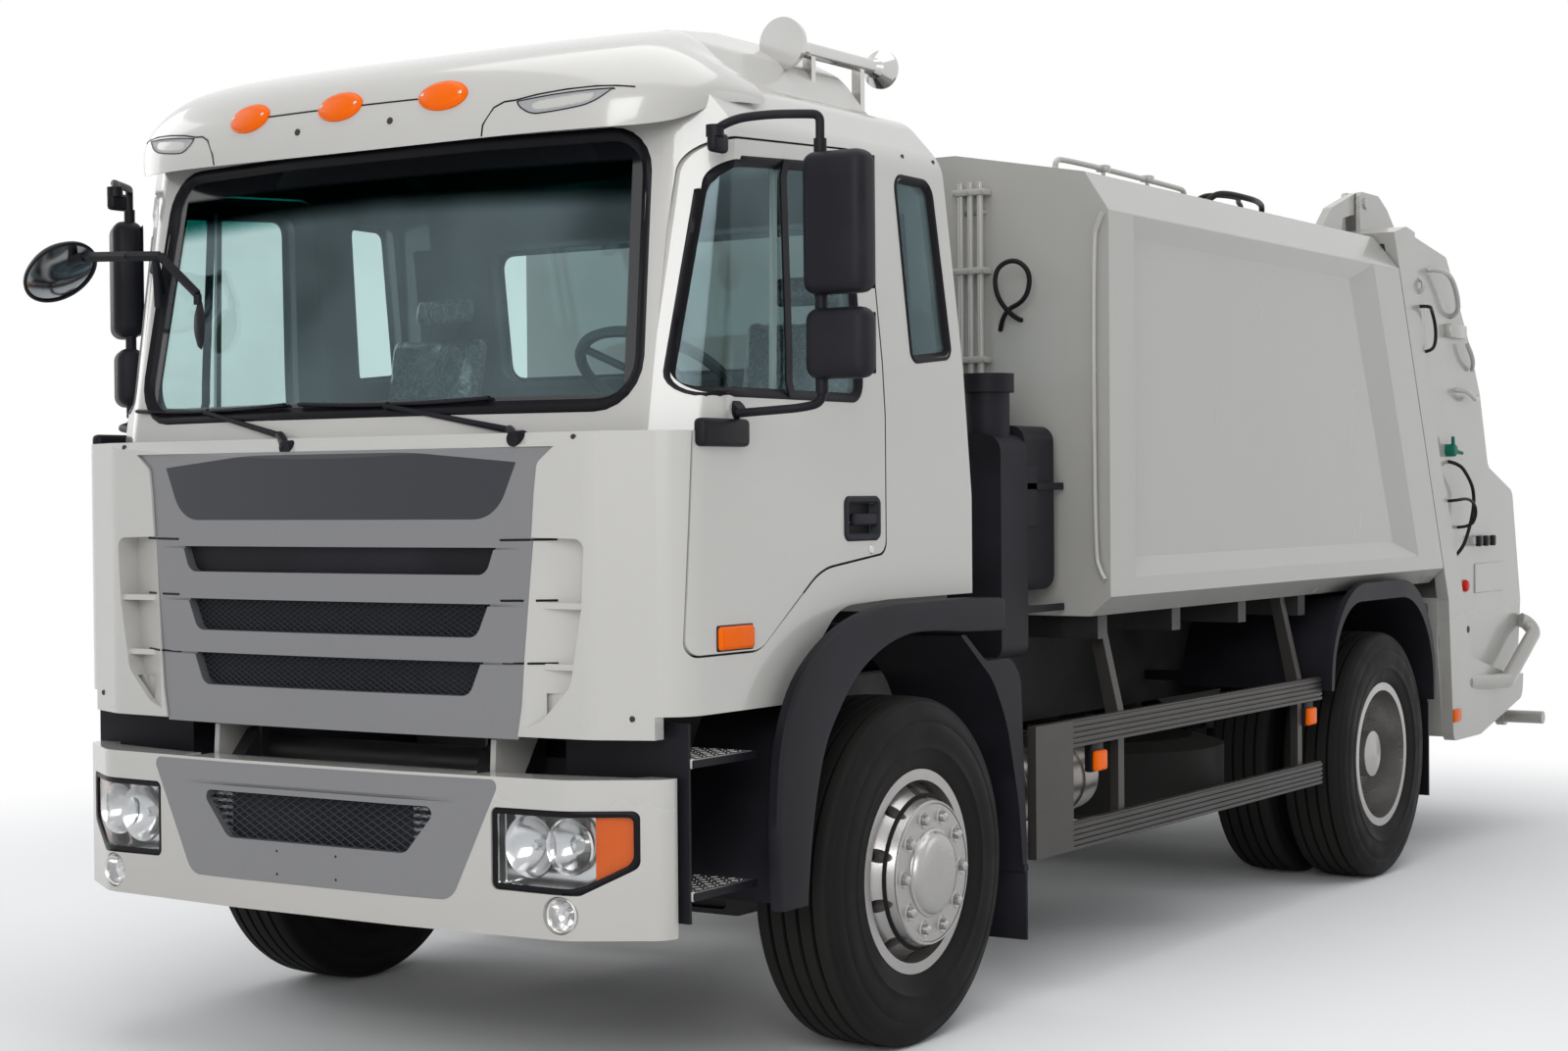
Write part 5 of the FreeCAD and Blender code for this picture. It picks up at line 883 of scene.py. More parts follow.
turn_cover = lamp_view(0.018, 0.905)
laid_on(turn_cover, lamp_skin, ahead)
moved(turn_cover, -0.018)
thickened(turn_cover, 0.004)
pair("turn_lamp", turn_cover, amber_lens, chassis_pair, "amber")

lamp_chrome = metal("lamp_chrome", (0.74, 0.73, 0.72), 1.0, 0.16, (30, 30, 30), 0.04)
tray = lamp_view(0.004)
laid_on(tray, lamp_skin, ahead)
moved(tray, -0.070)
skirt = bmesh.ops.extrude_edge_only(tray, edges=[e for e in tray.edges if e.is_boundary])["geom"]
bmesh.ops.translate(tray, vec=(0.064, 0, 0), verts=[g for g in skirt if isinstance(g, bmesh.types.BMVert)])
for bowl_y, bowl_z, bowl_r, bowl_x in ((0.722, 0.700, 0.078, 3.552), (0.838, 0.704, 0.070, 3.536)):
    focus = (bowl_x, bowl_y, bowl_z)
    bowl = [(bowl_r * k / 8, -0.052 + 0.052 * (k / 8) ** 2) for k in range(8, 0, -1)] + [(0.0, -0.052)]
    turned(tray, bowl, focus, ahead, 40)
    turned(tray, ((0.015, -0.050), (0.015, -0.028), (0.009, -0.018), (0.0, -0.016)), focus, ahead, 20)
    turned(tray, ((bowl_r, 0.0), (bowl_r + 0.004, 0.003), (bowl_r + 0.006, -0.004)), focus, ahead, 40)
block(tray, (3.478, 0.628, 0.600), (3.540, 0.634, 0.785))
pair("headlamp_reflector", tray, lamp_chrome, chassis_pair, "chrome", 25.0)
fog_place = (3.552, 0.827, 0.529)
fog = bmesh.new()
turned(
    fog,
    (
        (0.0495, -0.01), (0.0495, 0.006), (0.046, 0.010), (0.042, 0.006), (0.040, 0.0), (0.030, -0.018),
        (0.012, -0.030), (0.0, -0.030),
    ),
    fog_place, ahead, 40,
)
turned(fog, ((0.010, -0.030), (0.010, -0.012), (0.0, -0.008)), fog_place, ahead, 16)
pair("fog_lamp", fog, lamp_chrome, chassis_pair, "chrome", 25.0)
fog_glass = bmesh.new()
turned(fog_glass, ((0.043, 0.002), (0.030, 0.008), (0.0, 0.011)), fog_place, ahead, 32)
pair("fog_lens", fog_glass, clear_lens, chassis_pair, "lamp")
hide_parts("headlamps")


# Grille and bumper meshes: expanded steel sheet with diamond openings, dipped in black and
# clipped behind the slots; a dark plate closes the bumper's mouth behind its mesh.
def diamond_mesh(corners, pitch, flat, wire, lift, skin, level):
    """Diamond mesh cut to a slot's corners, bent to the surface in front of it."""
    shape = bmesh.new()
    reach = max(abs(c[0]) for c in corners) * 0.76 + 0.05
    count = round(2 * reach / pitch)
    bmesh.ops.create_grid(shape, x_segments=count, y_segments=count, size=reach)
    bmesh.ops.rotate(shape, verts=shape.verts, matrix=Matrix.Rotation(math.radians(45), 3, "Z"))
    middle = sum(c[1] for c in corners) / len(corners)
    stand = Matrix(((0, 0, 1, lift), (1.5, 0, 0, 0), (0, flat, 0, middle), (0, 0, 0, 1)))
    bmesh.ops.transform(shape, matrix=stand, verts=shape.verts)
    for (y0, z0), (y1, z1) in zip(corners, corners[1:] + corners[:1]):
        outside = Vector((0, z1 - z0, y0 - y1))
        whole = shape.verts[:] + shape.edges[:] + shape.faces[:]
        bmesh.ops.bisect_plane(shape, geom=whole, plane_co=(lift, y0, z0), plane_no=outside, clear_outer=True)
    bmesh.ops.delete(
        shape, geom=[f for f in shape.faces if f.calc_area() < pitch * pitch * 0.06], context="FACES"
    )
    bmesh.ops.wireframe(
        shape, faces=shape.faces[:], thickness=wire, use_replace=True, use_boundary=True, use_even_offset=True
    )
    laid_on(shape, skin, ahead, level)
    return shape


mesh_steel = metal("mesh_steel", (0.05, 0.055, 0.065), 0.5, 0.4, (60, 60, 60), 0.1)
grille_skin = skin_of("grille_mesh")
for number, (low, high, top_half, low_half) in enumerate(
    ((1.237, 1.327, 0.562, 0.522), (1.081, 1.173, 0.537, 0.497)), 2
):
    lattice = diamond_mesh(
        [(-low_half, low), (low_half, low), (top_half, high), (-top_half, high)], 0.0125, 0.85, 0.0022, 0.004,
        grille_skin, None
    )
    piece("grille_lattice_%d" % number, lattice, mesh_steel, "cab", "plastic_black")
mouth_skin = skin_of("bumper_centre")
mouth_corners = [(-0.330, 0.660), (0.330, 0.660), (0.443, 0.790), (-0.443, 0.790)]
lattice = diamond_mesh(mouth_corners, 0.019, 0.8, 0.0028, -0.018, mouth_skin, 0.838)
piece("bumper_lattice", lattice, mesh_steel, "chassis", "plastic_black")
mouth_plate = rounded_face([(0, y, z) for y, z in mouth_corners], 0.03)
sliced(mouth_plate, leftward, -0.44, 0.44, 0.06)
moved(mouth_plate, -0.0275)
laid_on(mouth_plate, mouth_skin, ahead, 0.838)
thickened(mouth_plate, 0.0015)
piece("bumper_mouth_plate", mouth_plate, black_plastic, "chassis", "plastic_black")


# Wipers: pressed steel arms in black, each with a knuckle on its pivot, and a rubber blade on
# a flat carrier that lies on the glass.
screen_skin = skin_of("cab_shell", "cab_glass", "grille")


def met(skin, y, z):
    """Where a line from far in front meets the skin, and the skin's direction there."""
    return skin.ray_cast(Vector((20, y, z)), Vector((-1, 0, 0)))[:2]


def on_front(y, z, height):
    """A place that stands height in front of the cab's face."""
    return Vector((met(screen_skin, y, z)[0].x + height, y, z))


wipers = bmesh.new()
rubber_blades = bmesh.new()
for pivot_y, pivot_z, joint_y, joint_z, mid_y, tip in (
    (0.690, 1.745, 0.565, 1.790, 0.137, 0.34), (-0.130, 1.735, -0.245, 1.790, -0.600, 0.34)
):
    pivot = Vector((3.508, pivot_y - 0.04, pivot_z + 0.018))
    joint = on_front(joint_y, joint_z, 0.020)
    carry = on_front(mid_y, 1.866, 0.030)
    bar(wipers, pivot - Vector((0.03, 0, 0)), pivot + Vector((0.014, 0, 0)), 0.024, 0.020, 24)
    bar(wipers, pivot + Vector((0.004, 0, 0)), joint, 0.0165, 0.0135, 12)
    bar(wipers, joint, carry, 0.0095, 0.006, 12)
    bar(wipers, carry + Vector((0, 0, -0.004)), carry + Vector((-0.016, 0, 0.004)), 0.008, None, 12)
    for reach in range(-5, 5):
        ends = [
            on_front(mid_y + tip * k / 5, 1.868 + 0.010 * (k / 5) ** 2, 0.010) for k in (reach, reach + 1)
        ]
        bar(wipers, ends[0] + Vector((0.006, 0, 0)), ends[1] + Vector((0.006, 0, 0)), 0.0048, None, 8)
        bar(rubber_blades, ends[0], ends[1], 0.0065, None, 8)
wiper_arms = piece("wiper_arms", wipers, black_plastic, "cab", "plastic_black")
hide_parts("wipers")
piece("wiper_blades", rubber_blades, seal_rubber, "cab", "plastic_black")


# Door mirrors: blow-moulded black housings with rounded edges on a bent steel tube, each with
# a flat glass at its back. The right pair is folded in towards the cab.
mirror_glass = metal("mirror_glass", (0.55, 0.58, 0.60), 1.0, 0.12, (4, 4, 4), 0.01)
left_post = Vector((3.12, 1.360, 0))
for side, name, body in ((1, "left", "left_door"), (-1, "right", "right_door")):
    fold = Matrix.Identity(4)
    shift = Vector((0, 0, 0))
    if side < 0:
        shift = Vector((-0.081, -0.053, 0))
        fold = (
            Matrix.Translation(left_post + shift)
            @ Matrix.Rotation(math.radians(38), 4, "Z")
            @ Matrix.Translation(-left_post)
        )
    heads = bmesh.new()
    glasses = bmesh.new()
    for low, high, depth in ((2.130, 2.500, 0.055), (1.910, 2.095, 0.045)):
        block(heads, (3.080, 1.325, low), (3.120 + depth, 1.515, high), 0.034, 5, fold)
        block(heads, (3.0795, 1.338, low + 0.013), (3.084, 1.502, high - 0.013), 0.0018, 1, fold)
        block(glasses, (3.0785, 1.346, low + 0.021), (3.0805, 1.494, high - 0.021), 0.0006, 1, fold)
    for z in (1.895, 2.1125, 2.515):
        bar(
            heads, left_post + shift + Vector((0, 0, z - 0.022)),
            left_post + shift + Vector((0, 0, z + 0.022)), 0.017,
        )
    bar(heads, (3.165, 1.090, 1.815), (3.165, 1.130, 1.848), 0.026, 0.022)
    block(heads, (3.136, 1.108, 1.738), (3.352, 1.148, 1.812), 0.014, 3)
    block(heads, (3.216, 1.112, 2.504), (3.286, 1.142, 2.556), 0.012, 3)
    bar(heads, (3.262, 1.126, 2.545), (3.262, 1.126, 2.575), 0.024)
    post = left_post + shift
    route = [
        (3.262, 1.126, 2.560), (3.235, 1.150, 2.590), (3.205, post.y - 0.11, 2.599),
        (3.150 + shift.x, post.y - 0.03, 2.600),
        (post.x, post.y, 2.600), (post.x, post.y, 2.560), (post.x, post.y, 2.300), (post.x, post.y, 1.900),
        (post.x, post.y, 1.850), (3.135, post.y - 0.05, 1.838), (3.170, post.y - 0.12, 1.832),
        (3.190, 1.140, 1.826),
    ]
    if side < 0:
        heads_right = other_side(heads)
        glasses_right = other_side(glasses)
        heads.free()
        glasses.free()
        heads, glasses = heads_right, glasses_right
        route = [(x, -y, z) for x, y, z in route]
    housing = piece("mirror_housings_" + name, heads, black_plastic, body, "plastic_black", 40.0)
    piece("mirror_glasses_" + name, glasses, mirror_glass, body, "glass")
    curve_line("mirror_tube_" + name, route, 0.0118, black_plastic, body)
    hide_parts("door_mirrors_" + name)


# Sun visor: a one-piece moulding in the cab's colour that wraps round the roof's front. It is
# shaped as a net of eight lines from the middle to the side, which is smoothed and thickened.
visor_lines = (
    "3.487 0 2.565  3.478 .30 2.567  3.445 .60 2.574  3.395 .80 2.579  3.350 .90 2.583  3.290 .965 2.592 "
    "3.220 1.010 2.612  3.150 1.035 2.650  3.050 1.048 2.672  2.917 1.052 2.675",
    "3.490 0 2.610  3.482 .30 2.612  3.448 .60 2.615  3.398 .80 2.620  3.352 .905 2.630  3.292 .972 2.640 "
    "3.222 1.015 2.655  3.150 1.038 2.675  3.050 1.050 2.685  2.917 1.053 2.687",
    "3.478 0 2.665  3.470 .30 2.665  3.435 .60 2.668  3.388 .80 2.680  3.345 .900 2.685  3.285 .970 2.690 "
    "3.215 1.012 2.698  3.145 1.036 2.703  3.050 1.049 2.703  2.917 1.051 2.702",
    "3.448 0 2.735  3.440 .30 2.735  3.405 .60 2.738  3.350 .80 2.745  3.305 .890 2.748  3.250 .950 2.748 "
    "3.180 .992 2.745  3.115 1.014 2.742  3.030 1.024 2.738  2.917 1.024 2.732",
    "3.385 0 2.800  3.378 .30 2.803  3.335 .60 2.807  3.272 .80 2.810  3.228 .872 2.808  3.182 .918 2.805 "
    "3.125 .950 2.800  3.070 .966 2.793  3.000 .972 2.783  2.917 .972 2.770",
    "3.260 0 2.850  3.255 .30 2.850  3.225 .60 2.852  3.180 .79 2.850  3.150 .845 2.847  3.120 .875 2.842 "
    "3.080 .892 2.836  3.040 .902 2.828  2.990 .907 2.818  2.917 .907 2.806",
    "3.060 0 2.894  3.060 .30 2.894  3.050 .60 2.895  3.030 .76 2.892  3.020 .80 2.888  3.010 .825 2.883 "
    "2.995 .840 2.878  2.980 .850 2.873  2.960 .855 2.867  2.917 .857 2.860",
    "2.917 0 2.919  2.917 .30 2.919  2.917 .60 2.919  2.917 .72 2.916  2.917 .755 2.911  2.917 .775 2.906 "
    "2.917 .790 2.900  2.917 .800 2.895  2.917 .808 2.890  2.917 .815 2.884",
)
net = bmesh.new()
bmesh.ops.create_grid(net, x_segments=18, y_segments=7, size=1.0)
for corner in net.verts:
    column = round((corner.co.x + 1) * 9) - 9
    line = [float(value) for value in visor_lines[round((corner.co.y + 1) * 3.5)].split()]
    x, y, z = line[abs(column) * 3 : abs(column) * 3 + 3]
    corner.co = (x, y if column > 0 else -y, z)
bmesh.ops.recalc_face_normals(net, faces=net.faces)
if sum(face.normal.x for face in net.faces) < 0:
    bmesh.ops.reverse_faces(net, faces=net.faces)
visor = piece("visor_moulding", net, cab_paint, "cab", "cab_white", 180.0)
rounding = visor.modifiers.new("rounding", "SUBSURF")
rounding.levels = rounding.render_levels = 3
thick = visor.modifiers.new("thick", "SOLIDIFY")
thick.thickness = 0.010
thick.offset = -1
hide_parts("sun_visor")
bpy.context.view_layer.update()
visor_skin = BVHTree.FromObject(visor, bpy.context.evaluated_depsgraph_get())


# Visor fittings: almond-shaped clear lamps let into the corners under a shallow brow, oval
# amber marker lamps on a pressed line, and the bolts that hold the visor.
def seated(shape, skin, y, z, lift=0.0):
    """Moves a shape made round the X axis to its place on the cab's face."""
    hit, normal = met(skin, y, z)
    turn = Vector((1, 0, 0)).rotation_difference(normal).to_matrix().to_4x4()
    bmesh.ops.transform(shape, matrix=Matrix.Translation(hit + normal * lift) @ turn, verts=shape.verts)
    return shape


def domed(profile, steps, aside=0.0):
    """A small round part made round the X axis at the origin, ready to be seated."""
    shape = bmesh.new()
    turned(shape, profile, (0, aside, 0), ahead, steps)
    return shape


def joined(whole, part):
    """Adds a copy of the part's mesh to the whole."""
    spare = bpy.data.meshes.new("spare")
    part.to_mesh(spare)
    part.free()
    whole.from_mesh(spare)
    bpy.data.meshes.remove(spare)


pale_lens = lens_plastic("pale_lens", (0.36, 0.365, 0.37), 0.12)
visor_outline = (
    (0.0, 0.600, 2.664, 0.006), (0.0, 0.612, 2.645, 0.01), (0.0, 0.650, 2.622, 0.02),
    (0.0, 0.740, 2.628, 0.05), (0.0, 0.820, 2.643, 0.03), (0.0, 0.872, 2.686, 0.008),
    (0.0, 0.740, 2.682, 0.09),
)
visor_rim = faced(visor_outline, 0.01, ahead)
visor_lens = visor_rim.copy()
ring_from(visor_rim, 0.0045, 0.0025)
sliced(visor_rim, leftward, 0.60, 0.88, 0.02)
laid_on(visor_rim, visor_skin, ahead)
pair("visor_lamp_rim", visor_rim, seal_rubber, ("cab", "cab"), "plastic_black")
sliced(visor_lens, leftward, 0.60, 0.88, 0.02)
laid_on(visor_lens, visor_skin, ahead)
moved(visor_lens, 0.0012)
thickened(visor_lens, 0.002)
pair("visor_lamp", visor_lens, pale_lens, ("cab", "cab"), "lamp")
screws = bmesh.new()
for y, z in ((-0.146, 2.637), (0.196, 2.640)):
    bolt = domed(((0.0095, -0.002), (0.0095, 0.003), (0.0065, 0.0045), (0.0, 0.0045)), 16)
    joined(screws, seated(bolt, visor_skin, y, z))
corner_skin = skin_of("cab_shell")
for y, z in ((0.836, 1.765), (-0.836, 1.765), (0.985, 1.035), (-0.985, 1.035)):
    hit = met(corner_skin, y, z)[0]
    turned(screws, ((0.008, -0.002), (0.008, 0.002), (0.006, 0.0035), (0.0, 0.0035)), hit, ahead, 16)
for x, z in ((2.235, 2.606), (2.051, 2.608)):
    for side in (1, -1):
        hit = corner_skin.ray_cast(Vector((x, 20 * side, z)), Vector((0, -side, 0)))[0]
        turned(screws, ((0.007, -0.002), (0.007, 0.002), (0.0, 0.003)), hit, (0, side, 0), 16)
piece("cab_screws", screws, cast_iron, "cab", "chassis_black")
# Thin dark rubber bars along the pressed line between the marker lamps, and along each lamp's brow and
# crease: painted shade standing for the shadow in these grooves.
groove_shade = bmesh.new()
visor_groove_shade = [[(y / 20, 2.6945) for y in range(-6, 7)]]
brow_shade_lines = (
    ((0.598, 2.666), (0.565, 2.664), (0.535, 2.650), (0.505, 2.605), (0.50, 2.575)),
    ((0.598, 2.666), (0.66, 2.6775), (0.74, 2.6865), (0.82, 2.691), (0.872, 2.690), (0.915, 2.686)),
)
for side in (1, -1):
    for line in brow_shade_lines:
        visor_groove_shade.append([(side * y, z) for y, z in line])
for route in visor_groove_shade:
    spots = [met(visor_skin, y, z)[0] for y, z in route]
    for start, end in zip(spots, spots[1:]):
        bar(groove_shade, start, end, 0.0026, None, 8)
piece("visor_groove_shade", groove_shade, seal_rubber, "cab", "plastic_black")
markers = bmesh.new()
marker_rims = bmesh.new()
marker_screws = bmesh.new()
marker_height = 2.697
for y in (-0.361, 0.0, 0.361):
    dome = domed(((0.076, -0.004), (0.076, 0.004), (0.070, 0.010), (0.050, 0.0155), (0.0, 0.018)), 48)
    rim = domed(((0.0805, -0.006), (0.0805, 0.0035), (0.0755, 0.0045), (0.0745, -0.002)), 48)
    for shape in (dome, rim):
        bmesh.ops.scale(shape, vec=(1, 1, 0.56), verts=shape.verts)
    joined(markers, seated(dome, visor_skin, y, marker_height))
    joined(marker_rims, seated(rim, visor_skin, y, marker_height))
    for aside in (-0.062, 0.062):
        screw = domed(((0.0055, 0.004), (0.0055, 0.0125), (0.004, 0.0135), (0.0, 0.0135)), 14, aside)
        joined(marker_screws, seated(screw, visor_skin, y, marker_height))
marker_piece = piece("marker_lenses", markers, amber_lens, "cab", "amber", 50.0)
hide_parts("marker_lamps")
piece("marker_lamp_rims", marker_rims, amber_lens, "cab", "amber")
piece("marker_lamp_screws", marker_screws, chrome, "cab", "chrome")


# Cab inside: moulded dark lining on the roof, back wall and doors, an instrument hood, air
# vents, three levers with round knobs and a padded steering wheel hub.
def lining(name, low, high, outward, reach, skin, body, lift=0.006):
    """A thin lining panel laid on the cab's inner face."""
    out = Vector(outward)
    low, high = Vector(low), Vector(high)
    shape = bmesh.new()
    bmesh.ops.create_grid(shape, x_segments=14, y_segments=14, size=0.5)
    if abs(out.x) > 0.5:
        stand = Matrix(((0, 0, 1, 0), (1, 0, 0, 0), (0, 1, 0, 0), (0, 0, 0, 1)))
    elif abs(out.y) > 0.5:
        stand = Matrix(((1, 0, 0, 0), (0, 0, 1, 0), (0, 1, 0, 0), (0, 0, 0, 1)))
    else:
        stand = Matrix.Identity(4)
    bmesh.ops.transform(shape, matrix=stand, verts=shape.verts)
    bmesh.ops.scale(shape, vec=high - low, verts=shape.verts)
    moved(shape, *((high + low) / 2))
    missed = []
    for corner in shape.verts:
        across = corner.co - out * corner.co.dot(out)
        hit = skin.ray_cast(across + out * reach, -out, 2.0)[0]
        if hit:
            corner.co = across + out * (hit.dot(out) + lift)
        else:
            missed.append(corner)
    bmesh.ops.delete(shape, geom=missed, context="VERTS")
    thickened(shape, 0.003)
    return piece(name, shape, cab_plastic, body, "cab_plastic")


shell_skin = skin_of("cab_shell")
left_skin = skin_of("door_left")
right_skin = skin_of("door_right")
for name, low, high, outward, reach, skin, body in (
    ("roof_lining", (2.08, -0.86, 0), (3.10, 0.86, 0), (0, 0, -1), -2.35, shell_skin, "cab"),
    ("back_lining_low", (0, -0.98, 1.45), (0, 0.98, 1.985), ahead, 2.5, shell_skin, "cab"),
    ("back_lining_left", (0, 0.655, 1.985), (0, 0.98, 2.46), ahead, 2.5, shell_skin, "cab"),
    ("back_lining_right", (0, -0.98, 1.985), (0, -0.655, 2.46), ahead, 2.5, shell_skin, "cab"),
    ("back_lining_top", (0, -0.90, 2.455), (0, 0.90, 2.60), ahead, 2.5, shell_skin, "cab"),
    ("door_card_left", (2.46, 0, 1.50), (3.30, 0, 1.86), (0, -1, 0), -0.5, left_skin, "left_door"),
    ("door_card_right", (2.46, 0, 1.50), (3.30, 0, 1.86), leftward, -0.5, right_skin, "right_door"),
):
    lining(name, low, high, outward, reach, skin, body)
trim = bmesh.new()
block(trim, (2.985, 0.50, 1.800), (3.160, 0.94, 1.872), 0.028, 4)
block(trim, (2.972, -0.28, 1.590), (3.010, 0.30, 1.780), 0.016, 3)
for y in (-0.80, -0.58, 0.36):
    block(trim, (2.972, y, 1.720), (3.000, y + 0.14, 1.780), 0.008, 2)
for k in range(3):
    bar(trim, (2.62, 0.30 - k * 0.07, 1.40), (2.66 + k * 0.01, 0.32 - k * 0.07, 1.72), 0.008, None, 12)
    bmesh.ops.create_icosphere(
        trim, subdivisions=2, radius=0.024,
        matrix=Matrix.Translation((2.66 + k * 0.01, 0.32 - k * 0.07, 1.73)),
    )
block(trim, (2.30, -0.40, 1.486), (2.75, 0.36, 1.560), 0.025, 3)
piece("dashboard_trim", trim, cab_plastic, "cab", "cab_plastic")
hub_pad = bmesh.new()
turned(
    hub_pad, ((0.078, -0.004), (0.078, 0.014), (0.066, 0.024), (0.030, 0.030), (0.0, 0.031)), (0, 0, 0),
    upward, 40,
)
lean = Matrix.Translation((2.97, 0.72, 1.94)) @ Matrix.Rotation(math.radians(-32), 4, "Y")
bmesh.ops.transform(hub_pad, matrix=lean, verts=hub_pad.verts)
piece("steering_wheel_pad", hub_pad, cab_plastic, "hand_wheel", "cab_plastic")


# Seats: foam cushions in dark woven cloth on black boxes, still in their clear film, which
# lies in shallow creases. Base, back and headrest are separate pads.
seat_finish = Finish("seat_cloth_in_film")
weave = seat_finish.node(
    "ShaderNodeTexWave", {"bands_direction": "DIAGONAL"},
    {"Vector": seat_finish.place, "Scale": 160.0, "Distortion": 1.0},
)
warped = seat_finish.node(
    "ShaderNodeTexNoise", sockets={"Vector": seat_finish.place, "Scale": 9.0, "Detail": 2.0}, out="Color"
)
creases = seat_finish.node(
    "ShaderNodeTexVoronoi", {"feature": "DISTANCE_TO_EDGE"}, {"Vector": warped, "Scale": 9.0}
)
# Along the film's crease lines the cloth's colour is lightened towards pale teal: a painted sheen on the
# film. The crease relief and the lower roughness there come from bump and roughness.
film = seat_finish.ramp(creases, 0.0, 0.12, 1.0, 0.0)
seat_cloth = seat_finish.done(
    seat_finish.shader(
        Base_Color=seat_finish.mixed(
            film * 0.5, seat_finish.mixed(weave * 0.4, colour(0.055, 0.07, 0.072), colour(0.09, 0.11, 0.11)),
            colour(0.34, 0.40, 0.40),
        ),
        Roughness=seat_finish.ramp(film, 0.0, 1.0, 0.5, 0.2),
        Coat_Weight=0.6,
        Coat_Roughness=0.15,
        Normal=seat_finish.bump(film + weave * 0.1, 0.5, 0.004),
    )
)


most_swell = 0.016


def stuffed(name, low, high, lean_by, edge):
    """A foam pad: a rounded block that is filled out by a short cloth run."""
    shape = bmesh.new()
    centre = (Vector(low) + Vector(high)) / 2
    turn = (
        Matrix.Translation(centre)
        @ Matrix.Rotation(math.radians(lean_by), 4, "Y")
        @ Matrix.Translation(-centre)
    )
    block(shape, low, high, edge, 3, turn)
    pad = piece(name, shape, seat_cloth, "cab", "seat_fabric", 180.0)
    pad.parent = None
    for other in scene.objects:
        other.select_set(other == pad)
    bpy.context.view_layer.objects.active = pad
    remesh = pad.modifiers.new("fine", "REMESH")
    remesh.mode = "VOXEL"
    remesh.voxel_size = 0.009
    bpy.ops.object.modifier_apply(modifier=remesh.name)
    start = [corner.co.copy() for corner in pad.data.vertices]
    cloth = pad.modifiers.new("fill", "CLOTH")
    cloth.settings.use_pressure = True
    cloth.settings.uniform_pressure_force = 4.0
    cloth.settings.effector_weights.gravity = 0.0
    cloth.point_cache.frame_start = 1
    cloth.point_cache.frame_end = 20
    for step in range(1, 21):
        scene.frame_set(step)
    bpy.ops.object.modifier_apply(modifier=cloth.name)
    scene.frame_set(1)
    for corner, before in zip(pad.data.vertices, start):
        swell = corner.co - before
        if swell.length > most_swell:
            corner.co = before + swell.normalized() * most_swell
    smooth = pad.modifiers.new("smooth", "SUBSURF")
    smooth.levels = smooth.render_levels = 1
    bpy.ops.object.modifier_apply(modifier=smooth.name)
    for face in pad.data.polygons:
        face.use_smooth = True
    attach(pad, "cab")
    return pad


for side, name in ((1, "left"), (-1, "right")):
    inner, outer = sorted((side * 0.505, side * 0.935))
    cushion = stuffed("seat_cushion_" + name, (2.300, inner, 1.640), (2.735, outer, 1.720), 2, 0.035)
    stuffed("seat_back_" + name, (2.215, inner + 0.01, 1.765), (2.290, outer - 0.01, 2.150), -11, 0.033)
    stuffed("seat_headrest_" + name, (2.165, inner + 0.10, 2.185), (2.225, outer - 0.10, 2.275), -11, 0.025)
    seat_box = bmesh.new()
    block(seat_box, (2.34, inner + 0.06, 1.362), (2.66, outer - 0.06, 1.625), 0.012, 2)
    for y in (inner + 0.15, outer - 0.15):
        bar(seat_box, (2.222, y, 2.12), (2.190, y, 2.22), 0.006, None, 10)
    piece("seat_box_" + name, seat_box, cab_plastic, "cab", "plastic_black")
    if side > 0:
        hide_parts("seats")


# Grille seams: the thin dark joints between the grille's moulded bars, from each air slot's
# upper corners out to the grille's sides.
grille_skin = skin_of("grille", "cab_shell")
joints = bmesh.new()
for z in (1.497, 1.337, 1.172):
    for side in (1, -1):
        spots = [(side * (0.60 + k * 0.018), z + 0.002 * k / 9) for k in range(10)]
        hits = [met(grille_skin, y, height)[0] for y, height in spots]
        for start, end in zip(hits, hits[1:]):
            if abs(start.x - end.x) < 0.02:
                bar(joints, start, end, 0.0032, None, 8)
piece("grille_joints", joints, seal_rubber, "cab", "plastic_black")


# Step treads: pressed aluminium chequer plate with a bright folded front edge, screwed on the
# black step boxes. Its raised bars stand in pairs that turn from one pair to the next.
treads = bmesh.new()
tread_back = 3.085
plate_top = 0.0022
for side in (1, -1):
    for z in (0.580, 0.925):
        low_y, high_y = sorted((side * 0.80, side * 1.106))
        block(treads, (tread_back, low_y, z - 0.001), (3.356, high_y, z + plate_top), 0.001, 1)
        block(treads, (3.350, low_y, z - 0.022), (3.364, high_y, z + 0.0045), 0.003, 2)
        for row in range(9):
            for column in range(10):
                x = tread_back + 0.022 + row * 0.028
                spot = Vector((x, low_y + 0.020 + column * 0.029, z + plate_top))
                turn = math.radians(45 if (row + column) % 2 else -45)
                reach = Vector((math.cos(turn), math.sin(turn), 0)) * 0.009
                bar(treads, spot - reach, spot + reach, 0.0024, None, 6)
tread_metal = metal("tread_metal", (0.52, 0.52, 0.51), 0.9, 0.32, (40, 40, 40), 0.3)
piece("step_treads", treads, tread_metal, "cab", "aluminium")


# Side marker lamps: moulded amber lenses on black plastic bases, two on each flank, fixed at
# the side guards.
bases = bmesh.new()
lenses = bmesh.new()
for x in (1.151, -0.716):
    for side in (1, -1):
        edges = sorted((side * 1.150, side * 1.180))
        block(bases, (x - 0.046, edges[0], 0.688), (x + 0.046, edges[1], 0.788), 0.008, 2)
        edges = sorted((side * 1.176, side * 1.197))
        block(lenses, (x - 0.042, edges[0], 0.692), (x + 0.042, edges[1], 0.760), 0.009, 3)
piece("guard_lamp_bases", bases, black_plastic, "chassis", "plastic_black")
piece("guard_lamps", lenses, amber_lens, "chassis", "amber")


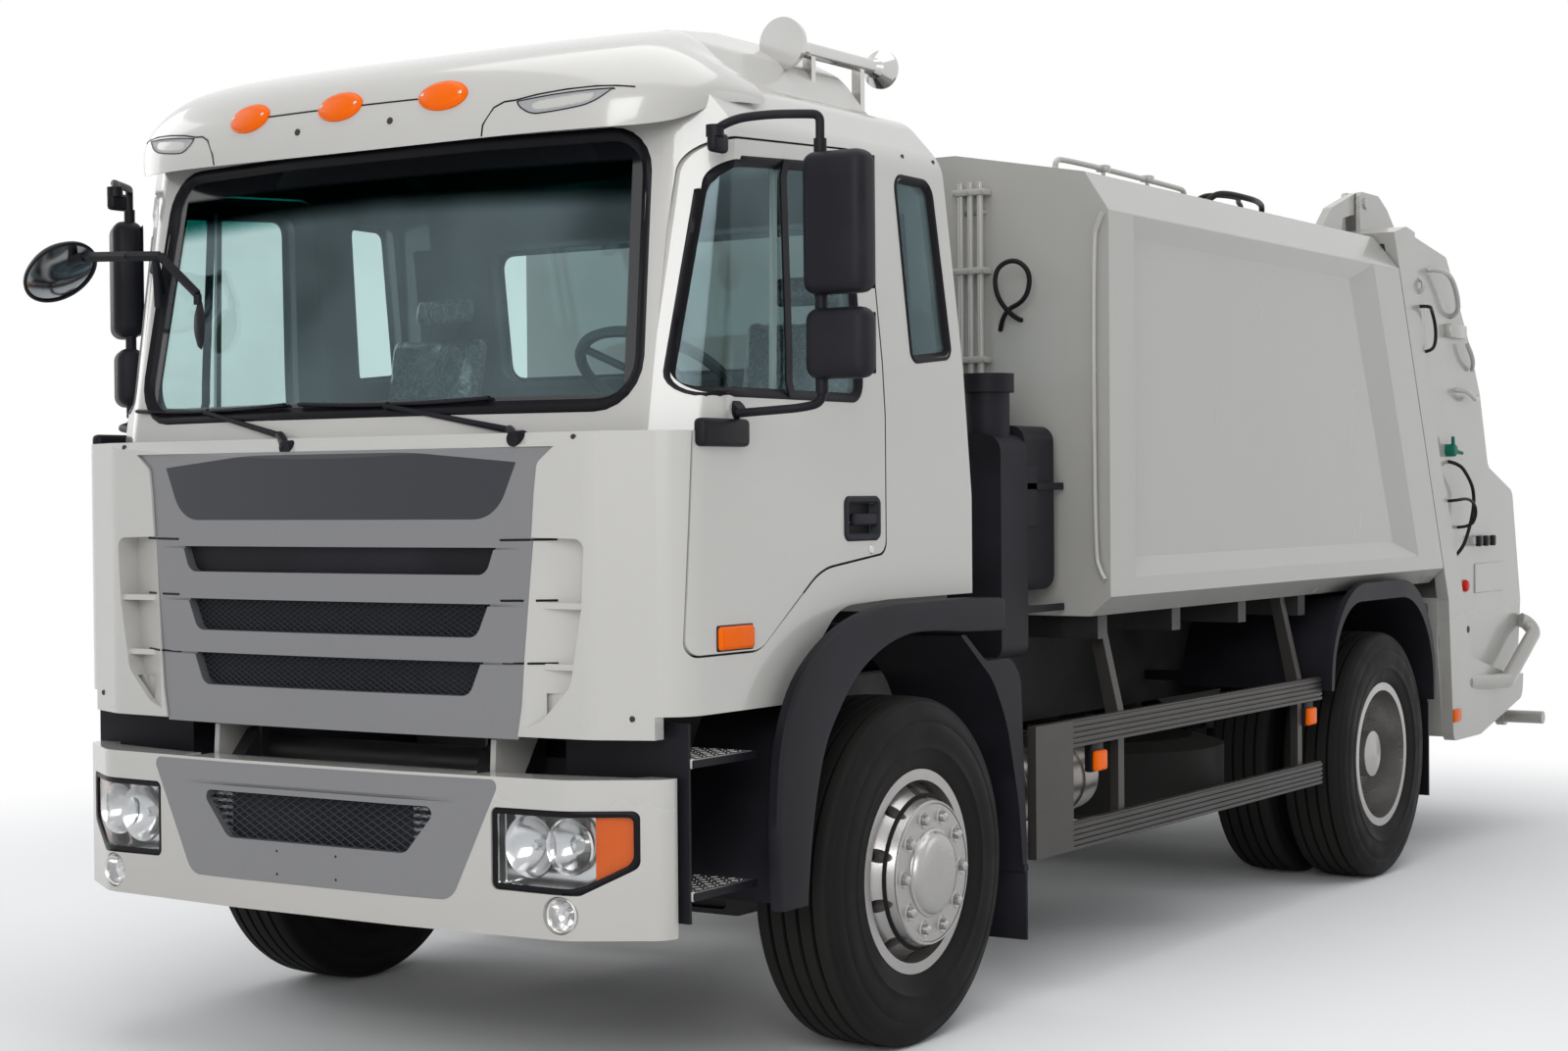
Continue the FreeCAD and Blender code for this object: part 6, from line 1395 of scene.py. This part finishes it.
# Body fittings: painted conduit down the body's front edge, clamps that hold the three
# hydraulic pipes, a grab rail along the roof's edge and black hoses across the roof.
curve_line(
    "front_conduit",
    (
        (1.166, 1.216, 2.531), (1.166, 1.200, 2.500), (1.166, 1.180, 2.440), (1.166, 1.180, 1.410),
        (1.166, 1.200, 1.350), (1.166, 1.216, 1.324),
    ),
    0.008, body_paint, "chassis",
)
curve_line(
    "roof_rail",
    (
        (1.080, 1.0, 2.560), (1.086, 1.0, 2.700), (1.070, 1.0, 2.727), (1.030, 1.0, 2.733),
        (0.716, 1.0, 2.734), (0.090, 1.0, 2.727), (0.045, 1.0, 2.722), (0.036, 1.0, 2.690),
        (0.036, 1.0, 2.600),
    ),
    0.010, body_paint, "chassis",
)
clamps = bmesh.new()
for z in (1.55, 2.05, 2.35, 2.615):
    block(clamps, (1.141, 0.664, z), (1.196, 0.790, z + 0.022), 0.004, 2)
    for y in (0.672, 0.727, 0.782):
        bar(clamps, (1.190, y, z + 0.011), (1.201, y, z + 0.011), 0.006, None, 6)
for x in (0.716, 0.36):
    bar(clamps, (x, 1.0, 2.60), (x, 1.0, 2.735), 0.007)
    block(clamps, (x - 0.02, 0.98, 2.722), (x + 0.02, 1.02, 2.746), 0.004, 2)
piece("body_clamps", clamps, body_paint, "chassis", "body_white", 40.0)
laid_cord(
    "roof_hose_1",
    (
        (-1.12, 0.58, 2.815), (-1.14, 0.60, 2.850), (-1.25, 0.62, 2.862), (-1.45, 0.64, 2.855),
        (-1.62, 0.60, 2.862), (-1.72, 0.58, 2.850), (-1.74, 0.56, 2.80),
    ),
    0.026, cable_black, "chassis",
)
laid_cord(
    "roof_hose_2",
    (
        (-1.16, 0.50, 2.815), (-1.18, 0.52, 2.850), (-1.30, 0.55, 2.866), (-1.42, 0.60, 2.862),
        (-1.58, 0.52, 2.866), (-1.68, 0.50, 2.850), (-1.70, 0.48, 2.80),
    ),
    0.022, cable_black, "chassis",
)


# Air intake fittings: a moulded rain cap that sits on the stack, and flat black straps that
# hold the filter box.
stack_top = (1.50, 0.78, 1.965)
intake = bmesh.new()
turned(
    intake, ((0.072, -0.012), (0.080, -0.006), (0.082, 0.010), (0.074, 0.022), (0.040, 0.027), (0.0, 0.028)),
    stack_top, upward, 40,
)
piece("intake_cap", intake, cab_plastic, "chassis", "plastic_black")
straps = bmesh.new()
for z in (1.22, 1.62):
    block(straps, (1.150, 1.052, z), (1.560, 1.0595, z + 0.024), 0.002, 1)
block(straps, (1.34, 1.052, 1.50), (1.41, 1.0595, 1.70), 0.002, 1)
piece("intake_straps", straps, black_plastic, "chassis", "plastic_black")


# Tailgate fittings, on the left flank: grab handle, rod and hooks of round bar, a green valve
# lever, black cables, clips, a red button, blank plates and a reflector.
tail_skin = skin_of("tail_side_left", "hopper", "bin_lift")


def on_tail(x, z, height):
    """A place that stands height out from the tailgate's left flank."""
    hit = tail_skin.ray_cast(Vector((x, 20, z)), Vector((0, -1, 0)))[0]
    return Vector((x, (hit.y if hit else 1.20) + height, z))


for name, radius, route in (
    (
        "tail_handle", 0.011,
        (
            (-2.076, 2.568, -0.01), (-2.076, 2.568, 0.045), (-2.226, 2.556, 0.052), (-2.330, 2.470, 0.050),
            (-2.372, 2.385, 0.040), (-2.378, 2.379, -0.01),
        ),
    ),
    (
        "tail_rod", 0.010,
        ((-2.521, 2.262, 0.030), (-2.560, 2.225, 0.035), (-2.610, 2.180, 0.030), (-2.640, 2.152, 0.012)),
    ),
    (
        "tail_hook", 0.011,
        (
            (-2.440, 2.055, -0.01), (-2.440, 2.055, 0.040), (-2.540, 2.035, 0.045), (-2.620, 2.010, 0.040),
            (-2.638, 2.030, 0.035),
        ),
    ),
    (
        "tail_hook_top", 0.009,
        ((-1.885, 2.520, -0.01), (-1.885, 2.515, 0.045), (-1.885, 2.470, 0.050), (-1.885, 2.455, 0.030)),
    ),
):
    curve_line(name, [on_tail(*spot) for spot in route], radius, body_paint, "tailgate")
for name, thickness, route in (
    (
        "tail_loop", 0.015,
        (
            (-1.891, 2.397, -0.004), (-1.891, 2.397, 0.045), (-1.960, 2.385, 0.058), (-2.030, 2.320, 0.052),
            (-2.030, 2.240, 0.052), (-1.975, 2.205, 0.045), (-1.961, 2.205, -0.004),
        ),
    ),
    (
        "valve_cable", 0.016,
        (
            (-2.345, 1.735, -0.004), (-2.350, 1.725, 0.050), (-2.440, 1.665, 0.060), (-2.525, 1.610, 0.055),
            (-2.530, 1.530, 0.055), (-2.470, 1.440, 0.055), (-2.400, 1.340, 0.045), (-2.395, 1.298, -0.004),
        ),
    ),
    (
        "lamp_cable", 0.014,
        (
            (-2.249, 1.558, -0.004), (-2.260, 1.560, 0.055), (-2.390, 1.572, 0.075), (-2.480, 1.540, 0.078),
            (-2.500, 1.490, 0.075), (-2.470, 1.442, 0.060), (-2.466, 1.440, -0.004),
        ),
    ),
):
    places = [on_tail(*spot) for spot in route]
    laid_cord(name, places, thickness, cable_black, "tailgate")
plates = bmesh.new()
clips = bmesh.new()
spot = on_tail(-2.41, 2.315, 0)
block(plates, (-2.521, spot.y - 0.002, 2.285), (-2.301, spot.y + 0.030, 2.345), 0.006, 2)
spot = on_tail(-2.79, 1.375, 0)
block(plates, (-2.954, spot.y - 0.002, 1.358), (-2.634, spot.y + 0.022, 1.392), 0.005, 2)
for x in (-2.68, -2.78, -2.88):
    block(clips, (x - 0.018, spot.y + 0.018, 1.350), (x + 0.018, spot.y + 0.040, 1.398), 0.005, 2)
spot = on_tail(-2.91, 1.20, 0)
block(plates, (-3.120, spot.y - 0.002, 1.135), (-2.700, spot.y + 0.006, 1.270), 0.003, 1)
piece("tail_plates", plates, body_paint, "tailgate", "body_white", 40.0)
piece("tail_clips", clips, black_plastic, "tailgate", "plastic_black")
# Two flat dark rubber discs on the flank stand for openings in it: painted shade where the holes are.
hole_shade_discs = bmesh.new()
spot = on_tail(-1.885, 2.564, 0)
turned(hole_shade_discs, ((0.030, -0.002), (0.030, 0.003), (0.0, 0.003)), (0, 0, 0), leftward, 32)
bmesh.ops.scale(hole_shade_discs, vec=(0.55, 1, 1.5), verts=hole_shade_discs.verts)
moved(hole_shade_discs, *spot)
turned(hole_shade_discs, ((0.016, -0.002), (0.016, 0.002), (0.0, 0.002)), on_tail(-2.519, 0.979, 0), leftward, 24)
piece("tail_hole_shades", hole_shade_discs, seal_rubber, "tailgate", "plastic_black")
valve_green = moulded("valve_green", (0.005, 0.115, 0.075), 0.35, 300)
lever = bmesh.new()
spot = on_tail(-2.322, 1.784, 0)
turned(lever, ((0.028, -0.002), (0.028, 0.036), (0.022, 0.044), (0.0, 0.045)), spot, leftward, 24)
bar(lever, spot + Vector((0.02, 0.03, 0)), spot + Vector((-0.075, 0.045, -0.012)), 0.011, 0.008)
bar(lever, spot + Vector((0, 0.03, -0.01)), spot + Vector((0.018, 0.035, 0.060)), 0.010, 0.007)
piece("valve_lever", lever, valve_green, "tailgate", "plastic_black")
red_button = bmesh.new()
turned(
    red_button, ((0.027, -0.002), (0.027, 0.012), (0.020, 0.020), (0.0, 0.022)), on_tail(-2.554, 1.174, 0),
    leftward, 28,
)
piece("red_button", red_button, red_lens, "tailgate", "lamp")
reflector = bmesh.new()
spot = on_tail(-2.348, 0.605, 0)
block(reflector, (-2.392, spot.y - 0.002, 0.575), (-2.304, spot.y + 0.012, 0.632), 0.006, 2)
piece("tail_reflector", reflector, amber_lens, "tailgate", "amber")


# Splash flaps: folded boxes of dark grey plastic, one on each side between the rear fender
# and the hopper.
flap_plastic = moulded("flap_plastic", (0.045, 0.047, 0.050), 0.5, 260)
flaps = rounded_face(
    ((-1.945, 0, 1.105, 0.03), (-2.225, 0, 1.108, 0.03), (-2.225, 0, 0.870, 0.04), (-2.120, 0, 0.865, 0.03)),
    0.03,
)
drawn_out(flaps, 0.80, 0.34)
pair("splash_flap", flaps, flap_plastic, chassis_pair, "plastic_black")


# Rear lamps: a row of red, amber and clear lenses in a black base, one at each side under the
# loading edge.
lamp_bases = bmesh.new()
red_ones = bmesh.new()
amber_ones = bmesh.new()
clear_ones = bmesh.new()
rear_skin = skin_of("hopper", "tail_side_left", "tail_side_right")
for side in (1, -1):
    hit = rear_skin.ray_cast(Vector((-20, side * 0.98, 0.62)), Vector((1, 0, 0)))[0]
    edges = sorted((side * 0.80, side * 1.15))
    block(lamp_bases, (hit.x - 0.018, edges[0], 0.545), (hit.x + 0.004, edges[1], 0.655), 0.008, 2)
    for k, kind in enumerate((red_ones, amber_ones, clear_ones)):
        spans = sorted((side * (1.135 - k * 0.108), side * (1.135 - k * 0.108 - 0.100)))
        block(kind, (hit.x - 0.032, spans[0], 0.557), (hit.x - 0.014, spans[1], 0.643), 0.006, 2)
piece("rear_lamp_bases", lamp_bases, black_plastic, "tailgate", "plastic_black")
piece("rear_stop_lamps", red_ones, red_lens, "tailgate", "lamp")
piece("rear_turn_lamps", amber_ones, amber_lens, "tailgate", "amber")
piece("rear_reversing_lamps", clear_ones, pale_lens, "tailgate", "lamp")


# Front fenders: moulded black plastic in one smooth arch over the wheel, with a rolled edge,
# a tapered leg behind the wheel and a rubber mud flap that hangs from it.
arch_outer = (
    (3.086, 0.500), (3.096, 0.640), (3.092, 0.790), (3.068, 0.950), (2.997, 1.090), (2.878, 1.188),
    (2.719, 1.258), (2.522, 1.294), (2.311, 1.298), (2.077, 1.298), (1.862, 1.292), (1.826, 1.282),
)
arch_inner = (
    (2.952, 0.500), (2.930, 0.660), (2.898, 0.800), (2.850, 0.925), (2.780, 1.015), (2.690, 1.100),
    (2.557, 1.168), (2.400, 1.205), (2.226, 1.206), (2.079, 1.196), (1.900, 1.190), (1.826, 1.190),
)


def along(points, share):
    """A place on a smooth line through the points."""
    at = share * (len(points) - 1)
    i = min(int(at), len(points) - 2)
    near = [Vector(points[min(max(k, 0), len(points) - 1)]) for k in (i - 1, i, i + 1, i + 2)]
    t = at - i
    bend = near[0] * (-t + 2 * t * t - t**3) + near[1] * (2 - 5 * t * t + 3 * t**3)
    return (bend + near[2] * (t + 4 * t * t - 3 * t**3) + near[3] * (t**3 - t * t)) / 2


def swept(outer, inner, section, steps):
    """A closed section of (share from inner to outer edge, y) places, swept along an arch."""
    shape = bmesh.new()
    bmesh.ops.create_grid(shape, x_segments=steps, y_segments=len(section), size=1.0)
    for corner in shape.verts:
        share, y = section[round((corner.co.y + 1) / 2 * len(section)) % len(section)]
        where = (corner.co.x + 1) / 2
        place = along(inner, where).lerp(along(outer, where), share)
        corner.co = (place.x, y, place.y)
    bmesh.ops.remove_doubles(shape, verts=shape.verts, dist=0.00001)
    bmesh.ops.holes_fill(shape, edges=[e for e in shape.edges if e.is_boundary], sides=0)
    bmesh.ops.recalc_face_normals(shape, faces=shape.faces)
    return shape


arch_section = (
    (1.0, 1.165), (1.0, 1.190), (0.97, 1.198), (0.90, 1.200), (0.10, 1.200), (0.03, 1.198), (0.0, 1.190),
    (0.0, 0.780), (0.18, 0.780), (0.18, 1.165),
)
fender = swept(arch_outer, arch_inner, arch_section, 56)
leg = rounded_face(
    (
        (2.050, 0, 1.186, 0.01), (1.925, 0, 1.100, 0.02), (1.760, 0, 1.100, 0.03), (1.700, 0, 1.040, 0.03),
        (1.672, 0, 0.620, 0.05), (1.664, 0, 0.430, 0.002), (1.690, 0, 0.430, 0.002), (1.716, 0, 0.640, 0.05),
        (1.790, 0, 0.900, 0.06), (1.880, 0, 1.040, 0.04), (2.080, 0, 1.186, 0.01),
    ),
    0.02,
)
drawn_out(leg, 0.800, 0.385)
joined(fender, leg)
block(fender, (1.668, 0.800, 0.210), (1.680, 1.190, 0.445), 0.004, 2)
block(fender, (1.664, 0.800, 0.425), (1.692, 1.190, 0.448), 0.003, 1)
block(fender, (1.666, 0.428, 0.905), (1.690, 0.810, 0.955), 0.004, 1)
fenders = pair("front_fender_moulding", fender, black_plastic, chassis_pair, "plastic_black")
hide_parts("front_fenders")


# Front kerb mirror: a round convex glass in a black dome on a flat steel arm, which a
# three-legged bracket holds at the windscreen pillar; a small second glass hangs at its end.
kerb_mirror = bmesh.new()
kerb_glass = bmesh.new()
facing = Vector((0.062, 0.720, -0.690)).normalized()
centre = Vector((3.440, -1.174, 2.306))
turned(
    kerb_mirror,
    (
        (0.0, -0.052), (0.050, -0.046), (0.092, -0.028), (0.116, -0.004), (0.119, 0.006), (0.113, 0.011),
        (0.108, 0.006),
    ),
    centre, facing, 48,
)
turned(kerb_glass, ((0.109, 0.004), (0.080, 0.011), (0.040, 0.015), (0.0, 0.016)), centre, facing, 48)
arm = [
    Vector(spot)
    for spot in (
        (3.430, -1.075, 2.345), (3.430, -1.038, 2.343), (3.420, -0.901, 2.338), (3.385, -0.800, 2.335),
        (3.375, -0.656, 2.215),
    )
]
bar(kerb_mirror, centre - facing * 0.03, arm[0], 0.016)
for start, end in zip(arm, arm[1:]):
    bar(kerb_mirror, start, end, 0.015, None, 4)
for foot in ((3.335, -0.880, 2.300), (3.318, -0.868, 2.235), (3.345, -0.850, 2.190)):
    bar(kerb_mirror, arm[3] + Vector((0, -0.02, -0.01)), foot, 0.011, 0.014, 12)
bar(kerb_mirror, arm[4], arm[4] + Vector((0, 0.0, -0.03)), 0.012)
small = domed(((0.0, -0.014), (0.030, -0.012), (0.052, -0.004), (0.058, 0.004), (0.052, 0.006)), 32)
small_glass = domed(((0.053, 0.004), (0.030, 0.007), (0.0, 0.008)), 32)
for shape, whole in ((small, kerb_mirror), (small_glass, kerb_glass)):
    bmesh.ops.scale(shape, vec=(1, 0.72, 1.25), verts=shape.verts)
    bmesh.ops.rotate(
        shape, cent=(0, 0, 0), matrix=Matrix.Rotation(math.radians(150), 3, "Z"), verts=shape.verts
    )
    moved(shape, 3.372, -0.652, 2.125)
    joined(whole, shape)
kerb = piece("kerb_mirror", kerb_mirror, black_plastic, "cab", "plastic_black", 40.0)
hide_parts("front_mirror")
piece("kerb_mirror_glass", kerb_glass, mirror_glass, "cab", "glass")


# Studio: a pale floor that runs to a white background, one broad soft lamp overhead, one in
# front of the truck's left side, and weaker ones behind it and at its right.
floor_shape = bmesh.new()
bmesh.ops.create_grid(floor_shape, x_segments=1, y_segments=1, size=30.0)
floor_mesh = bpy.data.meshes.new("floor")
floor_shape.to_mesh(floor_mesh)
floor_shape.free()
floor = bpy.data.objects.new("floor", floor_mesh)
scene.collection.objects.link(floor)
floor_finish = Finish("floor")
away = floor_finish.node(
    "ShaderNodeVectorMath", {"operation": "LENGTH"}, {0: floor_finish.place}, out="Value"
)
pale = floor_finish.shader(Base_Color=colour(0.93, 0.93, 0.93), Roughness=0.95)
paper = floor_finish.node("ShaderNodeEmission", sockets={"Color": colour(1, 1, 1), "Strength": 1.0})
kinds = [
    floor_finish.node("ShaderNodeLightPath", out=kind)
    for kind in ("Is Camera Ray", "Is Glossy Ray", "Is Transmission Ray")
]
looked_at = floor_finish.node(
    "ShaderNodeMath", {"operation": "MINIMUM"}, {0: kinds[0] + kinds[1] + kinds[2], 1: 1.0}
)
far_off = floor_finish.ramp(away, 3.9, 6.6) * looked_at
floor_mix = {0: far_off, 1: pale, 2: paper}
floor_mesh.materials.append(floor_finish.done(floor_finish.node("ShaderNodeMixShader", sockets=floor_mix)))
for name, place, aim, size, watts in (
    ("lamp_overhead", (1.5, 1.0, 9.0), (0.5, 0.0, 1.0), 9.0, 365),
    ("lamp_front_left", (10.5, 4.6, 4.6), (1.5, 0.0, 1.3), 4.5, 345),
    ("lamp_rear_left", (-5.0, 9.5, 5.0), (-0.5, 0.5, 1.3), 5.0, 70),
    ("lamp_right", (2.0, -9.0, 5.0), (0.5, 0.0, 1.3), 5.0, 130),
):
    lamp = bpy.data.lights.new(name, "AREA")
    lamp.size = size
    lamp.energy = watts
    stand = bpy.data.objects.new(name, lamp)
    stand.location = place
    stand.rotation_euler = (Vector(aim) - Vector(place)).to_track_quat("-Z", "Y").to_euler()
    scene.collection.objects.link(stand)
sky = bpy.data.worlds.new("sky")
sky.use_nodes = True
scene.world = sky
sky_nodes = sky.node_tree.nodes
sky_links = sky.node_tree.links
soft = sky_nodes["Background"]
soft.inputs[0].default_value = (0.93, 0.96, 1.0, 1.0)
soft.inputs[1].default_value = 0.5
white = sky_nodes.new("ShaderNodeBackground")
white.inputs[0].default_value = (1.0, 1.0, 1.0, 1.0)
white.inputs[1].default_value = 1.0
seen = sky_nodes.new("ShaderNodeLightPath")
straight = sky_nodes.new("ShaderNodeMath")
straight.operation = "MAXIMUM"
sky_links.new(seen.outputs["Is Camera Ray"], straight.inputs[0])
sky_links.new(seen.outputs["Is Transmission Ray"], straight.inputs[1])
either = sky_nodes.new("ShaderNodeMath")
either.operation = "MAXIMUM"
sky_links.new(straight.outputs[0], either.inputs[0])
sky_links.new(seen.outputs["Is Glossy Ray"], either.inputs[1])
shown = sky_nodes.new("ShaderNodeMixShader")
sky_links.new(either.outputs[0], shown.inputs[0])
sky_links.new(soft.outputs[0], shown.inputs[1])
sky_links.new(white.outputs[0], shown.inputs[2])
sky_links.new(shown.outputs[0], sky_nodes["World Output"].inputs[0])
